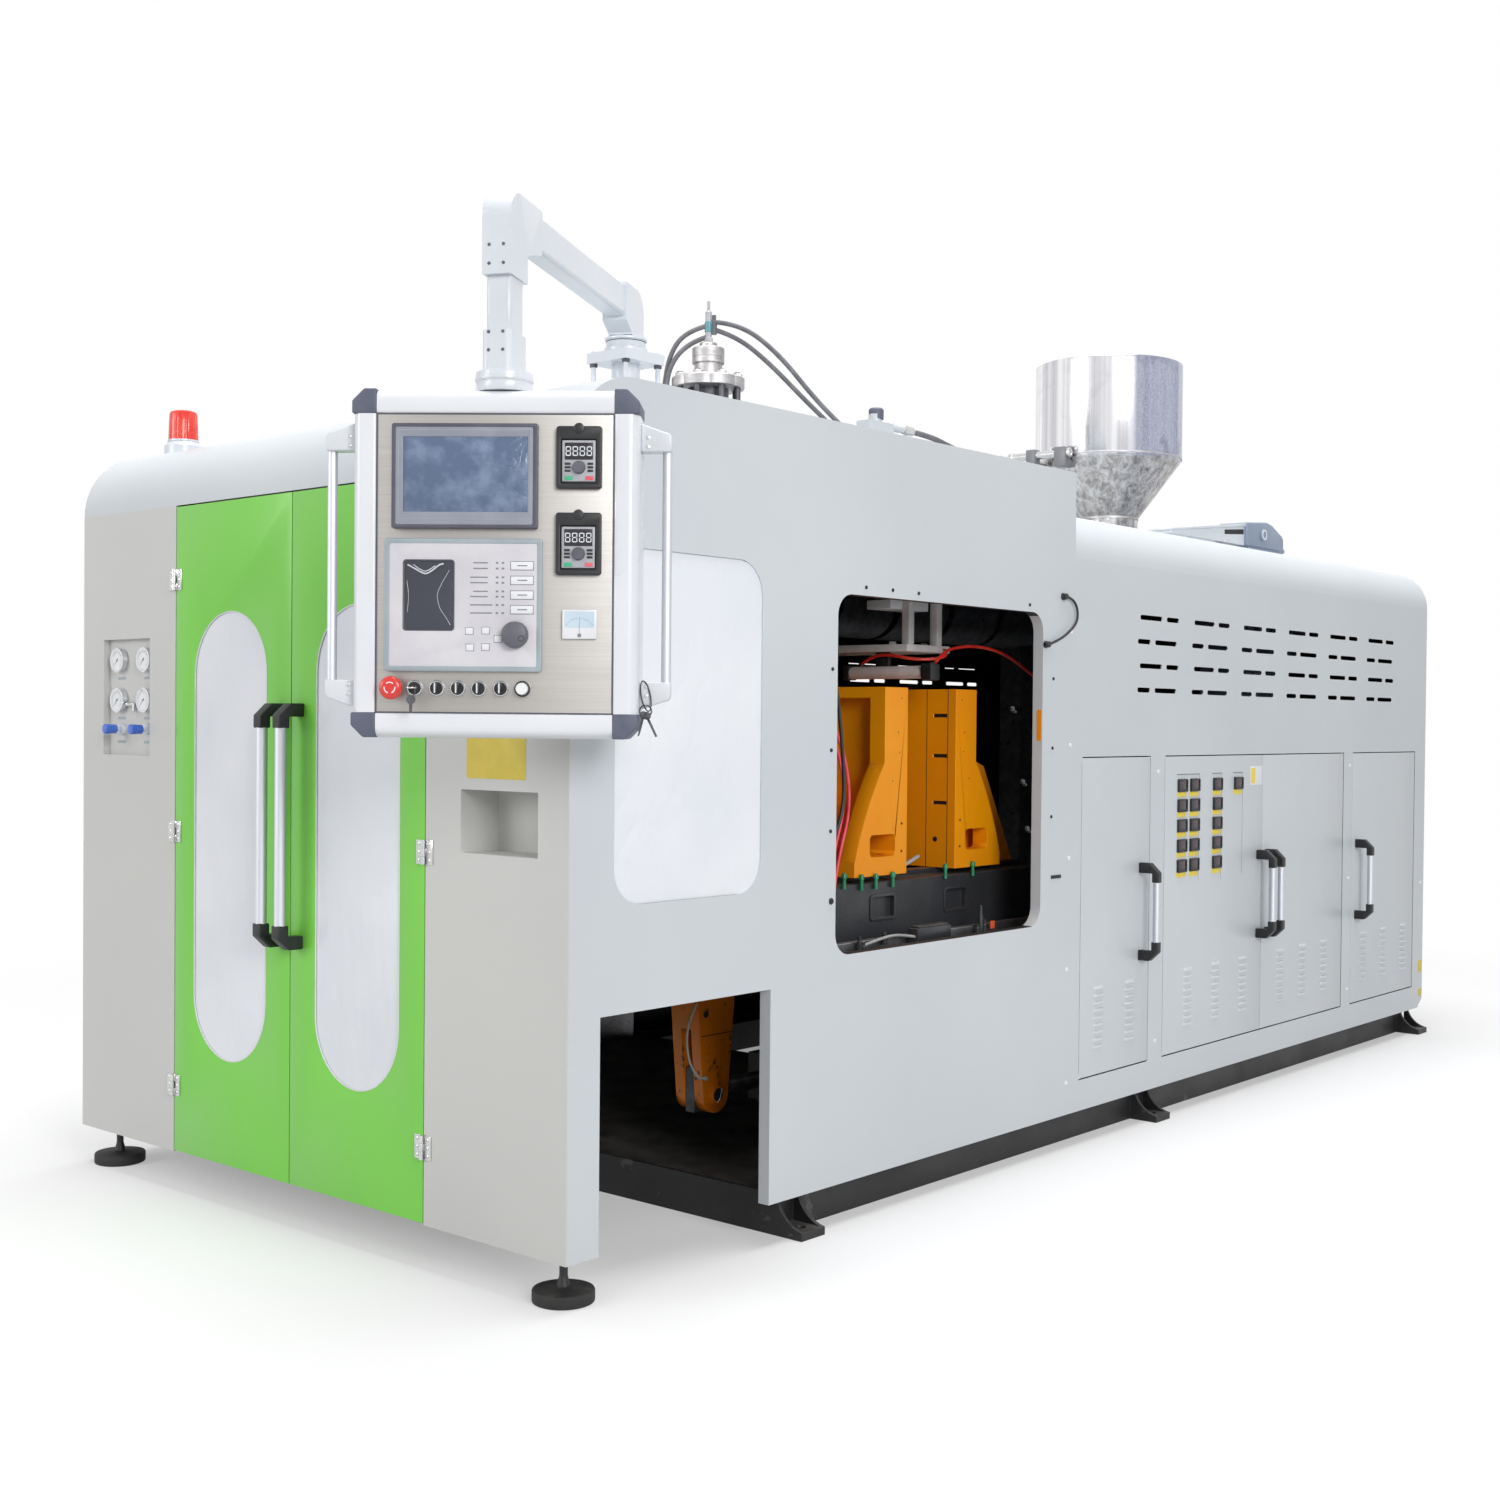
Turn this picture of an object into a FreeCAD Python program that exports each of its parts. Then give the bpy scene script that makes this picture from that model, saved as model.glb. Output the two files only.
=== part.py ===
import FreeCAD, Part
import math
import os

from FreeCAD import Vector

# An extrusion blow moulding machine. Millimetres, +Z up. The operator's doors face -Y and the
# guard window faces +X. Lengths along the machine are stations: distances behind the door face.
# The origin is on the floor, at the middle of the four outer anchor holes, and every piece is
# moved there as it is written. The width of the body, 1700, sets the scale of all the rest.

# ---- Sheet metal body ----
BODY_WIDTH = 1700.0
MAIN_LENGTH = 1752.0          # station of the step from the tall body to the rear cabinet
CABINET_LENGTH = 2413.0
BODY_LENGTH = MAIN_LENGTH + CABINET_LENGTH
MAIN_TOP = 1718.0
STEP_HEIGHT = 88.0
CABINET_TOP = MAIN_TOP - STEP_HEIGHT
SKIRT_Z = 90.0                # lower edge of the sheet metal
SHEET = 3.0
ROOF_NOSE_RADIUS = 160.0
SHOULDER_RADIUS = 128.0
FLOOR_RETURN = 70.0           # folded foot of each side panel, which rests on the base frame
EDGE_RETURN = 25.0            # folded edge round an opening or a door
FIT = 0.3                     # clearance between pieces that fit each other

# ---- Base frame and feet ----
BEAM_INSET = 60.0
BEAM_WIDTH = 120.0
FRAME_FRONT = 652.0
FRAME_REAR = BODY_LENGTH - 25.0
CROSS_BEAM_STATIONS = (FRAME_FRONT, MAIN_LENGTH - 52.0, MAIN_LENGTH + 1148.0,
                       MAIN_LENGTH + 1808.0, FRAME_REAR - BEAM_WIDTH)
BRACKET_WIDTH = 78.0
BRACKET_STATIONS = (FRAME_FRONT, MAIN_LENGTH + 424.0, BODY_LENGTH - BRACKET_WIDTH)
BRACKET_REACH = 80.0
BRACKET_PLATE = 18.0
GUSSET = 10.0
ANCHOR_RADIUS = 11.0
ANCHOR_INSET = 35.0           # anchor hole, from the outer end of its bracket
FOOT_X = BODY_WIDTH / 2 - 69.0
FOOT_STATION = 60.0
FOOT_RADIUS = 59.0
FOOT_HEIGHT = 26.0
STEM_RADIUS = 12.0
STEM_TOP = 150.0
LEG_PLATE = 6.0

# ---- Front pillars and doors ----
DOOR_OPENING = 893.0
DOOR_GAP = 3.0
DOOR_FOOT_Z = 93.0
PILLAR_TOP_Z = MAIN_TOP - ROOF_NOSE_RADIUS
DOOR_TOP_Z = PILLAR_TOP_Z - DOOR_GAP
LEG_DEPTH = 82.5
LEG_TOP = 533.0
PANE_WIDTH = 277.0
PANE_HEIGHT = 989.0
PANE_CENTRE_X = 227.5
PANE_CENTRE_Z = 817.5
PANE_THICKNESS = 5.0
PANE_LAP = 18.0
HINGE_HEIGHTS = (1390.0, 820.0, 243.0)
HINGE_LENGTH = 48.0
HINGE_LEAF_WIDTH = 20.0
HINGE_LEAF = 2.5
HINGE_KNUCKLE = 5.0
HINGE_PIN = 2.5
GAUGE_BAY = (92.0 - BODY_WIDTH / 2, 295.0 - BODY_WIDTH / 2)
GAUGE_BAY_Z = (989.0, 1261.0)
GAUGE_BAY_DEPTH = 16.0
GAUGE_X = (147.0 - BODY_WIDTH / 2, 262.0 - BODY_WIDTH / 2)
GAUGE_Z = (1118.0, 1212.0)
GAUGE_RADIUS = 29.0
GAUGE_DEPTH = 16.0
REGULATOR_Z = 1050.0
REGULATOR_RADIUS = 12.0
REGULATOR_LENGTH = 50.0
REGULATOR_STEM = 5.0
TOOL_BAY = (BODY_WIDTH / 2 - 299.0, BODY_WIDTH / 2 - 82.0)
TOOL_BAY_Z = (825.0, 946.0)
TOOL_BAY_DEPTH = 95.0

# ---- Handles: two moulded ends and an aluminium tube ----
HANDLE_STANDOFF = 49.0
HANDLE_ARM = 28.0
FRONT_HANDLE_Z = (595.0, 1110.0)
FRONT_HANDLE_X = 34.0
FRONT_TUBE_RADIUS = 13.0
SIDE_HANDLE_Z = (449.0, 712.0)
SIDE_TUBE_RADIUS = 10.0

# ---- Right side panel ----
NOTCH = (82.5, 568.0)         # lower service opening, open at the bottom
NOTCH_TOP = 533.0
SIDE_PANE = (115.0, 533.0)
SIDE_PANE_Z = (735.0, 1403.0)
SIDE_PANE_RADIUS = 70.0
WINDOW = (780.0, MAIN_LENGTH - 150.4)
WINDOW_Z = (581.5, 1355.2)
WINDOW_RADIUS = 48.0

# ---- Rear cabinet ----
CABINET_SEAM_Z = 1050.0
SIDE_DOOR_Z = (169.0, 998.0)
SIDE_DOOR_FIRST = MAIN_LENGTH + 42.5
SIDE_DOOR_WIDTHS = (363.5, 614.0, 600.0, CABINET_LENGTH - 1869.0)
SIDE_DOOR_POSTS = (79.0, 0.0, 73.0)      # sheet between neighbouring doors
SIDE_DOOR_GAP = 3.0
SIDE_DOOR_RETURN = 18.0
PIVOT_INSET = 6.0             # pivot pin, from the hinge edge and from the outer face
PIVOT_RADIUS = 3.0
PIVOT_LENGTH = 12.0
SIDE_HANDLE_AT = {            # pull handle, from the door's edge away from its hinge
    "side_door_a": 51.0,
    "side_door_b1": 29.0,
    "side_door_b2": 29.0,
    "side_door_c": 36.0,
}
LOUVRE_COLUMNS = {            # from the door's front edge
    "side_door_a": (97.5, 260.5),
    "side_door_b1": (148.0, 319.0, 493.0),
    "side_door_b2": (136.0, 299.0, 459.0),
    "side_door_c": (104.0, 276.0, 451.0),
}
LOUVRE_COUNT = 9
LOUVRE_PITCH = 19.0
LOUVRE_FOOT_Z = 240.0
LOUVRE_WIDTH = 50.0
LOUVRE_HEIGHT = 9.0
LOUVRE_DEPTH = 5.0
SLOT_GROUPS = 6
SLOT_FIRST = MAIN_LENGTH + 338.6
SLOT_PITCH = 310.0
SLOT_ROWS_Z = (1370.0, 1305.0, 1240.0, 1175.0)
SLOT_HEIGHT = 13.0
LONG_SLOT = 122.0
SHORT_SLOT = 69.5
SLOT_BRIDGE = 26.0
SLOT_STAGGER = 12.0
CORNER_CUT = (48.0, 30.0)
CONTROLLER_COLUMNS = (100.0, 174.0, 314.0, 447.0)     # from their door's front edge
CONTROLLER_ROWS = (5, 5, 5, 1)
CONTROLLER_PITCH = 56.0
CONTROLLER_TOP_Z = 932.0
CONTROLLER_SIZE = (52.0, 36.0)
CONTROLLER_PROUD = 7.0

# ---- Roof pieces ----
BEACON_AT = (108.0 - BODY_WIDTH / 2, 200.0)
BEACON_BASE_RADIUS = 45.0
BEACON_BASE_HEIGHT = 36.0
BEACON_LENS_RADIUS = 35.5
BEACON_LENS_HEIGHT = 76.0
ROOF_LID = (190.0, 385.0)     # raised lid between the hopper and the motor's terminal box
ROOF_LID_STATIONS = (BODY_LENGTH - 709.0, BODY_LENGTH - 525.0)
ROOF_LID_TOP = CABINET_TOP + 125.0
PORT_BLOCK = (762.0, 798.0)   # hydraulic port blocks on the tall roof
PORT_STATIONS = (952.0, 1042.0)
PORT_TOP = MAIN_TOP + 46.0
RETURN_BLOCK = (724.0, 760.0)
RETURN_STATIONS = (1540.0, 1600.0)
RETURN_TOP = MAIN_TOP + 26.0
GLAND_RADIUS = 7.0
GLAND_LENGTH = 13.0
GLANDS = ((MAIN_LENGTH - 60.0, 1401.0), (MAIN_LENGTH - 141.0, 1278.0))

# ---- Suspension arm ----
ARM_PIVOT = (505.0, 482.0)
DROP_AXIS = (837.6, -149.5)
ARM_TUBE = (45.0, 64.0)       # across and along the arm
ARM_CASTING = (52.0, 86.0)
COLLAR_RADIUS = 49.0
COLLAR_HEIGHT = 17.0
PEDESTAL_TUBE = 30.0
PEDESTAL_HEIGHT = 116.0
PEDESTAL_PLATE = (140.0, 10.0)
PEDESTAL_FLANGE = (116.0, 22.0)
PEDESTAL_FLANGE_Z = MAIN_TOP + PEDESTAL_HEIGHT
SWIVEL_RADIUS = 42.0
SWIVEL_HEIGHT = 34.0
SWIVEL_Z = PEDESTAL_FLANGE_Z + PEDESTAL_FLANGE[1]
STUD_RADIUS = 5.0
ARM_POST = 22.0               # between the swivel and the socket over it
SOCKET_HEIGHT = 78.0
ELBOW_DROP = 69.0             # front elbow, under its socket
SOCKET_FOOT = SWIVEL_Z + SWIVEL_HEIGHT + ARM_POST
ARM_TOP = SOCKET_FOOT + SOCKET_HEIGHT
BEAM_AXIS_Z = SOCKET_FOOT + SOCKET_HEIGHT / 2 + 1
ELBOW_FOOT = SOCKET_FOOT - ELBOW_DROP

# ---- Control panel, modelled facing -Y about the drop axis, then turned ----
PANEL_TURN = 39.0
PANEL_OFFSET = 5.6            # the panel's datum, to the right of the drop axis
PANEL_X = (-259.0, 235.0)
PANEL_Z = (1047.0, 1645.0)
CONNECTOR_Z = (PANEL_Z[1] + 2 * COLLAR_HEIGHT, PANEL_Z[1] + 2 * COLLAR_HEIGHT + 69.0)
PANEL_FRONT = -52.0
PANEL_BACK = 45.0
PROFILE = 43.0
CORNER_CHAMFER = 21.0
FACE_Y = -50.0                # front of the steel faceplate
FACE_THICKNESS = 3.0
HMI = (-188.0, 63.0)
HMI_Z = (1405.0, 1584.0)
HMI_PROUD = 12.0
HMI_SCREEN = (-168.0, 46.0)
HMI_SCREEN_Z = (1433.0, 1561.0)
PARISON_UNIT = (-200.0, 71.0)
PARISON_UNIT_Z = (1161.0, 1388.0)
PARISON_PROUD = 9.0
PARISON_DISPLAY = (-166.0, -81.0)
PARISON_DISPLAY_Z = (1232.0, 1350.0)
PARISON_KNOB = (26.0, 1224.0)
PARISON_KNOB_RADIUS = 23.0
KEYPAD = (94.0, 172.0)
KEYPAD_ROWS_Z = ((1474.0, 1580.0), (1327.0, 1433.0))
KEYPAD_PROUD = 11.0
METER = (106.0, 165.0)
METER_Z = (1218.0, 1268.0)
CONTROL_ROW_Z = 1132.0
EMERGENCY_X = -186.0
EMERGENCY_RADIUS = 20.0
EMERGENCY_TRAVEL = 4.0
KEY_SWITCH_X = -147.6
SELECTOR_X = (-109.7, -73.4, -37.3, 0.6)
SPEED_KNOB_X = 38.5
BEZEL_RADIUS = 14.0
BEZEL_PROUD = 6.0
SELECTOR_RADIUS = 10.5
GRAB_RADIUS = 8.5
GRAB_OUT = 45.0               # grab tube, from the side of the panel
GRAB_Z = (1112.0, 1577.0)
GRAB_BRACKET = 34.0

# ---- Clamp carriage and platens ----
STATION_X = 465.0             # middle of the mould at the blowing station
MOULD_STATION = 1394.5
MOULD_GAP = 204.0
PLATEN_WIDTH = 400.0
PLATEN_Z = (718.0, 1166.0)
PLATEN_PLATE = 50.0
PLATEN_TOP_DEPTH = 92.0
PLATEN_FOOT_DEPTH = 206.0
PLATEN_SHOULDER_Z = 984.0     # the webs begin to widen below here
PLATEN_KNEE = (148.0, 892.0)  # depth and height of the middle of the widening
PLATEN_FOOT_Z = 748.0
PLATEN_TOP_BAR = 26.0
PLATEN_RIB = 45.0
PLATEN_WINDOW = (47.0, 147.0) # core holes of the webs, from the mould face
PLATEN_WINDOW_Z = (763.0, 815.0)
MIDDLE_RIB = 44.0
MIDDLE_RIB_DEPTH = (240.0, 380.0)
MIDDLE_RIB_Z = 970.0
SLOT_HEIGHTS = (881.0, 999.0, 1100.0)
SLOT_LENGTH = 42.0
MOULD_SLOT_HEIGHT = 9.0
SLOT_INSET = 27.0
CARRIAGE_Z = (570.0, 703.0)
CARRIAGE_STATIONS = (882.0, 1900.0)
WAY_HEIGHT = 14.5
WAY_WIDTH = 36.0
WAY_INSET = 60.0
POCKET_STATIONS = (1153.0, 1457.0)
POCKET = (88.0, 50.0)
POCKET_Z = 618.0
RAIL_RADIUS = 25.0
RAIL_STATIONS = (960.0, 1700.0)
RAIL_SHOE = 36.0
RAIL_Z = 534.0
BED_X = 740.0
BED_WALL = 20.0
LEVER_STATION = 786.0
LEVER_WIDTH = 84.0
LEVER_DEPTH = 128.0
LEVER_PIVOT_Z = 600.0
LEVER_LOWER_ARM = 363.0
LEVER_UPPER_ARM = 300.0
LEVER_SLOT = 30.0
LEVER_PIN = 20.0
LEVER_LUG = 25.0
LEVER_PLAY = 2.0              # side play between the lever and its lugs and eyes
LEVER_SLACK = 3.0             # open pivots: play round each pin, past the arc it swings
LEVER_RISE = 22.0
CYLINDER_RADIUS = 45.0
CYLINDER_STATIONS = (1010.0, 1420.0)
ROD_RADIUS = 20.0
BLOW_PLATE_X = (200.0, 600.0)
BLOW_PLATE_STATIONS = (1375.0, 1560.0)
BLOW_PLATE_Z = (1258.0, 1276.0)
HANGER = 22.0
HANGER_STATIONS = (1383.0, 1503.0)
AIR_CYLINDER_RADIUS = 16.0
AIR_CYLINDER_X = (399.0, 645.0)
AIR_CYLINDER_Z = 1206.0
AIR_CYLINDER_STATION = 1392.0

# ---- Extruder ----
EXTRUDER_X = -88.0
EXTRUDER_Z = 1440.0
HEAD_FOOT_Z = 1236.0
HEAD_RADIUS = 78.0
HEAD_NECK = 56.0
HEAD_FLANGE = (101.0, MAIN_TOP + 265.0, MAIN_TOP + 294.0)
HEAD_COLUMN = 9.0
HEAD_CAP = (44.0, MAIN_TOP + 333.0, MAIN_TOP + 376.0)
HEAD_TOP_DISC = (24.0, MAIN_TOP + 390.0)
SENSOR_RADIUS = 9.0
SENSOR_Z = MAIN_TOP + 476.0
SENSOR_TOP = SENSOR_Z + 28.0
BARREL_RADIUS = 70.0
HEATER_RADIUS = 105.0
HEATER_COUNT = 6
HEATER_LENGTH = 250.0
HEATER_GAP = 30.0
HOPPER_STATION = BODY_LENGTH - 612.0
HOPPER_RADIUS = 262.0
HOPPER_FLANGE_Z = CABINET_TOP + 70.0
HOPPER_CONE_FOOT = HOPPER_FLANGE_Z + 125.0
HOPPER_CONE_TOP = HOPPER_CONE_FOOT + 209.0
HOPPER_TOP = HOPPER_CONE_TOP + 339.0
THROAT_RADIUS = 108.0
THROAT_BLOCK = 240.0
HOPPER_WALL = 3.0
HINGE_BAR_X = (-313.0, -78.0)
HINGE_BAR_STATION = HOPPER_STATION - HOPPER_RADIUS - 29.0
HINGE_BAR_Z = HOPPER_CONE_TOP
HINGE_BAR_RADIUS = 14.0
HINGE_PLATES = ((-242.0, -204.0), (-127.0, -80.0))
HINGE_PLATE_Z = (HINGE_BAR_Z - 48.0, HINGE_BAR_Z + 21.0)
GEARBOX_STATIONS = (HOPPER_STATION + THROAT_BLOCK / 2, HOPPER_STATION + THROAT_BLOCK / 2 + 227.0)
GEARBOX_X = (-248.0, 72.0)
GEARBOX_Z = (1290.0, 1590.0)
MOTOR_X = 452.5
MOTOR_Z = 1440.0
MOTOR_RADIUS = 140.0
MOTOR_STATIONS = (GEARBOX_STATIONS[0] - 343.0, GEARBOX_STATIONS[0] + 87.0)
TERMINAL_BOX = 95.0
TERMINAL_STATIONS = (MOTOR_STATIONS[0] + 136.0, MOTOR_STATIONS[1] - 43.0)
TERMINAL_TOP = CABINET_TOP + 135.0
BELT_GUARD_STATIONS = (GEARBOX_STATIONS[1], GEARBOX_STATIONS[1] + 140.0)
BELT_GUARD_Z = (EXTRUDER_Z - 140.0, EXTRUDER_Z + 160.0)
BELT_GUARD_RADIUS = 110.0

# ---- Hoses and cables: diameters and routes ----
HEAD_HOSE = 13.0
ROOF_HOSE = 13.0
AIR_HOSE = 8.0
GUARD_CABLE = 6.5
STRAND = 7.0
HOSE_PLANE = 40.8             # turn of the plane that the head's hoses hang in
HEAD_HOSE_ROUTES = (          # outwards from the head's axis, height, and depth behind the plane
    ((9, 2166), (80, 2162, -9), (185, 2087, -9), (300, 1947, -9), (400, 1852, -9), (430, 1718, -9)),
    ((9, 2147), (72, 2132, 9), (162, 2062, 9), (277, 1945, 9), (372, 1856, 9), (402, 1718, 9)),
    ((-9, 2154), (-64, 2138), (-106, 2076), (-121, 1979), (-127, 1864), (-140, 1789), (-146, 1718)),
    ((-7, 2124, -1), (-56, 2106, -8), (-105, 2043, -20), (-115, 1960, -20), (-117, 1865, -20),
     (-126, 1790, -20), (-130, 1718, -20)),
)
ROOF_HOSE_ROUTE = (
    (780, 1137.4, 1749), (780, 1205, 1748), (776, 1285, 1737), (764, 1365, 1729),
    (750, 1452, 1728), (742, 1539, 1731),
)
GUARD_CABLE_ROUTE = (
    (857, 1699.8, 1401), (859, 1729, 1397), (861, 1748, 1369), (862, 1742, 1336),
    (861, 1691, 1304), (859, 1653, 1289), (857, 1619.3, 1279),
)
AIR_HOSE_ROUTES = (
    ((664, 1406, 1229.6), (662, 1434, 1250), (648, 1496, 1269), (646, 1612, 1280),
     (662, 1726, 1263), (695, 1818, 1203), (752, 1885, 1130), (846.7, 1885, 1130)),
    ((446, 1392, 1225.6), (474, 1389, 1246), (536, 1386, 1252), (600, 1400, 1238),
     (640, 1446, 1240), (636, 1502, 1252), (603.2, 1533, 1266.5)),
)
STRAND_ROUTE = (
    (846.2, 748, 1190), (782, 756, 1186), (742, 820, 1140), (736, 905, 1085), (735, 960, 990),
    (735, 972, 885), (733, 935, 785), (731, 915, 685), (730, 918, 584.5),
)
STRAND_OFFSETS = ((-4.0, -10.0, 0.0), (4.0, 0.0, -4.0), (-6.0, 10.0, 5.0))

RIGHT = BODY_WIDTH / 2
LEFT = -RIGHT


def side_door_spans():
    """Front edge, rear edge and hinge side of each side door, from the step backwards."""
    spans, front = {}, SIDE_DOOR_FIRST
    names = ("side_door_a", "side_door_b1", "side_door_b2", "side_door_c")
    hinges = ("front", "front", "rear", "rear")
    for name, width, post, hinge in zip(names, SIDE_DOOR_WIDTHS, (*SIDE_DOOR_POSTS, 0.0), hinges):
        spans[name] = (front, front + width, hinge)
        front += width + post
    return spans


SIDE_DOORS = side_door_spans()
ANCHOR_STATIONS = [s + BRACKET_WIDTH / 2 for s in BRACKET_STATIONS]
ORIGIN_STATION = (ANCHOR_STATIONS[0] + ANCHOR_STATIONS[-1]) / 2
NODES = {}


# ---- Shapes ----

def block(x, y, z):
    """A box between a low and a high value on each axis."""
    return Part.makeBox(x[1] - x[0], y[1] - y[0], z[1] - z[0], Vector(x[0], y[0], z[0]))


def rod(start, axis, radius, length):
    return Part.makeCylinder(radius, length, Vector(*start), Vector(*axis))


def tube(start, axis, outer, inner, length):
    return rod(start, axis, outer, length).cut(rod(start, axis, inner, length))


def join(*shapes):
    whole = shapes[0].fuse(list(shapes[1:])) if len(shapes) > 1 else shapes[0]
    return whole.removeSplitter()


def group(*shapes):
    return Part.makeCompound([s for shape in shapes for s in shape.Solids])


def polygon(points, depth):
    """A flat outline through the points, pushed along depth."""
    wire = Part.makePolygon([Vector(*p) for p in points] + [Vector(*points[0])])
    return Part.Face(wire).extrude(Vector(*depth))


def outline(path, depth):
    """A flat outline of lines (two points) and arcs (three points), pushed along depth."""
    edges = []
    for points in path:
        ends = [Vector(*p) for p in points]
        edges.append(Part.makeLine(*ends) if len(ends) == 2 else Part.Arc(*ends).toShape())
    return Part.Face(Part.Wire(edges)).extrude(Vector(*depth))


def rounded(place, u, v, radius, depth):
    """A rounded rectangle on the plane that place gives, pushed along depth."""
    (u0, u1), (v0, v1) = u, v
    k = radius * (1 - math.sqrt(0.5))
    corners = [
        ((u1 - radius, v0), (u1 - k, v0 + k), (u1, v0 + radius)),
        ((u1, v1 - radius), (u1 - k, v1 - k), (u1 - radius, v1)),
        ((u0 + radius, v1), (u0 + k, v1 - k), (u0, v1 - radius)),
        ((u0, v0 + radius), (u0 + k, v0 + k), (u0 + radius, v0)),
    ]
    path = []
    for arc, following in zip(corners, corners[1:] + corners[:1]):
        path.append([place(*p) for p in arc])
        if math.dist(arc[2], following[0]) > 1e-6:
            path.append([place(*arc[2]), place(*following[0])])
    return outline(path, depth)


def on_front(y):
    return lambda a, b: (a, y, b)


def on_side(x):
    return lambda a, b: (x, a, b)


def on_level(z):
    return lambda a, b: (a, b, z)


def turned(profile, at):
    """A solid of revolution about the vertical through at, from (radius, z) points."""
    points = [Vector(at[0] + r, at[1], z) for r, z in profile]
    face = Part.Face(Part.makePolygon(points + points[:1]))
    return face.revolve(Vector(at[0], at[1], 0), Vector(0, 0, 1), 360)


def grown(span, by):
    return (span[0] - by, span[1] + by)


def node(name, *solids):
    shape = group(*solids)
    shape.translate(Vector(0, -ORIGIN_STATION, 0))
    NODES[name] = shape


# ---- Base frame ----

def foot_bracket(side, station):
    """A base plate between two curved gussets, welded to the side of the frame."""
    inner = side * (RIGHT - BEAM_INSET)
    outer = inner + side * BRACKET_REACH
    plate = block(sorted((inner, outer)), (station, station + BRACKET_WIDTH), (0, BRACKET_PLATE))
    hole = rod((outer - side * ANCHOR_INSET, station + BRACKET_WIDTH / 2, 0), (0, 0, 1),
               ANCHOR_RADIUS, BRACKET_PLATE)
    pieces = [plate.cut(hole)]
    for y in (station, station + BRACKET_WIDTH - GUSSET):
        top = (inner + side * GUSSET, y, SKIRT_Z)
        middle = (inner + side * BRACKET_REACH * 0.42, y, SKIRT_Z * 0.45)
        tip = (outer, y, BRACKET_PLATE)
        pieces.append(outline([
            [(inner, y, 0), (inner, y, SKIRT_Z)],
            [(inner, y, SKIRT_Z), top],
            [top, middle, tip],
            [tip, (outer, y, 0)],
            [(outer, y, 0), (inner, y, 0)],
        ], (0, GUSSET, 0)))
    return pieces


def base_frame():
    inner = RIGHT - BEAM_INSET - BEAM_WIDTH
    outer = RIGHT - BEAM_INSET
    first, last = CROSS_BEAM_STATIONS[0], CROSS_BEAM_STATIONS[-1]
    beams = []
    for y in CROSS_BEAM_STATIONS:
        reach = outer if y in (first, last) else inner
        beams.append(block((-reach, reach), (y, y + BEAM_WIDTH), (0, SKIRT_Z)))
    for side in (-1, 1):
        x = sorted((side * inner, side * outer))
        beams.append(block(x, (FRAME_FRONT + BEAM_WIDTH, FRAME_REAR - BEAM_WIDTH), (0, SKIRT_Z)))
    brackets = []
    for side in (-1, 1):
        for station in BRACKET_STATIONS:
            brackets += foot_bracket(side, station)
    frame = join(*beams, *brackets)
    deck_x = RIGHT - SHEET - FLOOR_RETURN - DOOR_GAP
    deck = block((-deck_x, deck_x), (FRAME_FRONT, CROSS_BEAM_STATIONS[1] + BEAM_WIDTH),
                 (SKIRT_Z, SKIRT_Z + SHEET))
    return frame, deck


def levelling_foot(x):
    at = (x, FOOT_STATION)
    pad = turned([
        (0, 0), (FOOT_RADIUS, 0), (FOOT_RADIUS, FOOT_HEIGHT * 0.7),
        (FOOT_RADIUS * 0.86, FOOT_HEIGHT), (0, FOOT_HEIGHT),
    ], at)
    stem = rod((*at, FOOT_HEIGHT), (0, 0, 1), STEM_RADIUS, STEM_TOP - FOOT_HEIGHT)
    nut_height = 14.0
    nut = rod((*at, SKIRT_Z - nut_height), (0, 0, 1), STEM_RADIUS * 1.7, nut_height)
    return pad, join(stem, nut)


# ---- Front ----

def pillar(side):
    """A folded post: face, door-side return, and a closed leg with its foot plate."""
    inner = side * DOOR_OPENING / 2
    outer = side * RIGHT
    inside = side * SHEET
    face = block(sorted((inner, outer)), (0, SHEET), (SKIRT_Z, PILLAR_TOP_Z))
    door_return = block(sorted((inner, inner + inside)), (0, LEG_DEPTH), (SKIRT_Z, PILLAR_TOP_Z))
    leg_x = sorted((inner, outer - inside))
    leg_back = block(leg_x, (LEG_DEPTH - SHEET, LEG_DEPTH), (SKIRT_Z, LEG_TOP))
    foot = block(leg_x, (0, LEG_DEPTH), (SKIRT_Z, SKIRT_Z + LEG_PLATE))
    stem = rod((side * FOOT_X, FOOT_STATION, 0), (0, 0, 1), STEM_RADIUS + FIT, LEG_TOP)
    return join(face, door_return, leg_back, foot).cut(stem)


def bay(x, z, depth):
    """A pressed pocket in a pillar's face, and the space inside it."""
    shell = block(grown(x, SHEET), (0, depth + SHEET), grown(z, SHEET))
    space = block(x, (0, depth), z)
    return shell, space


def pillar_with_bay(side, x, z, depth):
    """A post with a hole for its pocket, and the pocket itself, a tray welded into that hole."""
    shell, space = bay(x, z, depth)
    return pillar(side).cut(shell), shell.cut(space)


def gauge(x, z):
    case = rod((x, GAUGE_BAY_DEPTH, z), (0, -1, 0), GAUGE_RADIUS, GAUGE_DEPTH)
    dial = rod((x, GAUGE_BAY_DEPTH - GAUGE_DEPTH, z), (0, 1, 0), GAUGE_RADIUS * 0.82, 4.0)
    return case.cut(dial)


def regulator_knob(x):
    """A tapered grip on a stem, with a plain seat at the back of the bay."""
    seat = rod((x, GAUGE_BAY_DEPTH - FIT, REGULATOR_Z), (0, -1, 0), REGULATOR_RADIUS * 1.15, 10.0)
    stem = rod((x, GAUGE_BAY_DEPTH - 10.0, REGULATOR_Z), (0, -1, 0), REGULATOR_STEM, 16.0)
    grip = Part.makeCone(REGULATOR_RADIUS * 0.82, REGULATOR_RADIUS, REGULATOR_LENGTH - 20.0,
                         Vector(x, GAUGE_BAY_DEPTH - 20.0, REGULATOR_Z), Vector(0, -1, 0))
    return join(seat, stem, grip)


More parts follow.
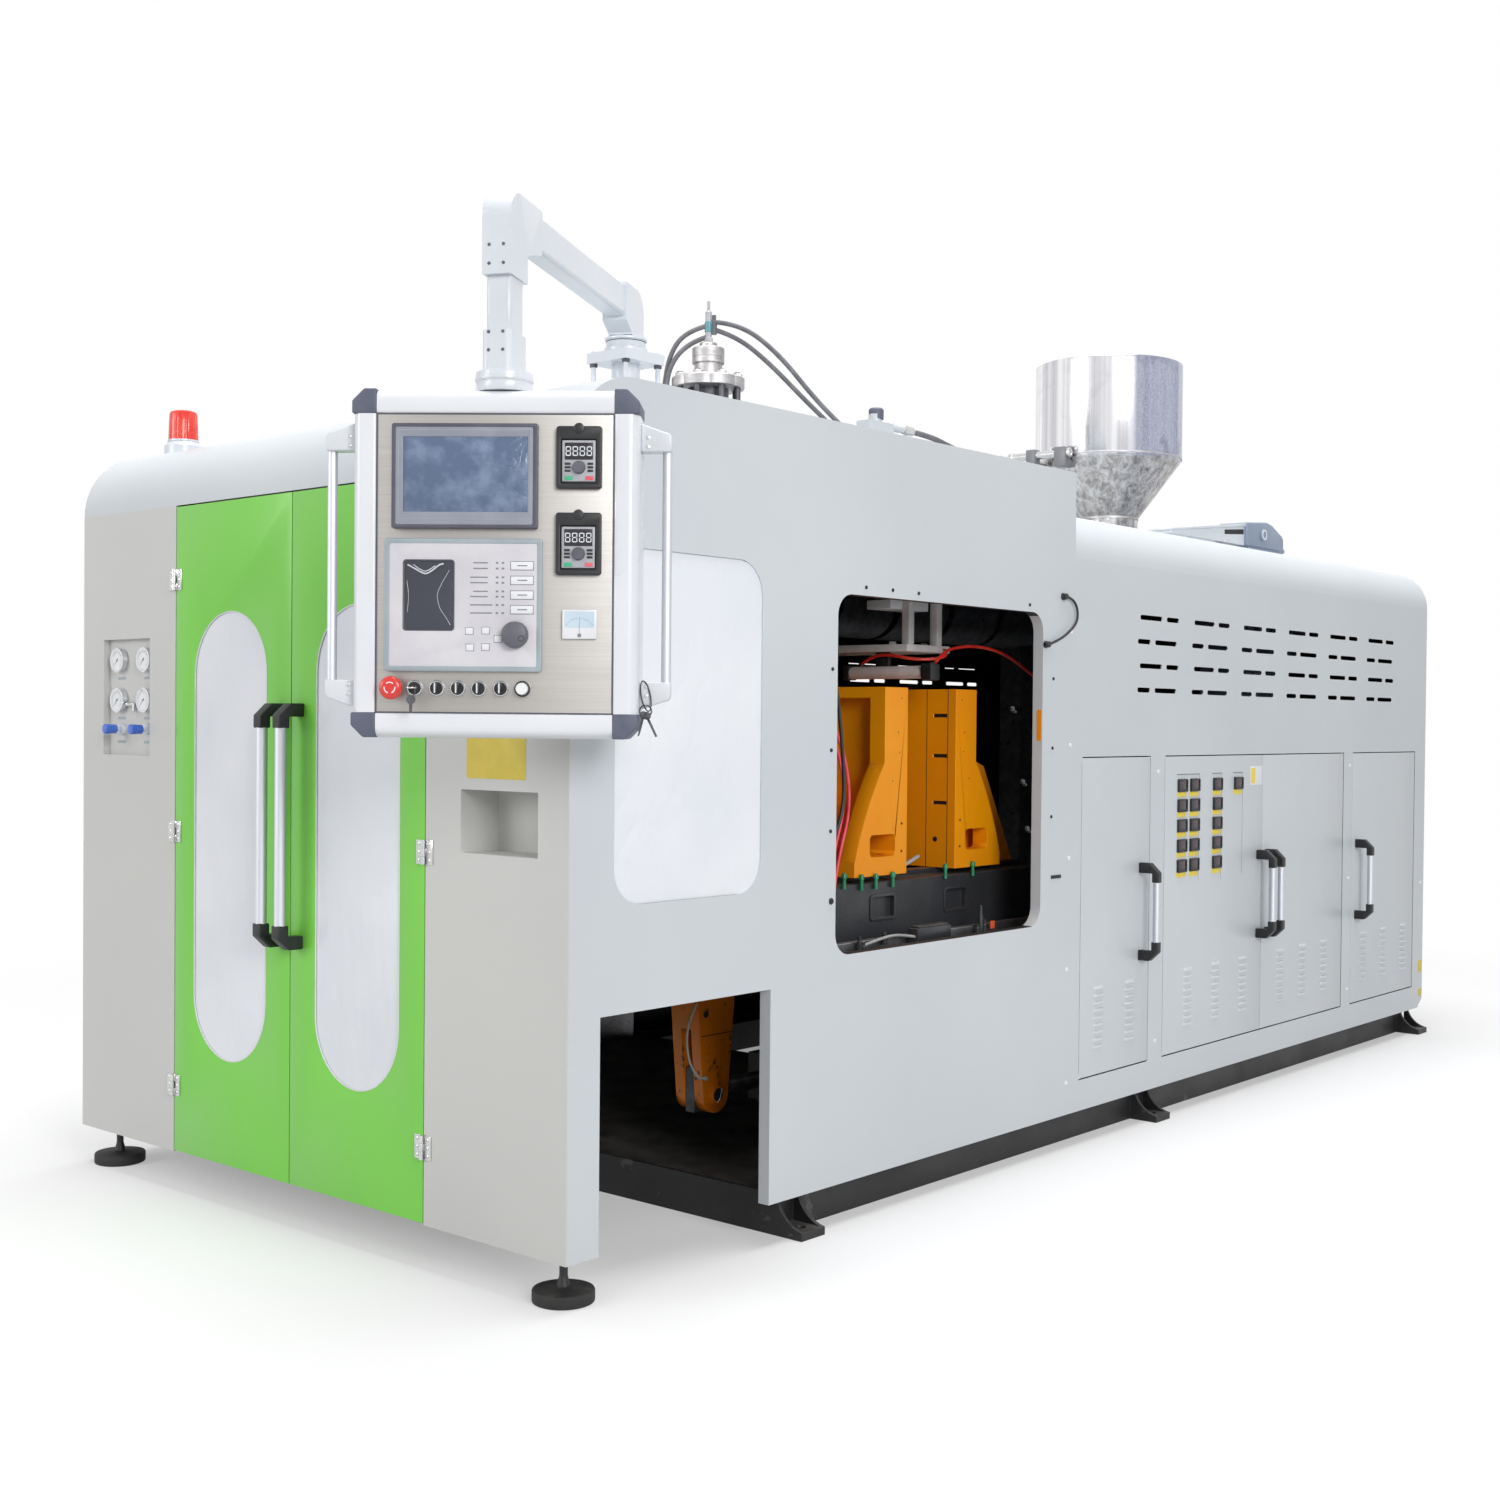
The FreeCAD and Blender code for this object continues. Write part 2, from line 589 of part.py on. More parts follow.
def handle(z, tube_radius, place, across):
    """Two moulded ends and a tube. place maps (out, z) to a point, across is the thickness."""
    width = tube_radius * 2
    out = HANDLE_STANDOFF + tube_radius
    socket = HANDLE_ARM + 24.0
    pieces = []
    for foot, up in ((z[1], -1), (z[0], 1)):
        points = [
            (0, 0), (out * 0.55, 0), (out, up * HANDLE_ARM * 0.9), (out, up * socket),
            (out - width, up * socket), (out - width, up * HANDLE_ARM), (0, up * HANDLE_ARM),
        ]
        pieces.append(polygon([place(a, foot + b) for a, b in points],
                              [c * width for c in across]))
    low, high = z[0] + socket, z[1] - socket
    start = Vector(*place(HANDLE_STANDOFF, low)) + Vector(*across) * tube_radius
    pieces.append(rod(tuple(start), (0, 0, 1), tube_radius, high - low))
    return pieces


def hinge_x(side):
    return side * (DOOR_OPENING / 2 - DOOR_GAP / 2)


def fixed_hinge(side, z):
    """The pillar's leaf with the middle knuckle and the pin."""
    x = hinge_x(side)
    z0 = z - HINGE_LENGTH / 2
    third = HINGE_LENGTH / 3
    leaf = block(sorted((x + side * HINGE_KNUCKLE, x + side * (HINGE_KNUCKLE + HINGE_LEAF_WIDTH))),
                 (-HINGE_LEAF, 0), (z0, z0 + HINGE_LENGTH))
    arm = block(sorted((x, x + side * (HINGE_KNUCKLE + 1))), (-HINGE_LEAF, 0),
                (z0 + third + FIT, z0 + 2 * third - FIT))
    knuckle = rod((x, -HINGE_KNUCKLE - FIT, z0 + third + FIT), (0, 0, 1), HINGE_KNUCKLE,
                  third - 2 * FIT)
    pin = rod((x, -HINGE_KNUCKLE - FIT, z0), (0, 0, 1), HINGE_PIN, HINGE_LENGTH)
    return join(leaf, arm, knuckle, pin)


def door_hinge(side, z):
    """The door's leaf with the outer knuckles, bored for the pin."""
    x = hinge_x(side)
    z0 = z - HINGE_LENGTH / 2
    third = HINGE_LENGTH / 3
    axis = (x, -HINGE_KNUCKLE - FIT)
    leaf = block(sorted((x - side * HINGE_KNUCKLE, x - side * (HINGE_KNUCKLE + HINGE_LEAF_WIDTH))),
                 (-HINGE_LEAF, 0), (z0, z0 + HINGE_LENGTH))
    pieces = [leaf]
    for low in (z0, z0 + 2 * third):
        arm = block(sorted((x, x - side * (HINGE_KNUCKLE + 1))), (-HINGE_LEAF - 1, -FIT),
                    (low, low + third))
        pieces += [arm, rod((*axis, low), (0, 0, 1), HINGE_KNUCKLE, third)]
    bore = rod((*axis, z0), (0, 0, 1), HINGE_PIN + FIT, HINGE_LENGTH)
    return join(*pieces).cut(bore)


def front_door_x(side):
    """The door's span, from its hinge edge to the seam."""
    return sorted((side * (DOOR_OPENING / 2 - DOOR_GAP), side * DOOR_GAP / 2))


def pane_span(side):
    centre = side * PANE_CENTRE_X
    return (centre - PANE_WIDTH / 2, centre + PANE_WIDTH / 2)


PANE_SPAN_Z = (PANE_CENTRE_Z - PANE_HEIGHT / 2, PANE_CENTRE_Z + PANE_HEIGHT / 2)


def front_door(side):
    """A folded door pan with an obround window, its hinge leaves and its pull handle."""
    x = front_door_x(side)
    z = (DOOR_FOOT_Z, DOOR_TOP_Z)
    pan = block(x, (0, EDGE_RETURN), z)
    hollow = block(grown(x, -SHEET), (SHEET, EDGE_RETURN), grown(z, -SHEET))
    window = rounded(on_front(0), pane_span(side), PANE_SPAN_Z, PANE_WIDTH / 2, (0, SHEET, 0))
    leaves = [door_hinge(side, h) for h in HINGE_HEIGHTS]
    pan = join(pan.cut(hollow).cut(window), *leaves)
    edge = side * FRONT_HANDLE_X - FRONT_TUBE_RADIUS
    pull = handle(FRONT_HANDLE_Z, FRONT_TUBE_RADIUS, lambda out, zz: (edge, -out, zz), (1, 0, 0))
    return [pan] + pull


def front_pane(side):
    return rounded(on_front(SHEET), grown(pane_span(side), PANE_LAP), grown(PANE_SPAN_Z, PANE_LAP),
                   PANE_WIDTH / 2 + PANE_LAP, (0, PANE_THICKNESS, 0))


# ---- Main body ----

def main_profile(x, inset, thickness):
    """The tall body's side outline, behind the pillars and under the roof sheet."""
    radius = ROOF_NOSE_RADIUS - inset
    top = MAIN_TOP - inset
    rise = MAIN_TOP - ROOF_NOSE_RADIUS
    nose = ROOF_NOSE_RADIUS
    k = radius * math.sqrt(0.5)
    start, end = (x, nose - radius, rise), (x, nose, top)
    return outline([
        [start, (x, nose - k, rise + k), end],
        [end, (x, MAIN_LENGTH, top)],
        [(x, MAIN_LENGTH, top), (x, MAIN_LENGTH, SKIRT_Z)],
        [(x, MAIN_LENGTH, SKIRT_Z), (x, nose - radius, SKIRT_Z)],
        [(x, nose - radius, SKIRT_Z), start],
    ], (thickness, 0, 0))


def shoulder_profile(y, inset, foot, thickness):
    """The rear cabinet's section: rounded shoulders over straight sides."""
    half = RIGHT - inset
    radius = SHOULDER_RADIUS - inset
    top = CABINET_TOP - inset
    spring = CABINET_TOP - SHOULDER_RADIUS
    k = radius * (1 - math.sqrt(0.5))
    flat = half - radius
    path = [
        [(half, y, spring), (half - k, y, top - k), (flat, y, top)],
        [(flat, y, top), (-flat, y, top)],
        [(-flat, y, top), (k - half, y, top - k), (-half, y, spring)],
    ]
    if foot < spring:
        path += [[(-half, y, spring), (-half, y, foot)], [(-half, y, foot), (half, y, foot)],
                 [(half, y, foot), (half, y, spring)]]
    else:
        path += [[(-half, y, spring), (half, y, spring)]]
    return outline(path, (0, thickness, 0))


def main_roof():
    """One sheet rolled over the front, folded down at the step to meet the cabinet."""
    skin = main_profile(LEFT, 0, BODY_WIDTH).cut(main_profile(LEFT, SHEET, BODY_WIDTH))
    skin = skin.cut(block((LEFT, RIGHT), (-1, MAIN_LENGTH), (0, MAIN_TOP - ROOF_NOSE_RADIUS)))
    inside = (LEFT + SHEET, RIGHT - SHEET)
    spring = CABINET_TOP - SHOULDER_RADIUS
    web = block(inside, (MAIN_LENGTH - SHEET, MAIN_LENGTH), (spring, MAIN_TOP - SHEET))
    web = web.cut(shoulder_profile(MAIN_LENGTH - SHEET, 2 * SHEET, spring, SHEET))
    head_hole = rod((EXTRUDER_X, MOULD_STATION, spring), (0, 0, 1), HEAD_RADIUS + 22, MAIN_TOP)
    cable_hole = rod((*ARM_PIVOT, spring), (0, 0, 1), PEDESTAL_TUBE * 0.6, MAIN_TOP)
    port = block(PORT_BLOCK, PORT_STATIONS, (MAIN_TOP, PORT_TOP - 12))
    port_x, crimp_z = sum(PORT_BLOCK) / 2, ROOF_HOSE_ROUTE[0][2]
    cap = rod((port_x, sum(PORT_STATIONS) / 2, PORT_TOP - 12), (0, 0, 1), 15, 18)
    crimp = rod((port_x, PORT_STATIONS[1], crimp_z), (0, 1, 0), 9,
                ROOF_HOSE_ROUTE[0][1] - PORT_STATIONS[1] - 2 * FIT)
    end = block(RETURN_BLOCK, RETURN_STATIONS, (MAIN_TOP, RETURN_TOP))
    skin = skin.cut(head_hole).cut(cable_hole)
    return join(skin, web, port, cap, crimp, end)


def frame_return(place, u, v, radius, wall, depth):
    """The folded edge round an opening."""
    outer = rounded(place, grown(u, wall), grown(v, wall), radius + wall, depth)
    return outer.cut(rounded(place, u, v, radius, depth))


def side_panel_right():
    skin = RIGHT - SHEET
    sheet = main_profile(skin, SHEET, SHEET)
    sheet = sheet.cut(block((skin, RIGHT), NOTCH, (0, NOTCH_TOP)))
    inward = (-EDGE_RETURN, 0, 0)
    edges = [
        frame_return(on_side(skin), WINDOW, WINDOW_Z, WINDOW_RADIUS, SHEET, inward),
        block((skin - EDGE_RETURN, skin), (NOTCH[1], NOTCH[1] + SHEET), (SKIRT_Z, NOTCH_TOP)),
        block((skin - EDGE_RETURN, skin), (LEG_DEPTH + SHEET, NOTCH[1] + SHEET),
              (NOTCH_TOP, NOTCH_TOP + SHEET)),
        block((skin - FLOOR_RETURN, skin), (FRAME_FRONT, MAIN_LENGTH), (SKIRT_Z, SKIRT_Z + SHEET)),
    ]
    for y, z in GLANDS:
        edges.append(rod((RIGHT, y, z), (1, 0, 0), GLAND_RADIUS, GLAND_LENGTH))
    sheet = join(sheet, *edges)
    deep = (EDGE_RETURN + SHEET, 0, 0)
    window = rounded(on_side(skin - EDGE_RETURN), WINDOW, WINDOW_Z, WINDOW_RADIUS, deep)
    pane = rounded(on_side(skin), SIDE_PANE, SIDE_PANE_Z, SIDE_PANE_RADIUS, (SHEET, 0, 0))
    return sheet.cut(window).cut(pane)


def side_panel_left():
    sheet = main_profile(LEFT, SHEET, SHEET)
    foot = block((LEFT, LEFT + SHEET + FLOOR_RETURN), (FRAME_FRONT, MAIN_LENGTH),
                 (SKIRT_Z, SKIRT_Z + SHEET))
    return join(sheet, foot)


def side_pane():
    return rounded(on_side(RIGHT - SHEET - PANE_THICKNESS), grown(SIDE_PANE, PANE_LAP),
                   grown(SIDE_PANE_Z, PANE_LAP), SIDE_PANE_RADIUS + PANE_LAP,
                   (PANE_THICKNESS, 0, 0))


# ---- Rear cabinet ----

def vent_slots(x):
    """Staggered pairs of obround slots: long and short, then short and long."""
    slots = []
    for row, z in enumerate(SLOT_ROWS_Z):
        lengths = (LONG_SLOT, SHORT_SLOT) if row % 2 == 0 else (SHORT_SLOT, LONG_SLOT)
        for i in range(SLOT_GROUPS):
            y = SLOT_FIRST + i * SLOT_PITCH - (row % 2) * SLOT_STAGGER
            for length in lengths:
                slots.append(rounded(on_side(x), (y, y + length),
                                     (z - SLOT_HEIGHT / 2, z + SLOT_HEIGHT / 2),
                                     SLOT_HEIGHT / 2, (SHEET, 0, 0)))
                y += length + SLOT_BRIDGE
    return slots


def cabinet_sheet(x, low, high):
    """A side sheet of the cabinet, with its lower rear corner cut off where it reaches down."""
    points = [(x, MAIN_LENGTH, low), (x, BODY_LENGTH, low), (x, BODY_LENGTH, high),
              (x, MAIN_LENGTH, high)]
    if low <= SKIRT_Z:
        points[1:2] = [(x, BODY_LENGTH - CORNER_CUT[0], low), (x, BODY_LENGTH, low + CORNER_CUT[1])]
    return polygon(points, (SHEET, 0, 0))


def door_openings():
    """The three openings of the cabinet's side; the middle one takes two doors."""
    spans = [SIDE_DOORS["side_door_a"][:2],
             (SIDE_DOORS["side_door_b1"][0], SIDE_DOORS["side_door_b2"][1]),
             SIDE_DOORS["side_door_c"][:2]]
    return spans


def pivot_at(name):
    """Where a side door's pivot pins stand."""
    front, rear, hinge = SIDE_DOORS[name]
    inset = SIDE_DOOR_GAP + PIVOT_INSET
    return (RIGHT - PIVOT_INSET, front + inset if hinge == "front" else rear - inset)


def cabinet_door_frame():
    skin = RIGHT - SHEET
    sheet = cabinet_sheet(skin, SKIRT_Z, CABINET_SEAM_Z)
    foot = block((skin - FLOOR_RETURN, skin), (MAIN_LENGTH, FRAME_REAR), (SKIRT_Z, SKIRT_Z + SHEET))
    pieces = [sheet, foot]
    cuts = []
    for span in door_openings():
        x = (skin - EDGE_RETURN, RIGHT)
        shell = block((x[0], skin), grown(span, SHEET), grown(SIDE_DOOR_Z, SHEET))
        pieces.append(shell)
        cuts.append(block(x, span, SIDE_DOOR_Z))
    frame = join(*pieces).cut(cuts)
    pins = []
    for name in SIDE_DOORS:
        x, y = pivot_at(name)
        for z, up in ((SIDE_DOOR_Z[0], 1), (SIDE_DOOR_Z[1], -1)):
            pins.append(rod((x, y, z - up * SHEET), (0, 0, up), PIVOT_RADIUS, PIVOT_LENGTH + SHEET))
    return join(frame, *pins)


def louvres(name):
    """Columns of pressed hoods, open at their lower edge."""
    hoods = []
    for column in LOUVRE_COLUMNS[name]:
        y = SIDE_DOORS[name][0] + column
        for i in range(LOUVRE_COUNT):
            z = LOUVRE_FOOT_Z + i * LOUVRE_PITCH
            hoods.append(polygon([
                (RIGHT, y - LOUVRE_WIDTH / 2, z + LOUVRE_HEIGHT),
                (RIGHT, y - LOUVRE_WIDTH / 2, z),
                (RIGHT + LOUVRE_DEPTH, y - LOUVRE_WIDTH / 2, z),
            ], (0, LOUVRE_WIDTH, 0)))
    return hoods


def side_door(name):
    """A folded pan with louvres, holes for its two pivot pins, and its pull handle."""
    front, rear, hinge = SIDE_DOORS[name]
    gap = SIDE_DOOR_GAP
    y = (front + gap, rear - gap)
    if name == "side_door_b1":
        y = (front + gap, rear - gap / 2)
    if name == "side_door_b2":
        y = (front + gap / 2, rear - gap)
    z = grown(SIDE_DOOR_Z, -gap)
    pan = block((RIGHT - SIDE_DOOR_RETURN, RIGHT), y, z)
    hollow = block((RIGHT - SIDE_DOOR_RETURN, RIGHT - SHEET), grown(y, -SHEET), grown(z, -SHEET))
    pan = join(pan.cut(hollow), *louvres(name))
    pin_x, pin_y = pivot_at(name)
    eye = PIVOT_INSET * 2
    for low, high in ((z[0], z[0] + PIVOT_LENGTH), (z[1] - PIVOT_LENGTH, z[1])):
        lug_y = (pin_y - PIVOT_INSET, pin_y - PIVOT_INSET + eye)
        pan = join(pan, block((RIGHT - eye, RIGHT - SHEET), lug_y, (low, high)))
        pan = pan.cut(rod((pin_x, pin_y, low), (0, 0, 1), PIVOT_RADIUS + FIT, PIVOT_LENGTH))
    inset = SIDE_HANDLE_AT[name]
    edge = (rear - inset if hinge == "front" else front + inset) - SIDE_TUBE_RADIUS
    pull = handle(SIDE_HANDLE_Z, SIDE_TUBE_RADIUS, lambda out, zz: (RIGHT + out, edge, zz),
                  (0, 1, 0))
    return [pan] + pull


def temperature_controllers():
    units = []
    for column, rows in zip(CONTROLLER_COLUMNS, CONTROLLER_ROWS):
        y = SIDE_DOORS["side_door_b1"][0] + column
        for row in range(rows):
            top = CONTROLLER_TOP_Z - row * CONTROLLER_PITCH
            units.append(block((RIGHT, RIGHT + CONTROLLER_PROUD),
                               (y - CONTROLLER_SIZE[0] / 2, y + CONTROLLER_SIZE[0] / 2),
                               (top - CONTROLLER_SIZE[1], top)))
    return units


def cabinet_roof():
    """The rolled hood, with holes for the hopper's throat and the terminal box."""
    spring = CABINET_TOP - SHOULDER_RADIUS
    length = BODY_LENGTH - MAIN_LENGTH
    hood = shoulder_profile(MAIN_LENGTH, 0, spring, length)
    hood = hood.cut(shoulder_profile(MAIN_LENGTH, SHEET, spring - 1, length))
    throat = rod((EXTRUDER_X, HOPPER_STATION, spring), (0, 0, 1), THROAT_RADIUS + 12, MAIN_TOP)
    box_x = (MOTOR_X - TERMINAL_BOX / 2, MOTOR_X + TERMINAL_BOX / 2)
    terminal = block(grown(box_x, 10), grown(TERMINAL_STATIONS, 10), (spring, CABINET_TOP))
    lid = block(ROOF_LID, ROOF_LID_STATIONS, (CABINET_TOP - SHEET, ROOF_LID_TOP))
    return join(hood.cut(throat).cut(terminal), lid)


def cabinet_rear():
    plate = shoulder_profile(BODY_LENGTH - SHEET, SHEET, SKIRT_Z + CORNER_CUT[1], SHEET)
    return plate


# ---- Roof pieces ----

def beacon():
    base = turned([
        (0, MAIN_TOP), (BEACON_BASE_RADIUS, MAIN_TOP),
        (BEACON_BASE_RADIUS, MAIN_TOP + BEACON_BASE_HEIGHT * 0.7),
        (BEACON_LENS_RADIUS, MAIN_TOP + BEACON_BASE_HEIGHT), (0, MAIN_TOP + BEACON_BASE_HEIGHT),
    ], BEACON_AT)
    foot = MAIN_TOP + BEACON_BASE_HEIGHT
    top = foot + BEACON_LENS_HEIGHT
    lens = turned([
        (0, foot), (BEACON_LENS_RADIUS, foot), (BEACON_LENS_RADIUS * 0.93, top - 8),
        (BEACON_LENS_RADIUS * 0.7, top), (0, top),
    ], BEACON_AT)
    return base, lens


# ---- Suspension arm, modelled along +X from its swivel and then turned ----

ARM_LENGTH = math.dist(ARM_PIVOT, DROP_AXIS)
ARM_ANGLE = math.degrees(math.atan2(DROP_AXIS[1] - ARM_PIVOT[1], DROP_AXIS[0] - ARM_PIVOT[0]))


def arm_placed(shape):
    shape.rotate(Vector(0, 0, 0), Vector(0, 0, 1), ARM_ANGLE)
    shape.translate(Vector(*ARM_PIVOT, 0))
    return shape


def rounded_bar(place, u, v, radius, depth):
    return rounded(place, (-u / 2, u / 2), (-v / 2, v / 2), radius, depth)


def elbow(at, way, foot, reach):
    """A casting with a domed back: a post down to its foot and a socket towards the beam."""
    across, along = ARM_CASTING
    back = at - way * along / 2
    front = at + way * along / 2
    mouth = at + way * reach
    dome = along * 0.55
    k = dome * (1 - math.sqrt(0.5))
    y = -across / 2
    return outline([
        [(mouth, y, SOCKET_FOOT), (mouth, y, ARM_TOP)],
        [(mouth, y, ARM_TOP), (back + way * dome, y, ARM_TOP)],
        [(back + way * dome, y, ARM_TOP), (back + way * k, y, ARM_TOP - k), (back, y, ARM_TOP - dome)],
        [(back, y, ARM_TOP - dome), (back, y, foot)],
        [(back, y, foot), (front, y, foot)],
        [(front, y, foot), (front, y, SOCKET_FOOT - 18)],
        [(front, y, SOCKET_FOOT - 18), (mouth, y, SOCKET_FOOT)],
    ], (0, across, 0))


def suspension_arm():
    """Swivel, rear elbow, beam, front elbow, drop tube, connector and collar."""
    across, along = ARM_CASTING
    rear_reach, front_reach = along * 0.95, along * 1.35
    swivel = rod((0, 0, SWIVEL_Z + FIT), (0, 0, 1), SWIVEL_RADIUS, SWIVEL_HEIGHT - FIT)
    rear_elbow = join(swivel, elbow(0, 1, SWIVEL_Z + SWIVEL_HEIGHT, rear_reach))
    beam = rounded_bar(lambda a, b: (rear_reach, a, BEAM_AXIS_Z + b), *ARM_TUBE, 7,
                       (ARM_LENGTH - front_reach - rear_reach, 0, 0))
    front_elbow = elbow(ARM_LENGTH, -1, ELBOW_FOOT, front_reach)
    drop = rounded_bar(lambda a, b: (ARM_LENGTH + a, b, CONNECTOR_Z[1]), ARM_TUBE[1], ARM_TUBE[0], 7,
                       (0, 0, ELBOW_FOOT - CONNECTOR_Z[1]))
    connector = rounded_bar(lambda a, b: (ARM_LENGTH + a, b, CONNECTOR_Z[0]), along, across, 9,
                            (0, 0, CONNECTOR_Z[1] - CONNECTOR_Z[0]))
    low = PANEL_Z[1] + COLLAR_HEIGHT + FIT
    collar = rod((ARM_LENGTH, 0, low), (0, 0, 1), COLLAR_RADIUS, CONNECTOR_Z[0] - low)
    pieces = [rear_elbow, beam, front_elbow, drop, join(connector, collar)]
    return [arm_placed(p) for p in pieces]


def arm_pedestal():
    """Roof plate, tube and flange, with the four studs between plate and flange."""
    side, thick = PEDESTAL_PLATE
    flange, flange_thick = PEDESTAL_FLANGE
    x, y = ARM_PIVOT
    plate = block((x - side / 2, x + side / 2), (y - side / 2, y + side / 2),
                  (MAIN_TOP, MAIN_TOP + thick))
    column = rod((x, y, MAIN_TOP), (0, 0, 1), PEDESTAL_TUBE, PEDESTAL_FLANGE_Z - MAIN_TOP)
    top = block((x - flange / 2, x + flange / 2), (y - flange / 2, y + flange / 2),
                (PEDESTAL_FLANGE_Z, SWIVEL_Z))
    reach = flange / 2 - 2 * STUD_RADIUS
    studs = [rod((x + sx * reach, y + sy * reach, MAIN_TOP), (0, 0, 1), STUD_RADIUS,
                 SWIVEL_Z + 4 - MAIN_TOP) for sx in (-1, 1) for sy in (-1, 1)]
    return join(plate, column, top, *studs)


# ---- Control panel ----

def panel_placed(*shapes):
    placed = []
    for shape in shapes:
        shape.translate(Vector(PANEL_OFFSET, 0, 0))
        shape.rotate(Vector(0, 0, 0), Vector(0, 0, 1), PANEL_TURN)
        shape.translate(Vector(*DROP_AXIS, 0))
        placed.append(shape)
    return placed


def panel_housing():
    inside_x, inside_z = grown(PANEL_X, -PROFILE), grown(PANEL_Z, -PROFILE)
    body = block(inside_x, (FACE_Y + FACE_THICKNESS, PANEL_BACK), inside_z)
    collar = rod((-PANEL_OFFSET, 0, PANEL_Z[1]), (0, 0, 1), COLLAR_RADIUS, COLLAR_HEIGHT)
    return body, collar


def frame_profile(along, low, high):
    """One extrusion of the panel's frame, with its front edges bevelled."""
    bevel = 9.0
    wide = high - low
    section = [
        (low, PANEL_BACK), (low, PANEL_FRONT + bevel), (low + bevel, PANEL_FRONT),
        (high - bevel * 0.5, PANEL_FRONT), (high, PANEL_FRONT + bevel * 0.4), (high, PANEL_BACK),
    ]
    assert wide > 2 * bevel
    if along == "z":
        z0, z1 = grown(PANEL_Z, -PROFILE)
        return polygon([(a, b, z0) for a, b in section], (0, 0, z1 - z0))
    x0, x1 = grown(PANEL_X, -PROFILE)
    return polygon([(x0, b, a) for a, b in section], (x1 - x0, 0, 0))


def corner_cap(side, top):
    """A moulded corner block with its outer edge cut at 45 degrees."""
    x_out = PANEL_X[1] if side > 0 else PANEL_X[0]
    z_out = PANEL_Z[1] if top > 0 else PANEL_Z[0]
    x_in, z_in = x_out - side * PROFILE, z_out - top * PROFILE
    y0 = PANEL_FRONT - 1
    return polygon([
        (x_in, y0, z_in), (x_out, y0, z_in), (x_out, y0, z_out - top * CORNER_CHAMFER),
        (x_out - side * CORNER_CHAMFER, y0, z_out), (x_in, y0, z_out),
    ], (0, PANEL_BACK - y0, 0))


def panel_frame():
    sides = [frame_profile("z", PANEL_X[0], PANEL_X[0] + PROFILE),
             frame_profile("z", PANEL_X[1] - PROFILE, PANEL_X[1]),
             frame_profile("x", PANEL_Z[0], PANEL_Z[0] + PROFILE),
             frame_profile("x", PANEL_Z[1] - PROFILE, PANEL_Z[1])]
    caps = [corner_cap(side, top) for side in (-1, 1) for top in (-1, 1)]
    return sides + caps


def face_bezel(x):
    """The fixed ring of a panel control, with the bore that its moving part turns in."""
    ring = rod((x, FACE_Y, CONTROL_ROW_Z), (0, -1, 0), BEZEL_RADIUS, BEZEL_PROUD)
    bore = rod((x, FACE_Y, CONTROL_ROW_Z), (0, -1, 0), SELECTOR_RADIUS + FIT, BEZEL_PROUD)
    return ring.cut(bore)


def panel_faceplate():
    plate = block(grown(PANEL_X, -PROFILE), (FACE_Y, FACE_Y + FACE_THICKNESS),
                  grown(PANEL_Z, -PROFILE))
    rings = [face_bezel(x) for x in (EMERGENCY_X, KEY_SWITCH_X, *SELECTOR_X, SPEED_KNOB_X)]
    return join(plate, *rings)


def hmi_screen():
    body = block(HMI, (FACE_Y - HMI_PROUD, FACE_Y), HMI_Z)
    glass = block(HMI_SCREEN, (FACE_Y - HMI_PROUD, FACE_Y - HMI_PROUD + 2), HMI_SCREEN_Z)
    return body.cut(glass)


def parison_controller():
    body = block(PARISON_UNIT, (FACE_Y - PARISON_PROUD, FACE_Y), PARISON_UNIT_Z)
    front = FACE_Y - PARISON_PROUD
    display = block(PARISON_DISPLAY, (front, front + 3), PARISON_DISPLAY_Z)
    shaft = rod((PARISON_KNOB[0], front, PARISON_KNOB[1]), (0, 1, 0), 4 + FIT, 6)
    return body.cut(display).cut(shaft)


def turning_knob(x, z, y, radius, height, shaft_radius, shaft_depth):
    """A knob with a finger dimple, on a shaft that enters the piece behind it."""
    body = rod((x, y - FIT, z), (0, -1, 0), radius, height)
    dimple = rod((x + radius * 0.55, y - FIT - height, z - radius * 0.3), (0, 1, 0),
                 radius * 0.2, 2)
    shaft = rod((x, y - FIT, z), (0, 1, 0), shaft_radius, shaft_depth)
    return join(body, shaft).cut(dimple)


def drive_keypads():
    """Two inverter keypads with their dials, and the analogue meter below them."""
    units = []
    for low, high in KEYPAD_ROWS_Z:
        body = block(KEYPAD, (FACE_Y - KEYPAD_PROUD, FACE_Y), (low, high))
        window = block(grown(KEYPAD, -10), (FACE_Y - KEYPAD_PROUD, FACE_Y - KEYPAD_PROUD + 2),
                       (low + 62, high - 12))
        dial = rod(((KEYPAD[0] + KEYPAD[1]) / 2, FACE_Y - KEYPAD_PROUD, low + 36), (0, -1, 0),
                   11, 7)
        units.append(join(body.cut(window), dial))
    units.append(block(METER, (FACE_Y - KEYPAD_PROUD * 0.7, FACE_Y), METER_Z))
    return units


def emergency_button():
    """A mushroom head on a stem that slides in its ring."""
    head_y = FACE_Y - BEZEL_PROUD - EMERGENCY_TRAVEL - 1
    head = rod((EMERGENCY_X, head_y, CONTROL_ROW_Z), (0, -1, 0), EMERGENCY_RADIUS, 9)
    dome = Part.makeCone(EMERGENCY_RADIUS, EMERGENCY_RADIUS * 0.6, 4,
                         Vector(EMERGENCY_X, head_y - 9, CONTROL_ROW_Z), Vector(0, -1, 0))
    stem = rod((EMERGENCY_X, FACE_Y - EMERGENCY_TRAVEL - FIT, CONTROL_ROW_Z), (0, -1, 0),
               SELECTOR_RADIUS, BEZEL_PROUD + 2)
    return join(head, dome, stem)


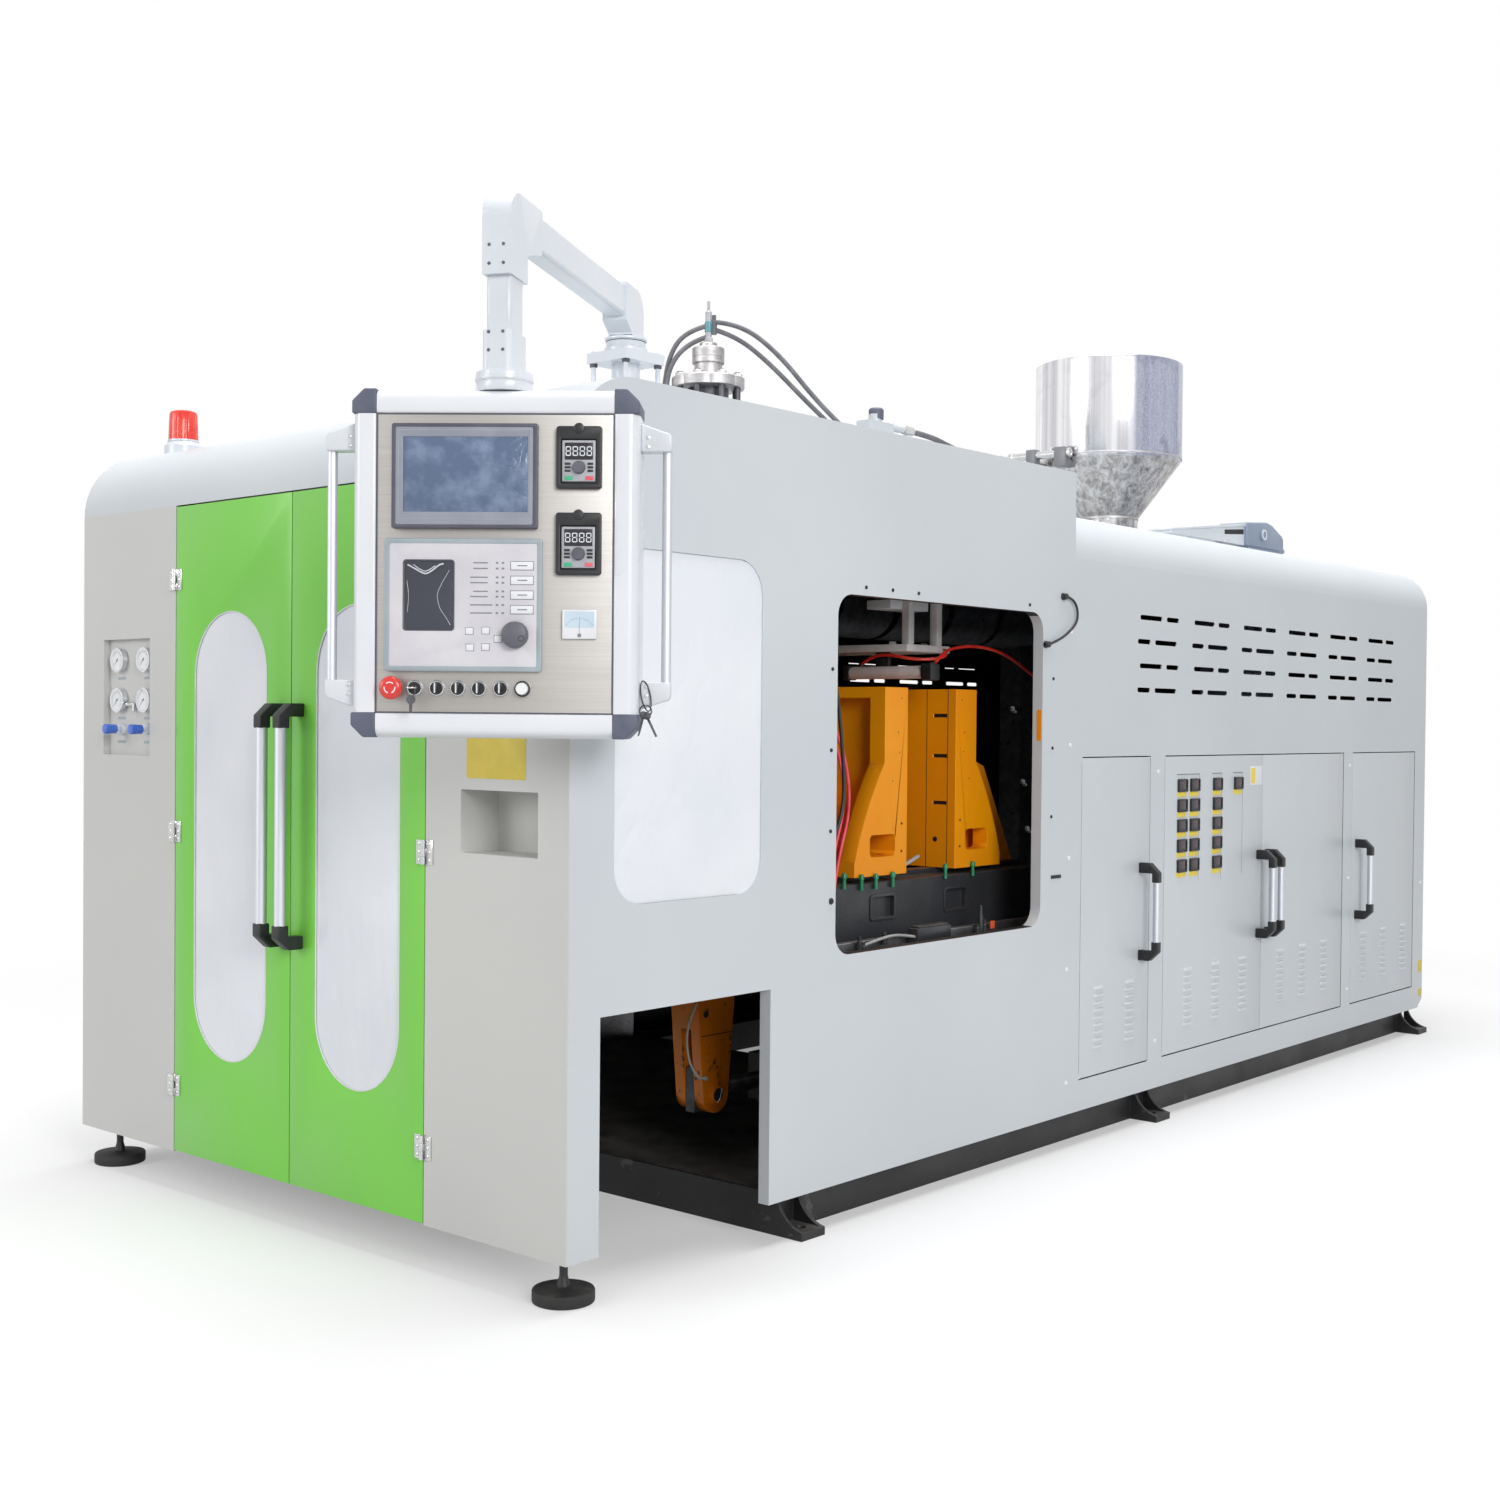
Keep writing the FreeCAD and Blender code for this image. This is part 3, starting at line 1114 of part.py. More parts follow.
def selector(x):
    """A round body with a raised grip bar."""
    body = rod((x, FACE_Y - FIT, CONTROL_ROW_Z), (0, -1, 0), SELECTOR_RADIUS, BEZEL_PROUD + 3)
    grip = block((x - 3.2, x + 3.2), (FACE_Y - BEZEL_PROUD - 15, FACE_Y - BEZEL_PROUD - 2),
                 (CONTROL_ROW_Z - SELECTOR_RADIUS * 0.92, CONTROL_ROW_Z + SELECTOR_RADIUS * 0.92))
    return join(body, grip)


def key_switch():
    """The lock barrel with its key standing in it and a second key on the ring."""
    body = rod((KEY_SWITCH_X, FACE_Y - FIT, CONTROL_ROW_Z), (0, -1, 0), SELECTOR_RADIUS,
               BEZEL_PROUD + 2)
    tip = FACE_Y - BEZEL_PROUD - 2
    blade = block((KEY_SWITCH_X - 4, KEY_SWITCH_X + 4), (tip - 12, tip),
                  (CONTROL_ROW_Z - 1.2, CONTROL_ROW_Z + 1.2))
    bow = block((KEY_SWITCH_X - 10, KEY_SWITCH_X + 10), (tip - 30, tip - 12),
                (CONTROL_ROW_Z - 1.2, CONTROL_ROW_Z + 1.2))
    return join(body, blade, bow)


def speed_knob():
    return turning_knob(SPEED_KNOB_X, CONTROL_ROW_Z, FACE_Y - BEZEL_PROUD, BEZEL_RADIUS, 13,
                        SELECTOR_RADIUS, BEZEL_PROUD - 2 * FIT)


def grab_handle(side):
    """A tube held between two cast brackets beside the panel."""
    edge = PANEL_X[1] if side > 0 else PANEL_X[0]
    x = edge + side * GRAB_OUT
    middle = (PANEL_FRONT + PANEL_BACK) / 2
    bar = rod((x, middle, GRAB_Z[0] + GRAB_BRACKET), (0, 0, 1), GRAB_RADIUS,
              GRAB_Z[1] - GRAB_Z[0] - 2 * GRAB_BRACKET)
    pieces = [bar]
    outer = x + side * GRAB_RADIUS
    y = middle - 17
    for z, up in ((GRAB_Z[0], 1), (GRAB_Z[1], -1)):
        pieces.append(polygon([
            (edge, y, z - up * 14), (outer - side * 14, y, z), (outer, y, z + up * 9),
            (outer, y, z + up * GRAB_BRACKET), (edge, y, z + up * GRAB_BRACKET),
        ], (0, 34, 0)))
    return pieces


# ---- Clamp ----

MOULD_FACES = (MOULD_STATION - MOULD_GAP / 2, MOULD_STATION + MOULD_GAP / 2)
PLATEN_X = (STATION_X - PLATEN_WIDTH / 2, STATION_X + PLATEN_WIDTH / 2)


def platen(face, away):
    """A mounting plate on webs that widen to the foot, with core holes and mould slots."""
    low, high = PLATEN_Z
    start = face + away * PLATEN_PLATE
    back_top = face + away * PLATEN_TOP_DEPTH
    back_foot = face + away * PLATEN_FOOT_DEPTH
    pieces = [block(PLATEN_X, sorted((face, start)), PLATEN_Z)]
    for x in (PLATEN_X[0], PLATEN_X[1] - PLATEN_RIB):
        knee = ((x, back_top, PLATEN_SHOULDER_Z),
                (x, face + away * PLATEN_KNEE[0], PLATEN_KNEE[1]),
                (x, back_foot, PLATEN_FOOT_Z))
        pieces.append(outline([
            [(x, start, low), (x, start, high)],
            [(x, start, high), (x, back_top, high)],
            [(x, back_top, high), knee[0]],
            list(knee),
            [knee[2], (x, back_foot, low)],
            [(x, back_foot, low), (x, start, low)],
        ], (PLATEN_RIB, 0, 0)))
    pieces.append(block(PLATEN_X, sorted((start, back_foot)), (low, low + 35)))
    pieces.append(block(PLATEN_X, sorted((start, back_top)), (high - PLATEN_TOP_BAR, high)))
    body = join(*pieces)
    core = sorted(face + away * d for d in PLATEN_WINDOW)
    body = body.cut(rounded(on_side(PLATEN_X[0]), core, PLATEN_WINDOW_Z, 12, (PLATEN_WIDTH, 0, 0)))
    for z in SLOT_HEIGHTS:
        for x in (PLATEN_X[0] + SLOT_INSET, PLATEN_X[1] - SLOT_INSET - SLOT_LENGTH):
            body = body.cut(block((x, x + SLOT_LENGTH), sorted((face, face + away * 16)),
                                  (z - MOULD_SLOT_HEIGHT / 2, z + MOULD_SLOT_HEIGHT / 2)))
    return body


def rear_platen():
    """The rear platen has a deeper rib behind it, against the clamping force."""
    low = PLATEN_Z[0]
    face = MOULD_FACES[1]
    start = face + PLATEN_PLATE
    x = PLATEN_X[1] - 75 - MIDDLE_RIB
    rib = polygon([
        (x, start, low), (x, face + MIDDLE_RIB_DEPTH[1], low),
        (x, face + MIDDLE_RIB_DEPTH[0], MIDDLE_RIB_Z), (x, start, MIDDLE_RIB_Z + 60),
    ], (MIDDLE_RIB, 0, 0))
    return join(platen(face, 1), rib)


def push_eye():
    """The front platen's drive bar: it ends in a tall eye, open round the lever's upper pin."""
    pin_z = LEVER_PIVOT_Z + LEVER_UPPER_ARM
    half = LEVER_SLOT / 2 - LEVER_PLAY
    x = (STATION_X - half, STATION_X + half)
    play = LEVER_PIN + LEVER_SLACK
    low = pin_z - LEVER_RISE
    eye = block(x, (LEVER_STATION - 45, LEVER_STATION + 45), (low - 45, pin_z + 45))
    bar = block(x, (LEVER_STATION + 40, MOULD_FACES[0] - PLATEN_PLATE), (pin_z - 30, pin_z + 30))
    slot = block(x, (LEVER_STATION - play, LEVER_STATION + play), (low - play, pin_z + play))
    return join(eye, bar).cut(slot)


def clamp_lever():
    """A forked lever: fork and pin at each end, and the pivot bore between them."""
    x = (STATION_X - LEVER_WIDTH / 2, STATION_X + LEVER_WIDTH / 2)
    low = LEVER_PIVOT_Z - LEVER_LOWER_ARM
    high = LEVER_PIVOT_Z + LEVER_UPPER_ARM
    end = 42.0
    half = LEVER_DEPTH / 2
    y = LEVER_STATION
    body = outline([
        [(x[0], y - end, low), (x[0], y, low - end), (x[0], y + end, low)],
        [(x[0], y + end, low), (x[0], y + half, LEVER_PIVOT_Z - 120)],
        [(x[0], y + half, LEVER_PIVOT_Z - 120), (x[0], y + half, LEVER_PIVOT_Z + 60)],
        [(x[0], y + half, LEVER_PIVOT_Z + 60), (x[0], y + end, high)],
        [(x[0], y + end, high), (x[0], y, high + end), (x[0], y - end, high)],
        [(x[0], y - end, high), (x[0], y - half, LEVER_PIVOT_Z + 60)],
        [(x[0], y - half, LEVER_PIVOT_Z + 60), (x[0], y - half, LEVER_PIVOT_Z - 120)],
        [(x[0], y - half, LEVER_PIVOT_Z - 120), (x[0], y - end, low)],
    ], (LEVER_WIDTH, 0, 0))
    fork = (STATION_X - LEVER_SLOT / 2, STATION_X + LEVER_SLOT / 2)
    deep = (y - half, y + half)
    body = body.cut(block(fork, deep, (low - end, low + 150)))
    body = body.cut(block(fork, deep, (high - 150, high + end)))
    bore = rod((x[0], y, LEVER_PIVOT_Z), (1, 0, 0), LEVER_PIN + FIT, LEVER_WIDTH)
    body = body.cut(bore)
    pins = [rod((x[0] - 8, y, z), (1, 0, 0), LEVER_PIN, LEVER_WIDTH + 16) for z in (low, high)]
    return join(body, *pins)


def carriage():
    """The shuttle casting: two side beams with pockets, cross walls, ways, shoes and lugs."""
    low, high = CARRIAGE_Z
    y0, y1 = CARRIAGE_STATIONS
    rib = 40.0
    beams = [block((x, x + rib), (y0, y1), (low, high))
             for x in (PLATEN_X[0], PLATEN_X[1] - rib)]
    walls = [block(PLATEN_X, (y, y + 50), (low, high)) for y in (y0, y1 - 50)]
    bed = block(PLATEN_X, (y0, y1), (high - 40, high))
    pieces = beams + walls + [bed]
    for x in (PLATEN_X[0] + WAY_INSET, PLATEN_X[1] - WAY_INSET - WAY_WIDTH):
        pieces.append(block((x, x + WAY_WIDTH), (y0, y1), (high, high + WAY_HEIGHT)))
    shoe = RAIL_RADIUS + RAIL_SHOE / 2
    for y in RAIL_STATIONS:
        for x in (PLATEN_X[0], PLATEN_X[1] - 90):
            pieces.append(block((x, x + 90), (y - shoe, y + shoe), (RAIL_Z - shoe, low + 10)))
    lug_x = STATION_X - LEVER_WIDTH / 2 - LEVER_PLAY - LEVER_LUG
    for x in (lug_x, STATION_X + LEVER_WIDTH / 2 + LEVER_PLAY):
        pieces.append(block((x, x + LEVER_LUG), (LEVER_STATION - 50, y0), (low, high)))
    body = join(*pieces)
    for y in RAIL_STATIONS:
        body = body.cut(rod((PLATEN_X[0], y, RAIL_Z), (1, 0, 0), RAIL_RADIUS + FIT, PLATEN_WIDTH))
    for y in POCKET_STATIONS:
        for x in ((PLATEN_X[1] - 12, PLATEN_X[1]), (PLATEN_X[0], PLATEN_X[0] + 12)):
            body = body.cut(block(x, (y, y + POCKET[0]), (POCKET_Z, POCKET_Z + POCKET[1])))
    pin = rod((lug_x, LEVER_STATION, LEVER_PIVOT_Z), (1, 0, 0), LEVER_PIN,
              LEVER_WIDTH + 2 * (LEVER_PLAY + LEVER_LUG))
    return join(body, pin)


def clamp_cylinder():
    """The hydraulic cylinder and the leg that hangs it under the carriage."""
    z = LEVER_PIVOT_Z - LEVER_LOWER_ARM
    y0, y1 = CYLINDER_STATIONS
    barrel = rod((STATION_X, y0, z), (0, 1, 0), CYLINDER_RADIUS, y1 - y0)
    caps = [block((STATION_X - 55, STATION_X + 55), (y, y + 45), (z - 55, z + 55))
            for y in (y0, y1 - 45)]
    leg = block((STATION_X - 55, STATION_X + 55), (y1, y1 + 40), (z - 55, CARRIAGE_Z[1] - 40))
    bore = rod((STATION_X, y0, z), (0, 1, 0), ROD_RADIUS + FIT, 200)
    return join(barrel, *caps, leg).cut(bore)


def cylinder_rod():
    """The piston rod with its tall eye, open round the lever's lower pin."""
    z = LEVER_PIVOT_Z - LEVER_LOWER_ARM
    half = LEVER_SLOT / 2 - LEVER_PLAY
    x = (STATION_X - half, STATION_X + half)
    play = LEVER_PIN + LEVER_SLACK
    eye = block(x, (LEVER_STATION - 40, LEVER_STATION + 75), (z - 40, z + LEVER_RISE + 40))
    slot = block(x, (LEVER_STATION - play, LEVER_STATION + play),
                 (z - play, z + LEVER_RISE + play))
    start = LEVER_STATION + 74
    shaft = rod((STATION_X, start, z), (0, 1, 0), ROD_RADIUS, CYLINDER_STATIONS[0] + 30 - start)
    return join(eye.cut(slot), shaft)


def shuttle_guides():
    """Two ground rails along X, seated in the bed walls, and the walls themselves."""
    z0 = SKIRT_Z + SHEET
    walls = []
    for x in (-BED_X, BED_X - BED_WALL):
        wall = block((x, x + BED_WALL), (RAIL_STATIONS[0] - 70, RAIL_STATIONS[1] + 70),
                     (z0, RAIL_Z + 50))
        for y in RAIL_STATIONS:
            wall = wall.cut(rod((x, y, RAIL_Z), (1, 0, 0), RAIL_RADIUS, BED_WALL))
        walls.append(wall)
    rails = [rod((-BED_X, y, RAIL_Z), (1, 0, 0), RAIL_RADIUS, 2 * BED_X) for y in RAIL_STATIONS]
    return walls + rails


def blow_frame():
    """Hangers from the roof, the blowing plate and the air cylinder under its front edge."""
    plate = block(BLOW_PLATE_X, BLOW_PLATE_STATIONS, BLOW_PLATE_Z)
    pieces = [plate]
    for x in (BLOW_PLATE_X[0], BLOW_PLATE_X[1] - HANGER):
        for y in HANGER_STATIONS:
            pieces.append(block((x, x + HANGER), (y, y + HANGER),
                                (BLOW_PLATE_Z[1], MAIN_TOP - SHEET)))
    y = AIR_CYLINDER_STATION
    x0, x1 = AIR_CYLINDER_X
    barrel = rod((x0, y, AIR_CYLINDER_Z), (1, 0, 0), AIR_CYLINDER_RADIUS, x1 - x0)
    head = block((x1, x1 + 29), (y - 20, y + 20), (AIR_CYLINDER_Z - 20, AIR_CYLINDER_Z + 20))
    saddle = block((x0 + 90, x0 + 130), (y + 2, y + AIR_CYLINDER_RADIUS),
                   (AIR_CYLINDER_Z, BLOW_PLATE_Z[0]))
    return pieces + [join(barrel, head, saddle)]


# ---- Extruder ----

def die_head():
    """Head body, tie flange on its columns, cap and the stroke sensor above the roof."""
    at = (EXTRUDER_X, MOULD_STATION)
    radius, flange_low, flange_high = HEAD_FLANGE
    cap_radius, cap_low, cap_high = HEAD_CAP
    disc_radius, disc_top = HEAD_TOP_DISC
    sensor_top = SENSOR_Z
    body_top = MAIN_TOP + 30
    body = turned([
        (0, HEAD_FOOT_Z), (34, HEAD_FOOT_Z), (46, HEAD_FOOT_Z + 60),
        (HEAD_RADIUS, HEAD_FOOT_Z + 90), (HEAD_RADIUS, body_top), (HEAD_NECK, body_top),
        (HEAD_NECK, flange_low), (radius, flange_low), (radius, flange_high), (38, flange_high),
        (38, cap_low), (cap_radius, cap_low), (cap_radius, cap_high), (disc_radius, cap_high),
        (disc_radius, disc_top), (SENSOR_RADIUS, disc_top), (SENSOR_RADIUS, sensor_top),
        (4, sensor_top + 4),
        (4, SENSOR_TOP), (0, SENSOR_TOP),
    ], at)
    columns = []
    for i in range(8):
        turn = math.radians(22.5 + 45 * i)
        x, y = at[0] + 84 * math.cos(turn), at[1] + 84 * math.sin(turn)
        columns.append(rod((x, y, body_top - 60), (0, 0, 1), HEAD_COLUMN,
                           flange_high + 12 - body_top + 60))
    adapter = rod((at[0], at[1], EXTRUDER_Z), (0, 1, 0), BARREL_RADIUS, HEAD_RADIUS + 60)
    return join(body, *columns, adapter)


def extruder_barrel():
    """The barrel from the head to the throat block, with its heater bands and stand."""
    y0 = MOULD_STATION + HEAD_RADIUS + 60
    throat = (HOPPER_STATION - THROAT_BLOCK / 2, HOPPER_STATION + THROAT_BLOCK / 2)
    barrel = rod((EXTRUDER_X, y0, EXTRUDER_Z), (0, 1, 0), BARREL_RADIUS, throat[0] - y0)
    pieces = [barrel]
    for i in range(HEATER_COUNT):
        y = y0 + 60 + i * (HEATER_LENGTH + HEATER_GAP)
        pieces.append(rod((EXTRUDER_X, y, EXTRUDER_Z), (0, 1, 0), HEATER_RADIUS, HEATER_LENGTH))
    block_x = (EXTRUDER_X - THROAT_BLOCK / 2, EXTRUDER_X + THROAT_BLOCK / 2)
    pieces.append(block(block_x, throat, (EXTRUDER_Z - 120, EXTRUDER_Z + 120)))
    pieces.append(rod((EXTRUDER_X, HOPPER_STATION, EXTRUDER_Z + 120), (0, 0, 1), THROAT_RADIUS,
                      HOPPER_FLANGE_Z - EXTRUDER_Z - 120))
    stand = block((EXTRUDER_X - 40, EXTRUDER_X + 40),
                  (CROSS_BEAM_STATIONS[2] + 20, CROSS_BEAM_STATIONS[2] + BEAM_WIDTH - 20),
                  (SKIRT_Z, EXTRUDER_Z))
    return join(*pieces, stand)


def gearbox():
    """Reduction gearbox with its belt guard, on a pedestal over the rear cross beams."""
    case = block(GEARBOX_X, GEARBOX_STATIONS, GEARBOX_Z)
    guard_x = (GEARBOX_X[0] + 60, MOTOR_X + 120)
    guard = rounded(on_front(BELT_GUARD_STATIONS[0]), guard_x, BELT_GUARD_Z, BELT_GUARD_RADIUS,
                    (0, BELT_GUARD_STATIONS[1] - BELT_GUARD_STATIONS[0], 0))
    pedestal = block(grown(GEARBOX_X, -50), (GEARBOX_STATIONS[0], BELT_GUARD_STATIONS[1] + 40),
                     (SKIRT_Z, GEARBOX_Z[0]))
    return join(case, guard, pedestal)


def drive_motor():
    """Finned motor on a stand, with its terminal box standing through the roof."""
    y0, y1 = MOTOR_STATIONS
    body = rod((MOTOR_X, y0, MOTOR_Z), (0, 1, 0), MOTOR_RADIUS * 0.86, y1 - y0)
    fins = [rod((MOTOR_X, y0 + 60 + i * 50, MOTOR_Z), (0, 1, 0), MOTOR_RADIUS * 0.95, 10)
            for i in range(6)]
    bell = rod((MOTOR_X, y1 - 70, MOTOR_Z), (0, 1, 0), MOTOR_RADIUS, 70)
    front, rear = TERMINAL_STATIONS
    x = MOTOR_X - TERMINAL_BOX / 2
    box = polygon([
        (x, front, MOTOR_Z), (x, front, TERMINAL_TOP), (x, rear - 110, TERMINAL_TOP + 5),
        (x, rear, TERMINAL_TOP - 55), (x, rear, MOTOR_Z),
    ], (TERMINAL_BOX, 0, 0))
    gland = rod((MOTOR_X + 24, rear, TERMINAL_TOP - 68), (0, 1, 0), 9, 70)
    shaft = rod((MOTOR_X, y1, MOTOR_Z), (0, 1, 0), 24, BELT_GUARD_STATIONS[0] - y1)
    stand = block((MOTOR_X - 100, MOTOR_X + 100), (BODY_LENGTH - 745, y1 - 90),
                  (SKIRT_Z, MOTOR_Z - MOTOR_RADIUS * 0.6))
    return join(body, *fins, bell, box, gland, shaft, stand)


def hopper_profile(wall):
    """Half section of the hopper's outer surface, moved in by wall."""
    return [
        (THROAT_RADIUS - wall, HOPPER_FLANGE_Z), (THROAT_RADIUS - wall, HOPPER_CONE_FOOT),
        (HOPPER_RADIUS - wall, HOPPER_CONE_TOP), (HOPPER_RADIUS - wall, HOPPER_TOP),
    ]


def hopper():
    """Polished hopper: cylinder, cone and neck, with its hinge bar on two plates."""
    at = (EXTRUDER_X, HOPPER_STATION)
    shell = turned(hopper_profile(0) + hopper_profile(HOPPER_WALL)[::-1], at)
    solid = turned([(0, HOPPER_FLANGE_Z)] + hopper_profile(0) + [(0, HOPPER_TOP)], at)
    y = HINGE_BAR_STATION
    x0, x1 = HINGE_BAR_X
    bar = rod((x0, y, HINGE_BAR_Z), (1, 0, 0), HINGE_BAR_RADIUS, x1 - x0)
    pieces = [shell, bar]
    for x in HINGE_PLATES:
        low, high = HINGE_PLATE_Z
        arm = block(grown(x, -13), (y, y + 100), (low, low + 30))
        pieces += [block(x, (y - 18, y + 18), (low, high)).cut(solid), arm.cut(solid)]
    return join(*pieces)


# ---- Hoses: straight runs joined by tangent arcs ----

ARC_SHARE = 0.45


def hose(name, points, diameter):
    """A round hose along its route, whose arcs take a fixed share of the shorter run."""
    knots = [Vector(*p) for p in points]
    edges, here, radii = [], knots[0], []
    for before, corner, after in zip(knots, knots[1:], knots[2:]):
        to_corner, onward = corner - before, after - corner
        cut = ARC_SHARE * min(to_corner.Length, onward.Length)
        turn = to_corner.getAngle(onward)
        radii.append(cut / math.tan(turn / 2))
        start = corner - to_corner.normalize() * cut
        end = corner + onward.normalize() * cut
        bulge = radii[-1] * (1 / math.cos(turn / 2) - 1)
        middle = corner + ((start + end) * 0.5 - corner).normalize() * bulge
        edges.append(Part.LineSegment(here, start).toShape())
        edges.append(Part.Arc(start, middle, end).toShape())
        here = end
    edges.append(Part.LineSegment(here, knots[-1]).toShape())
    path = Part.Wire(edges)
    direction = (knots[1] - knots[0]).normalize()
    ring = Part.Wire([Part.makeCircle(diameter / 2, knots[0], direction)])
    solid = path.makePipeShell([ring], True, False)
    ratio = solid.Volume / (math.pi * diameter ** 2 / 4 * path.Length)
    print(f"{name}: length {path.Length:.0f}, least radius {min(radii):.0f}, volume ratio {ratio:.3f}")
    return solid


def head_point(out, z, behind=0.0):
    """A point in the upright plane that the head's hoses hang in."""
    turn = math.radians(HOSE_PLANE)
    x = EXTRUDER_X + out * math.cos(turn) - behind * math.sin(turn)
    return (x, MOULD_STATION + out * math.sin(turn) + behind * math.cos(turn), z)


def head_hoses():
    """Four hoses from the stroke sensor down to the roof, ended flush on both."""
    roof = block((LEFT, RIGHT), (0, MAIN_LENGTH), (MAIN_TOP - HEAD_HOSE, MAIN_TOP + FIT))
    sensor = rod((EXTRUDER_X, MOULD_STATION, SENSOR_Z - 100), (0, 0, 1), SENSOR_RADIUS + FIT, 100)
    hoses = [hose("head hose", [head_point(*p) for p in route], HEAD_HOSE).cut(roof).cut(sensor)
             for route in HEAD_HOSE_ROUTES]
    return hoses + [hose("roof hose", ROOF_HOSE_ROUTE, ROOF_HOSE)]


def window_cables():
    """The guard switch's cable, the blowing air hoses and the bundle of heater cables."""
    cables = [hose("guard cable", GUARD_CABLE_ROUTE, GUARD_CABLE)]
    cables += [hose("air hose", route, AIR_HOSE) for route in AIR_HOSE_ROUTES]
    first, last = STRAND_ROUTE[0], STRAND_ROUTE[-1]
    for dx, dy, dz in STRAND_OFFSETS:
        route = [(first[0], first[1] + dy, first[2])]
        route += [(x + dx, y + dy, z + dz) for x, y, z in STRAND_ROUTE[1:-1]]
        route.append((last[0] + dx, last[1] + dy, last[2]))
        cables.append(hose("heater cable", route, STRAND))
    return cables


# ---- Write the pieces ----

def build():
    node("base_frame", *base_frame())
    node("levelling_feet", *levelling_foot(-FOOT_X), *levelling_foot(FOOT_X))
    node("front_pillar_left", *pillar_with_bay(-1, GAUGE_BAY, GAUGE_BAY_Z, GAUGE_BAY_DEPTH))
    node("front_pillar_right", *pillar_with_bay(1, TOOL_BAY, TOOL_BAY_Z, TOOL_BAY_DEPTH))
    node("side_panel_right", side_panel_right())
    node("side_panel_left", side_panel_left())
    node("side_pane", side_pane())
    node("main_roof", main_roof())
    node("cabinet_roof", cabinet_roof())
    skin = RIGHT - SHEET
    upper = (CABINET_SEAM_Z, CABINET_TOP - SHOULDER_RADIUS)
    node("cabinet_vent_side", cabinet_sheet(skin, *upper).cut(vent_slots(skin)))
    node("cabinet_door_frame", cabinet_door_frame())
    left = cabinet_sheet(LEFT, SKIRT_Z, upper[1]).cut(vent_slots(LEFT))
    foot = block((LEFT, LEFT + SHEET + FLOOR_RETURN), (MAIN_LENGTH, FRAME_REAR),
                 (SKIRT_Z, SKIRT_Z + SHEET))
    node("cabinet_side_left", join(left, foot))
    node("cabinet_rear", cabinet_rear())
    node("pressure_gauges", *[gauge(x, z) for x in GAUGE_X for z in GAUGE_Z])
    node("regulator_knob_left", regulator_knob(GAUGE_X[0] + 8))
    node("regulator_knob_right", regulator_knob(GAUGE_X[1] + 6))
    node("hinge_leaves", *[fixed_hinge(side, z) for side in (-1, 1) for z in HINGE_HEIGHTS])
    for side, name in ((-1, "door_left"), (1, "door_right")):
        node(name, *front_door(side))
        node(name + "_pane", front_pane(side))
    for name in SIDE_DOORS:
        node(name, *side_door(name))
    node("temperature_controllers", *temperature_controllers())
    base, lens = beacon()
    node("beacon_base", base)
    node("beacon_lens", lens)
    node("arm_pedestal", arm_pedestal())
    node("suspension_arm", *suspension_arm())
    node("panel_housing", *panel_placed(*panel_housing()))
    node("panel_frame", *panel_placed(*panel_frame()))
    node("panel_faceplate", *panel_placed(panel_faceplate()))
    node("grab_handles", *panel_placed(*grab_handle(-1), *grab_handle(1)))
    node("hmi_screen", *panel_placed(hmi_screen()))
    node("parison_controller", *panel_placed(parison_controller()))
    node("drive_keypads", *panel_placed(*drive_keypads()))
    node("emergency_button", *panel_placed(emergency_button()))
    node("key_switch", *panel_placed(key_switch()))
    for i, x in enumerate(SELECTOR_X):
        node(f"selector_switch_{i + 1}", *panel_placed(selector(x)))
    node("speed_knob", *panel_placed(speed_knob()))
    node("controller_knob", *panel_placed(turning_knob(
        *PARISON_KNOB, FACE_Y - PARISON_PROUD, PARISON_KNOB_RADIUS, 16, 4, 5)))
    node("carriage", carriage())
    node("clamp_cylinder", clamp_cylinder())
    node("platen_front", join(platen(MOULD_FACES[0], -1), push_eye()))
    node("platen_rear", rear_platen())
    node("clamp_lever", clamp_lever())
    node("cylinder_rod", cylinder_rod())
    node("shuttle_guides", *shuttle_guides())
    node("blow_frame", *blow_frame())
    node("die_head", die_head())
    node("extruder_barrel", extruder_barrel())
    node("gearbox", gearbox())
    node("drive_motor", drive_motor())
    node("hopper", hopper())
    node("roof_hoses", *head_hoses())
    node("window_cables", *window_cables())


build()
os.makedirs("parts", exist_ok=True)
for name, shape in NODES.items():
    if not shape.isValid() or not shape.Solids:
        print("not a valid solid:", name)
    shape.exportStep(os.path.join("parts", name + ".step"))
print(len(NODES), "pieces written, origin at station", ORIGIN_STATION)
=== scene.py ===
import math
import random

import bmesh
import bpy
from mathutils import Matrix, Vector


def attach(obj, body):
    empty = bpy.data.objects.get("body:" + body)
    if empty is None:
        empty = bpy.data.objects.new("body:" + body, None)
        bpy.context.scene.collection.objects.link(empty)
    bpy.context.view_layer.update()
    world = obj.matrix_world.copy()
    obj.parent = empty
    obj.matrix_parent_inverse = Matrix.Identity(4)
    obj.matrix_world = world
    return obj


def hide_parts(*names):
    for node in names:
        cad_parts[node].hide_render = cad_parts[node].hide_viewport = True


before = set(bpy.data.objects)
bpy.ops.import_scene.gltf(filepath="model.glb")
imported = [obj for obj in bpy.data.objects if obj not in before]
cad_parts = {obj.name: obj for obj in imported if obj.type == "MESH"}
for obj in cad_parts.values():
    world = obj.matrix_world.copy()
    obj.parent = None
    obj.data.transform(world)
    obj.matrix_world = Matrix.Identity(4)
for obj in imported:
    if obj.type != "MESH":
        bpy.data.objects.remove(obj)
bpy.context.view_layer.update()  # frame["bodies"], ["nodes"], ["joints"], ["record"]

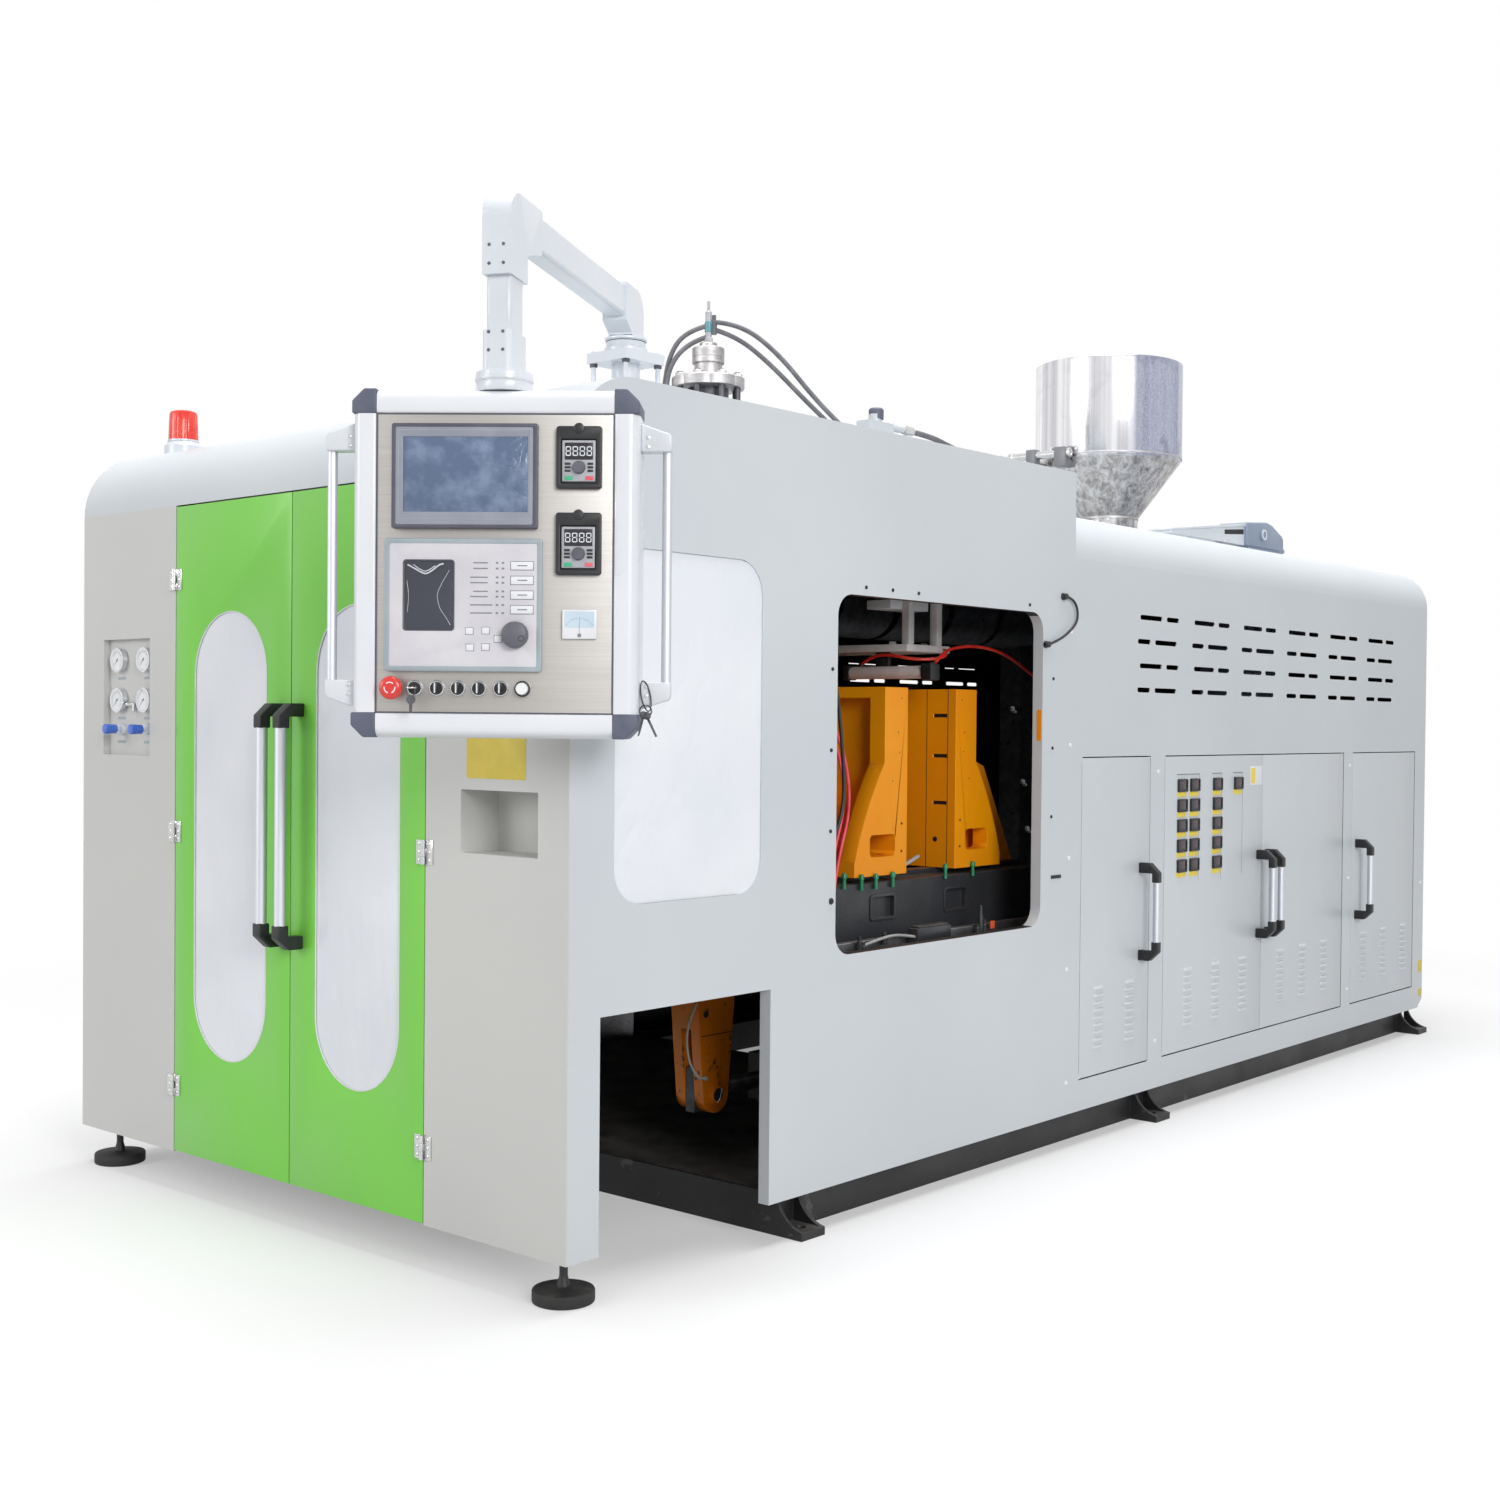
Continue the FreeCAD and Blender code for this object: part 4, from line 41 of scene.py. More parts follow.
# The blow moulding machine, dressed over its CAD frame. Lengths here are millimetres, with x from
# the middle of the body, stations backwards from the door face and z from the floor, as in the
# part's source. A piece is written in metres when it is placed.
MM = 0.001
ORIGIN_STATION = 2408.5
SIDE = 850.0                  # outer face of the body's sheets
REAR_REVEAL = 1601.6          # rear edge of the guard window
FORWARD, RIGHT, UP = (0, -1, 0), (1, 0, 0), (0, 0, 1)
SWIVEL = (505.0, 482.0)       # the suspension arm's upright axis
PANEL_AXIS = (837.6, -149.5)  # the upright axis that the control panel turns on


def row_frame(x=0.0, station=ORIGIN_STATION, z=0.0, turn=0.0):
    """Where a piece's own axes stand in the machine."""
    return (Matrix.Translation((x * MM, (station - ORIGIN_STATION) * MM, z * MM))
            @ Matrix.Rotation(math.radians(turn), 4, "Z"))


REACH = (PANEL_AXIS[0] - SWIVEL[0], PANEL_AXIS[1] - SWIVEL[1])
ARM_LENGTH = math.hypot(*REACH)
MACHINE = row_frame(station=0.0)
PANEL = row_frame(*PANEL_AXIS, turn=39.0) @ Matrix.Translation((5.6 * MM, 0, 0))
ARM = row_frame(*SWIVEL, turn=math.degrees(math.atan2(REACH[1], REACH[0])))


# ---- Node building ----

def feed(tree, socket, value):
    if isinstance(value, Wire):
        tree.links.new(value.socket, socket)
    else:
        socket.default_value = value


def make(tree, kind, sockets=(), out=0, **settings):
    """A new node, fed through its sockets, as the Wire of one of its outputs."""
    node = tree.nodes.new("ShaderNode" + kind)
    for key, value in settings.items():
        setattr(node, key, value)
    for key, value in dict(sockets).items():
        feed(tree, node.inputs[key], value)
    return Wire(tree, node.outputs[out])


class Wire:
    """A value in a node tree, so that a sum of values is written as it reads."""

    def __init__(self, tree, socket):
        self.tree, self.socket = tree, socket

    def math(self, operation, *others):
        return make(self.tree, "Math", enumerate((self, *others)), operation=operation)

    def __add__(self, other):
        return self.math("ADD", other)

    def __mul__(self, other):
        return self.math("MULTIPLY", other)

    def __sub__(self, other):
        return self.math("SUBTRACT", other)

    def __rsub__(self, other):
        return make(self.tree, "Math", {0: other, 1: self}, operation="SUBTRACT")

    def vector(self, operation, *others, out=0):
        return make(self.tree, "VectorMath", enumerate((self, *others)), out,
                    operation=operation)

    def height(self):
        return make(self.tree, "SeparateXYZ", {0: self}, "Z")

    def mix(self, first, second):
        """From one colour to another as this value goes from 0 to 1."""
        return make(self.tree, "Mix", {0: self, 6: first, 7: second}, 2, data_type="RGBA")

    def spread(self, low, high, to_low=0.0, to_high=1.0):
        return make(self.tree, "MapRange", {0: self, 1: low, 2: high, 3: to_low, 4: to_high})

    def noise(self, scale, detail=3.0, roughness=0.5, distortion=0.0):
        return make(self.tree, "TexNoise", {"Vector": self, "Scale": scale, "Detail": detail,
                                            "Roughness": roughness, "Distortion": distortion})


def surface_place(tree):
    return make(tree, "TexCoord", out="Object")


def colour(code):
    """An sRGB hex code as the linear colour that a node takes."""
    parts = [int(code[i:i + 2], 16) / 255 for i in (1, 3, 5)]
    return (*[c / 12.92 if c <= 0.04045 else ((c + 0.055) / 1.055) ** 2.4 for c in parts], 1.0)


# ---- Effects ----

WHITE, BLACK = (1, 1, 1, 1), (0, 0, 0, 1)
SOCKET_KINDS = {1: "Float", 3: "Vector", 4: "Color"}


def effect(name, inputs, outputs):
    """Turns a function of wires into a node group with its named sockets."""
    def build(wiring):
        tree = bpy.data.node_groups.new(name, "ShaderNodeTree")
        for label, value in inputs.items():
            kind = SOCKET_KINDS[len(value) if isinstance(value, tuple) else 1]
            tree.interface.new_socket(name=label, in_out="INPUT",
                                      socket_type="NodeSocket" + kind).default_value = value
        for label in outputs:
            kind = "Color" if label == "Color" else "Float"
            tree.interface.new_socket(name=label, in_out="OUTPUT",
                                      socket_type="NodeSocket" + kind)
        given = tree.nodes.new("NodeGroupInput").outputs
        made = tree.nodes.new("NodeGroupOutput").inputs
        wires = wiring(surface_place(tree), *[Wire(tree, given[label]) for label in inputs])
        for label, wire in zip(outputs, wires):
            tree.links.new(wire.socket, made[label])
        return tree
    return build


@effect("sprayed coat", {"Paint": WHITE, "Shade": WHITE, "Dust": WHITE, "Dust Amount": 0.2,
                         "Cloud Scale": 2.0, "Peel Scale": 300.0, "Roughness": 0.4,
                         "Roughness Spread": 0.1}, ("Color", "Roughness", "Peel"))
def sprayed_coat(place, paint, shade, dust, amount, cloud_scale, peel_scale, roughness, wander):
    """Sprayed paint: faint clouds, fine peel, and dust on what faces up."""
    clouds = place.noise(cloud_scale, 4).spread(0.32, 0.68)
    upward = make(place.tree, "NewGeometry", out="Normal").height().spread(0.35, 1.0)
    dusty = upward * place.noise(11.0, 6, 0.65).spread(0.3, 0.75) * amount
    return (dusty.mix(clouds.mix(paint, shade), dust),
            roughness + (clouds - 0.5) * wander + dusty * 0.3, place.noise(peel_scale, 2))


@effect("rubbed patches", {"Color": WHITE, "Bare": WHITE, "Amount": 0.2, "Scale": 20.0},
        ("Color",))
def rubbed_patches(place, shown, bare, amount, scale):
    """Chips and rubbed patches that bare what is under the finish."""
    edge = 0.72 - amount * 0.3
    return (place.noise(scale, 8, 0.7, 0.4).spread(edge, edge + 0.05).mix(shown, bare),)


@effect("drawn grain", {"Metal": WHITE, "Streak": WHITE, "Stretch": (1, 1, 1),
                        "Roughness": 0.3, "Roughness Spread": 0.15, "Smudge Scale": 9.0},
        ("Color", "Roughness", "Lines"))
def drawn_grain(place, base, streak, stretch, roughness, wander, smudge_scale):
    """Lines drawn along one way of the sheet, as brushing or rolling leaves them."""
    lines = place.vector("MULTIPLY", stretch).noise(1.0, 5, 0.65)
    smudges = place.noise(smudge_scale, 5, 0.6).spread(0.35, 0.7)
    return (lines.spread(0.3, 0.7).mix(base, streak),
            roughness + (lines * 0.6 + smudges * 0.4) * wander, lines)


@effect("film wrinkles", {"Scale": 6.0, "Stretch": (1, 1, 1), "Crumple": 0.5},
        ("Height", "Air"))
def film_wrinkles(place, scale, stretch, crumple):
    """Film that lies on a surface: long folds, small crumples and trapped air."""
    along = place.vector("MULTIPLY", stretch)
    ridge = (along.noise(scale, 3, 0.5, 1.6) - 0.5).math("ABSOLUTE")
    cells = make(place.tree, "TexVoronoi", {"Vector": along, "Scale": scale * 4.0},
                 feature="DISTANCE_TO_EDGE")
    return (ridge.spread(0.0, 0.08) + cells.spread(0.0, 0.12) * crumple,
            place.noise(3.0, 4).spread(0.35, 0.7))


@effect("moulded grain", {"Color": WHITE, "Worn": WHITE, "Grain Scale": 900.0,
                          "Wear Scale": 14.0, "Roughness": 0.5, "Roughness Spread": 0.15},
        ("Color", "Roughness", "Grain"))
def moulded_grain(place, base, worn, grain_scale, wear_scale, roughness, wander):
    """Moulded plastic or rubber: a fine grain and slightly worn patches."""
    wear = place.noise(wear_scale, 6, 0.6).spread(0.4, 0.75)
    return wear.mix(base, worn), roughness + wear * wander, place.noise(grain_scale, 2)


@effect("inside of the body", {"Outside": WHITE, "Inside": BLACK}, ("Color",))
def painted_inner_shade(place, outside, inside):
    """Painted shade: the faces of the body's sheets that look inwards are coloured dark below the
    roof.
    """
    position = make(place.tree, "NewGeometry", out="Position")
    normal = make(place.tree, "NewGeometry", out="Normal")
    outward = position.vector("SUBTRACT", (0.0, 0.0, 0.8)).vector("DOT_PRODUCT", normal,
                                                                  out="Value")
    below_roof = position.height().math("LESS_THAN", 1.62)
    return ((outward.math("LESS_THAN", 0.0) * below_roof).mix(outside, inside),)


# ---- Finishes ----

FINISHES = {}
DUST = colour("#9A958C")


def finish(name, constants):
    """A new material's tree and Principled shader, with the constants set on its sockets."""
    FINISHES[name] = bpy.data.materials.new(name.replace("_", " "))
    FINISHES[name].use_nodes = True
    tree = FINISHES[name].node_tree
    shader = tree.nodes["Principled BSDF"]
    for key, value in constants.items():
        shader.inputs[key].default_value = value
    return tree, shader


def use(tree, group, *values):
    """Places an effect in a material, fed in the order of its sockets."""
    node = tree.nodes.new("ShaderNodeGroup")
    node.node_tree = group
    for socket, value in zip(node.inputs, values):
        feed(tree, socket, value)
    return [Wire(tree, socket) for socket in node.outputs]


def join_up(shader, shown, roughness, height, depth):
    """Feeds a finish's colour, roughness and relief to its shader."""
    bump = make(shown.tree, "Bump", {"Height": height, "Distance": depth, "Strength": 1.0})
    for key, wire in (("Base Color", shown), ("Roughness", roughness), ("Normal", bump)):
        feed(shown.tree, shader.inputs[key], wire)


def painted(name, paint, shade, roughness=0.42, wander=0.12, dust=0.15, clouds=1.6, peel=420.0,
            depth=0.00006, bare=None, wear=0.0, wear_scale=20.0, inside=None, coat=0.0):
    """Paint, chipped down to what is bare, with painted shade on a sheet's inner faces."""
    tree, shader = finish(name, {"Coat Weight": coat, "Coat Roughness": 0.12})
    shown, rough, rise = use(tree, sprayed_coat, colour(paint), colour(shade), DUST, dust,
                             clouds, peel, roughness, wander)
    if bare:
        shown, = use(tree, rubbed_patches, shown, colour(bare), wear, wear_scale)
    # The inner faces take the inside colour, a painted shade.
    if inside:
        shown, = use(tree, painted_inner_shade, shown, colour(inside))
    join_up(shader, shown, rough, rise, depth)


def metal(name, base, streak, stretch, roughness=0.25, wander=0.2, smudges=9.0, depth=0.00004,
          bare=None, wear=0.0):
    """Bare metal with its drawn grain, and rubbed to a darker tone where it is worn."""
    tree, shader = finish(name, {"Metallic": 1.0})
    shown, rough, lines = use(tree, drawn_grain, colour(base), colour(streak), stretch,
                              roughness, wander, smudges)
    if bare:
        shown, = use(tree, rubbed_patches, shown, colour(bare), wear, 30.0)
    join_up(shader, shown, rough, lines, depth)


def moulded(name, base, worn, roughness=0.45, wander=0.18, grain=900.0, wear=14.0,
            depth=0.00005, coat=0.0, **constants):
    tree, shader = finish(name, {"Coat Weight": coat, **constants})
    join_up(shader, *use(tree, moulded_grain, colour(base), colour(worn), grain, wear,
                         roughness, wander), depth)


def film(name, base, tint, scale=5.0, stretch=(1, 1, 1), crumple=0.3, roughness=0.28,
         depth=0.0006):
    """Sheet under its plain protective film."""
    tree, shader = finish(name, {"Coat Weight": 0.25, "Coat Roughness": 0.08})
    height, air = use(tree, film_wrinkles, scale, stretch, crumple)
    join_up(shader, air.mix(colour(base), colour(tint)),
            air.spread(0, 1, roughness, roughness + 0.2), height, depth)


def hopper_polish(name):
    """Mirror-polished sheet: painted reflections as upright light and dark stripes and a blue-grey
    shade side, a haze of scratches, clinging film.
    """
    tree, shader = finish(name, {"Metallic": 1.0})
    place = surface_place(tree)
    way = place.vector("SUBTRACT", (-0.088, 3.553, 0)).vector("MULTIPLY", (1, 1, 0)).vector(
        "NORMALIZE")
    # Painted shade and reflection: one side of the hopper is coloured a dimmer blue-grey, and the
    # upright stripes are painted reflections.
    painted_shade_side = way.vector("DOT_PRODUCT", (0.80, 0.60, 0), out="Value").spread(0.10, 0.32)
    painted_reflection_bands = (way.noise(4.2, 1, 0.4).spread(0.42, 0.58) * 0.6
             + way.noise(15.0, 3, 0.6).spread(0.38, 0.62) * 0.4)
    shown = painted_shade_side.mix(painted_reflection_bands.mix(colour("#C4C4CA"), colour("#FBFBFC")),
                       painted_reflection_bands.mix(colour("#7F86A0"), colour("#A9AEC2")))
    fine_place = place.vector("MULTIPLY", (70, 70, 34))
    # Real scratches, painted lighter on the shade side where they catch the light: partly a painted
    # glint.
    scratches = (fine_place.noise(1.1, 7, 0.7, 3.0) - 0.5).math("ABSOLUTE").spread(0.022, 0.004)
    shown = (scratches * painted_shade_side.spread(0, 1, 0.15, 0.7)).mix(shown, colour("#EDEEF3"))
    # Dark blue-grey patches of painted reflection, mostly on the shade side.
    patches = place.noise(7.0, 5, 0.62, 0.8).spread(0.56, 0.70)
    shown = (patches * painted_shade_side.spread(0, 1, 0.12, 0.6)).mix(shown, colour("#5A6073"))
    cone = place.height().spread(2.035, 2.02)
    mottle = fine_place.noise(0.5, 9, 0.8, 0.6).spread(0.40, 0.60)
    shown = (cone * 0.85).mix(shown, mottle.mix(colour("#77736F"), colour("#D9D7D6")))
    height, _ = use(tree, film_wrinkles, 16.0, (1.4, 1.4, 0.8), 0.8)
    join_up(shader, shown, cone.spread(0, 1, 0.16, 0.34),
            height * cone.spread(0, 1, 0.07, 1.0), 0.0006)


def screen_glass(name):
    """The switched-off screen: blue-grey, with a faint mottle of painted reflection over its film.
    """
    tree, shader = finish(name, {"Coat Weight": 0.6, "Coat Roughness": 0.05})
    height, _ = use(tree, film_wrinkles, 18.0, (1, 1, 1), 0.2)
    # A mottle of painted reflection in the glass's colour.
    painted_reflection_mottle = surface_place(tree).noise(26.0, 3, 0.5).spread(0.45, 0.7)
    join_up(shader, painted_reflection_mottle.mix(colour("#506383"), colour("#7585A2")),
            painted_reflection_mottle.spread(0, 1, 0.18, 0.35), height, 0.0003)


def make_finishes():
    for row in (    # paint, shade, roughness and its spread, dust, clouds, peel, depth, bare, ...
            ("sheet_grey", "#C6CCD1", "#CFD4D8", 0.4, 0.1, 0.12, 1.3),
            ("pillar_grey", "#C9C9C7", "#CFCFCC", 0.4, 0.1, 0.12, 1.3),
            ("base_black", "#141416", "#1D1D1F", 0.52, 0.2, 0.35, 6, 200, 0.0003, "#4A4846",
             0.35, 16),
            ("dark_casting", "#36383C", "#2A2B2F", 0.42, 0.28, 0.35, 7, 120, 0.0005, "#55534F",
             0.25, 22),
            ("motor_grey", "#7D8AA0", "#8B97AB", 0.38, 0.12, 0.2, 5, 140, 0.0003),
            ("frame_aluminium", "#E4E3E2", "#CFCECD", 0.3, 0.16, 0.1, 18, 300),
            ("hinge_grey", "#85868A", "#75767A", 0.34, 0.12, 0.1, 8),
            ("bracket_grey", "#D6DADF", "#DDE0E5", 0.32, 0.1, 0.1, 6),
            ("cylinder_bright", "#E2D8D5", "#CFC4C1", 0.26, 0.16, 0, 14)):
        painted(*row)
    # The body's inner faces are coloured dark: painted shade inside the machine.
    painted("body_grey", "#C6CCD1", "#CFD4D8", 0.4, 0.1, 0.12, 1.3, inside="#232325")
    painted("door_green", "#74CB44", "#7DD04D", 0.36, 0.1, 0.08, 1.5, coat=0.15)
    painted("clamp_yellow", "#FBA000", "#F49400", 0.48, 0.14, 0.02, 4, 160, 0.0002, "#7A4A0C",
            0.05, 34, coat=0.02)
    painted("lever_orange", "#E8800F", "#D9750C", 0.36, 0.16, 0.3, 6, 160, 0.0004, "#3A2712",
            0.45, 26, coat=0.2)
    painted("light_enamel", "#CFD5DC", "#DADEE4", 0.3, 0.1, 0.06, 3, 500, 0.00004, coat=0.3)
    painted("profile_enamel", "#DEE1E7", "#E8EAEE", 0.3, 0.08, 0.04, 3, 600, 0.00003, coat=0.2)
    for row in (    # base, streak, stretch, roughness and its spread, smudges, depth, bare, wear
            ("brushed_steel", "#B0ADA9", "#A3A09D", (3, 3, 900), 0.42, 0.16, 5, 0.00002),
            ("ground_steel", "#B4B5B8", "#8F9094", (60, 60, 240), 0.26, 0.3, 12, 0.00008,
             "#5C554E", 0.15),
            ("dark_steel", "#6F7074", "#55565B", (40, 40, 40), 0.4, 0.3, 14, 0.0002, "#34302C",
             0.4),
            ("bright_zinc", "#D8D8D6", "#BFC0C2", (70, 70, 70), 0.16, 0.2, 30),
            ("aluminium", "#D2D3DA", "#C2C4CB", (500, 500, 4), 0.46, 0.14, 8, 0.00002),
            ("chrome", "#E6E7EA", "#CDD0D6", (40, 40, 40), 0.08, 0.1, 20),
            ("light_steel", "#C9C7C7", "#A3A1A3", (30, 30, 60), 0.42, 0.2)):
        metal(*row)
    for row in (    # base, worn, roughness and its spread, grain, wear, depth, coat
            ("foot_rubber", "#1A1A1B", "#3A3937", 0.7, 0.2, 500, 30, 0.0002),
            ("cap_slate", "#55596A", "#646879", 0.5, 0.15, 700, 20),
            ("black_plastic", "#17181A", "#2A2B2E", 0.42, 0.2),
            ("controller_grey", "#CFCDD3", "#DAD8DC", 0.4, 0.12, 800),
            ("frame_grey", "#9AA6AD", "#A8B2B8", 0.4, 0.12, 800),
            ("knob_grey", "#54555E", "#696A72", 0.38, 0.15),
            ("screen_grey", "#8B8F9C", "#989CA8", 0.4, 0.12, 800),
            ("screen_rim", "#4A4B58", "#5A5B67", 0.42, 0.12, 800),
            ("signal_red", "#D5221B", "#E2463C", 0.26, 0.12, 500, 30, 0.00005, 0.4),
            ("key_green", "#2FA878", "#4DBA8E", 0.4, 0.1),
            ("key_red", "#DC5A6B", "#E57985", 0.4, 0.1),
            ("blue_plastic", "#2F5FC4", "#4E7BD6", 0.24, 0.14, 400, 30, 0.00005, 0.4),
            ("gauge_face", "#E9EBEC", "#F1F2F2", 0.3, 0.1, 900, 12),
            ("white_moulding", "#D9D9DC", "#E6E6E8", 0.4, 0.12, 700),
            ("tag_yellow", "#EBD13C", "#F3DE5A", 0.34, 0.12, 500, 20),
            ("hose_black", "#5F5F65", "#7E7E84", 0.55, 0.2, 1200, 30, 0.0001),
            ("hose_red", "#D8281C", "#E8503F", 0.3, 0.14, 300, 20, 0.00005, 0.3),
            ("cable_black", "#161719", "#2A2A2D", 0.42, 0.2, 900, 30),
            ("cable_grey", "#A8AAA8", "#BCBDBA", 0.42, 0.2, 900, 30),
            ("fitting_green", "#0E7A50", "#2B9068", 0.3, 0.15),
            ("strand_red", "#E8384A", "#F06A72", 0.34, 0.14, 300, 20),
            ("fitting_teal", "#4F8F96", "#6BA5AA", 0.3, 0.15),
            ("legend_grey", "#7E8088", "#8C8E96", 0.5, 0.1),
            ("key_white", "#E4E5EA", "#EDEEF1", 0.36, 0.1),
            ("silver_sheet", "#A9ABB2", "#BCBEC4", 0.3, 0.14, 500, 40),
            ("lit_digits", "#DDE3EA", "#F1F4F7", 0.4, 0.1),
            ("dim_digits", "#5A3A40", "#6B464B", 0.4, 0.1),
            ("unit_face", "#26232A", "#332F37", 0.2, 0.12, 600, 30),
            ("label_yellow", "#D3BC45", "#DCC858", 0.4, 0.12, 500, 20),
            ("dial_blue", "#C3D5E4", "#D2E0EC", 0.3, 0.1),
            # Light colour of the display film's folds: a painted highlight.
            ("fold_shine", "#C9CCD6", "#E6E8EE", 0.12, 0.1, 300),
            ("tag_orange", "#F0562A", "#F4744B", 0.4, 0.1),
            ("gap_dark", "#141517", "#1D1E20", 0.6, 0.1)):
        moulded(*row)
    moulded("beacon_red", "#F2301F", "#FF6A52", 0.16, 0.12, 260, 40, 0.0001, 0.4,
            **{"Coat Roughness": 0.06, "Transmission Weight": 0.35, "IOR": 1.46})
    film("film_white", "#DEE1E8", "#EAECF1", 4, (1, 1, 0.35), 0.25)
    film("side_film", "#E3E7EE", "#EBEEF2", 3, (0.35, 1, 0.6), 0.22)
    film("window_black", "#2A2D38", "#3B3F4C", 9, (1, 1, 1), 0.05, 0.1, 0.0004)
    hopper_polish("polished_steel")
    screen_glass("screen_glass")


def dress(obj, finish_name):
    """Gives a piece or a CAD node its finish."""
    if obj.data.materials:
        for slot in obj.material_slots:
            slot.material = FINISHES[finish_name]
    else:
        obj.data.materials.append(FINISHES[finish_name])


def settle(obj, finish_name, body, stands_for=(), axes=None):
    """Puts a piece in the scene with its finish, what it stands for and its body."""
    if obj.name not in bpy.context.collection.objects:
        bpy.context.collection.objects.link(obj)
    if axes is not None:
        obj.matrix_world = axes
        bpy.context.view_layer.update()
    dress(obj, finish_name)
    if stands_for:
        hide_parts(*stands_for)
    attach(obj, body)
    return obj


# ---- Mesh building ----

def ring(count, radius, u=0.0, v=0.0):
    """Points round a centre, as (u, v); a radius may depend on the point's number."""
    sizes = [radius(i) if callable(radius) else radius for i in range(count)]
    return [(u + r * math.cos(math.tau * i / count), v + r * math.sin(math.tau * i / count))
            for i, r in enumerate(sizes)]


def turned(radius, height):
    """The profile of a plain turned piece."""
    return [(0, 0), *disc(radius, height)]


def disc(radius, height):
    """The profile of one that is let into a face, without its hidden end."""
    return [(radius, 0), (radius, height), (0, height)]


FORMS = []                    # every piece of the script's own, written when all are made


class Form:
    """A piece's mesh under construction, in millimetres."""

    def __init__(self, name, finish_name, site, sharp=35.0):
        self.mesh = bmesh.new()
        self.name, self.finish_name, self.site, self.sharp = name, finish_name, site, sharp
        FORMS.append(self)

    def bevel(self, parts, offset, segments, **more):
        """Rounds the edges of the newest faces."""
        if offset:
            edges = list({e for part in parts for e in part})
            bmesh.ops.bevel(self.mesh, geom=edges, offset=offset, segments=segments,
                            profile=0.5, affect="EDGES", **more)
        return self

    def skin(self, rings, closed=True, around=False, ends=False):
        """Faces between neighbouring rings of points; a ring of one point is a pole."""
        rings = [[self.mesh.verts.new(p) for p in points] for points in rings]
        for low, high in zip(rings, rings[1:] + rings[:around]):
            count = max(len(low), len(high))
            for i in range(count if closed else count - 1):
                j = (i + 1) % count
                corners = dict.fromkeys((low[i % len(low)], low[j % len(low)],
                                         high[j % len(high)], high[i % len(high)]))
                if len(corners) > 2:
                    self.mesh.faces.new(tuple(corners))
        if ends:
            self.mesh.faces.new(rings[0][::-1])
            self.mesh.faces.new(rings[-1])
        return self

    def face(self, points):
        self.mesh.faces.new([self.mesh.verts.new(p) for p in points])

    def block(self, x, y, z, bevel=0.0, segments=2):
        made = bmesh.ops.create_cube(self.mesh, size=1.0)["verts"]
        for v in made:
            v.co = Vector([low + (high - low) * (c + 0.5)
                           for c, (low, high) in zip(v.co, (x, y, z))])
        return self.bevel((v.link_edges for v in made), bevel, segments)

    def lathe(self, profile, start=(0, 0, 0), way=(0, 0, 1), segments=48):
        """Turned from (radius, height) points along way; a radius of 0 closes it."""
        turn = Vector((0, 0, 1)).rotation_difference(Vector(way)).to_matrix()
        start = Vector(start)
        return self.skin([[start + turn @ Vector((u, v, height))
                           for u, v in ring(segments if radius > 0 else 1, max(radius, 0))]
                          for radius, height in profile])

    def rod(self, start, end, radius, bevel=0.8, segments=32):
        """A round bar between two points, with its ends broken."""
        start, end = Vector(start), Vector(end)
        length = (end - start).length
        bevel = min(bevel, radius * 0.4, length * 0.3)
        profile = [(0, 0), (radius - bevel, 0), (radius, bevel), (radius, length - bevel),
                   (radius - bevel, length), (0, length)]
        return self.lathe(profile, start, (end - start).normalized(), segments)

    def tube(self, route, radius, sides=12, steps=8):
        """A bent round lead along a smooth line through the points of its route."""
        route = [Vector(p) for p in route]
        places = []
        ends = [2 * route[0] - route[1], *route, 2 * route[-1] - route[-2]]
        for a, b, c, d in zip(ends, ends[1:], ends[2:], ends[3:]):
            for t in (k / steps for k in range(steps)):
                places.append(0.5 * (2 * b + (c - a) * t + (2 * a - 5 * b + 4 * c - d) * t ** 2
                                     + (3 * b - a - 3 * c + d) * t ** 3))
        places.append(route[-1])
        rings, across = [], Vector((0.31, 0.42, 0.85))
        for i, place in enumerate(places):
            way = (places[min(i + 1, len(places) - 1)] - places[max(i - 1, 0)]).normalized()
            across = (across - across.dot(way) * way).normalized()
            rings.append([place + radius * (u * across + v * way.cross(across))
                          for u, v in ring(sides, 1.0)])
        return self.skin(rings, ends=True)

    def nut(self, start, way, across, height, sides=6):
        """A hexagon head with its corners turned off."""
        r = across / math.sqrt(3)
        return self.lathe([(0, 0), (r, 0), (r, height * 0.85), (r * 0.88, height), (0, height)],
                          start, way, sides)

    def screw(self, start, way, radius, height, segments=18):
        """A pan head with a cross recess suggested by its dished crown."""
        return self.lathe([(radius, 0), (radius, height * 0.4), (radius * 0.86, height * 0.8),
                           (radius * 0.5, height), (radius * 0.28, height), (0, height * 0.55)],
                          start, way, segments)

    def prism(self, points, way, bevel=0.0, segments=2):
        """A flat outline pushed along way, with its edges rounded."""
        low = [self.mesh.verts.new(p) for p in points]
        high = [self.mesh.verts.new(Vector(p) + Vector(way)) for p in points]
        n = len(points)
        made = [self.mesh.faces.new(low[::-1]), self.mesh.faces.new(high)]
        made += [self.mesh.faces.new((low[i], low[(i + 1) % n], high[(i + 1) % n], high[i]))
                 for i in range(n)]
        bmesh.ops.recalc_face_normals(self.mesh, faces=made)
        return self.bevel((f.edges for f in made), bevel, segments, clamp_overlap=True)

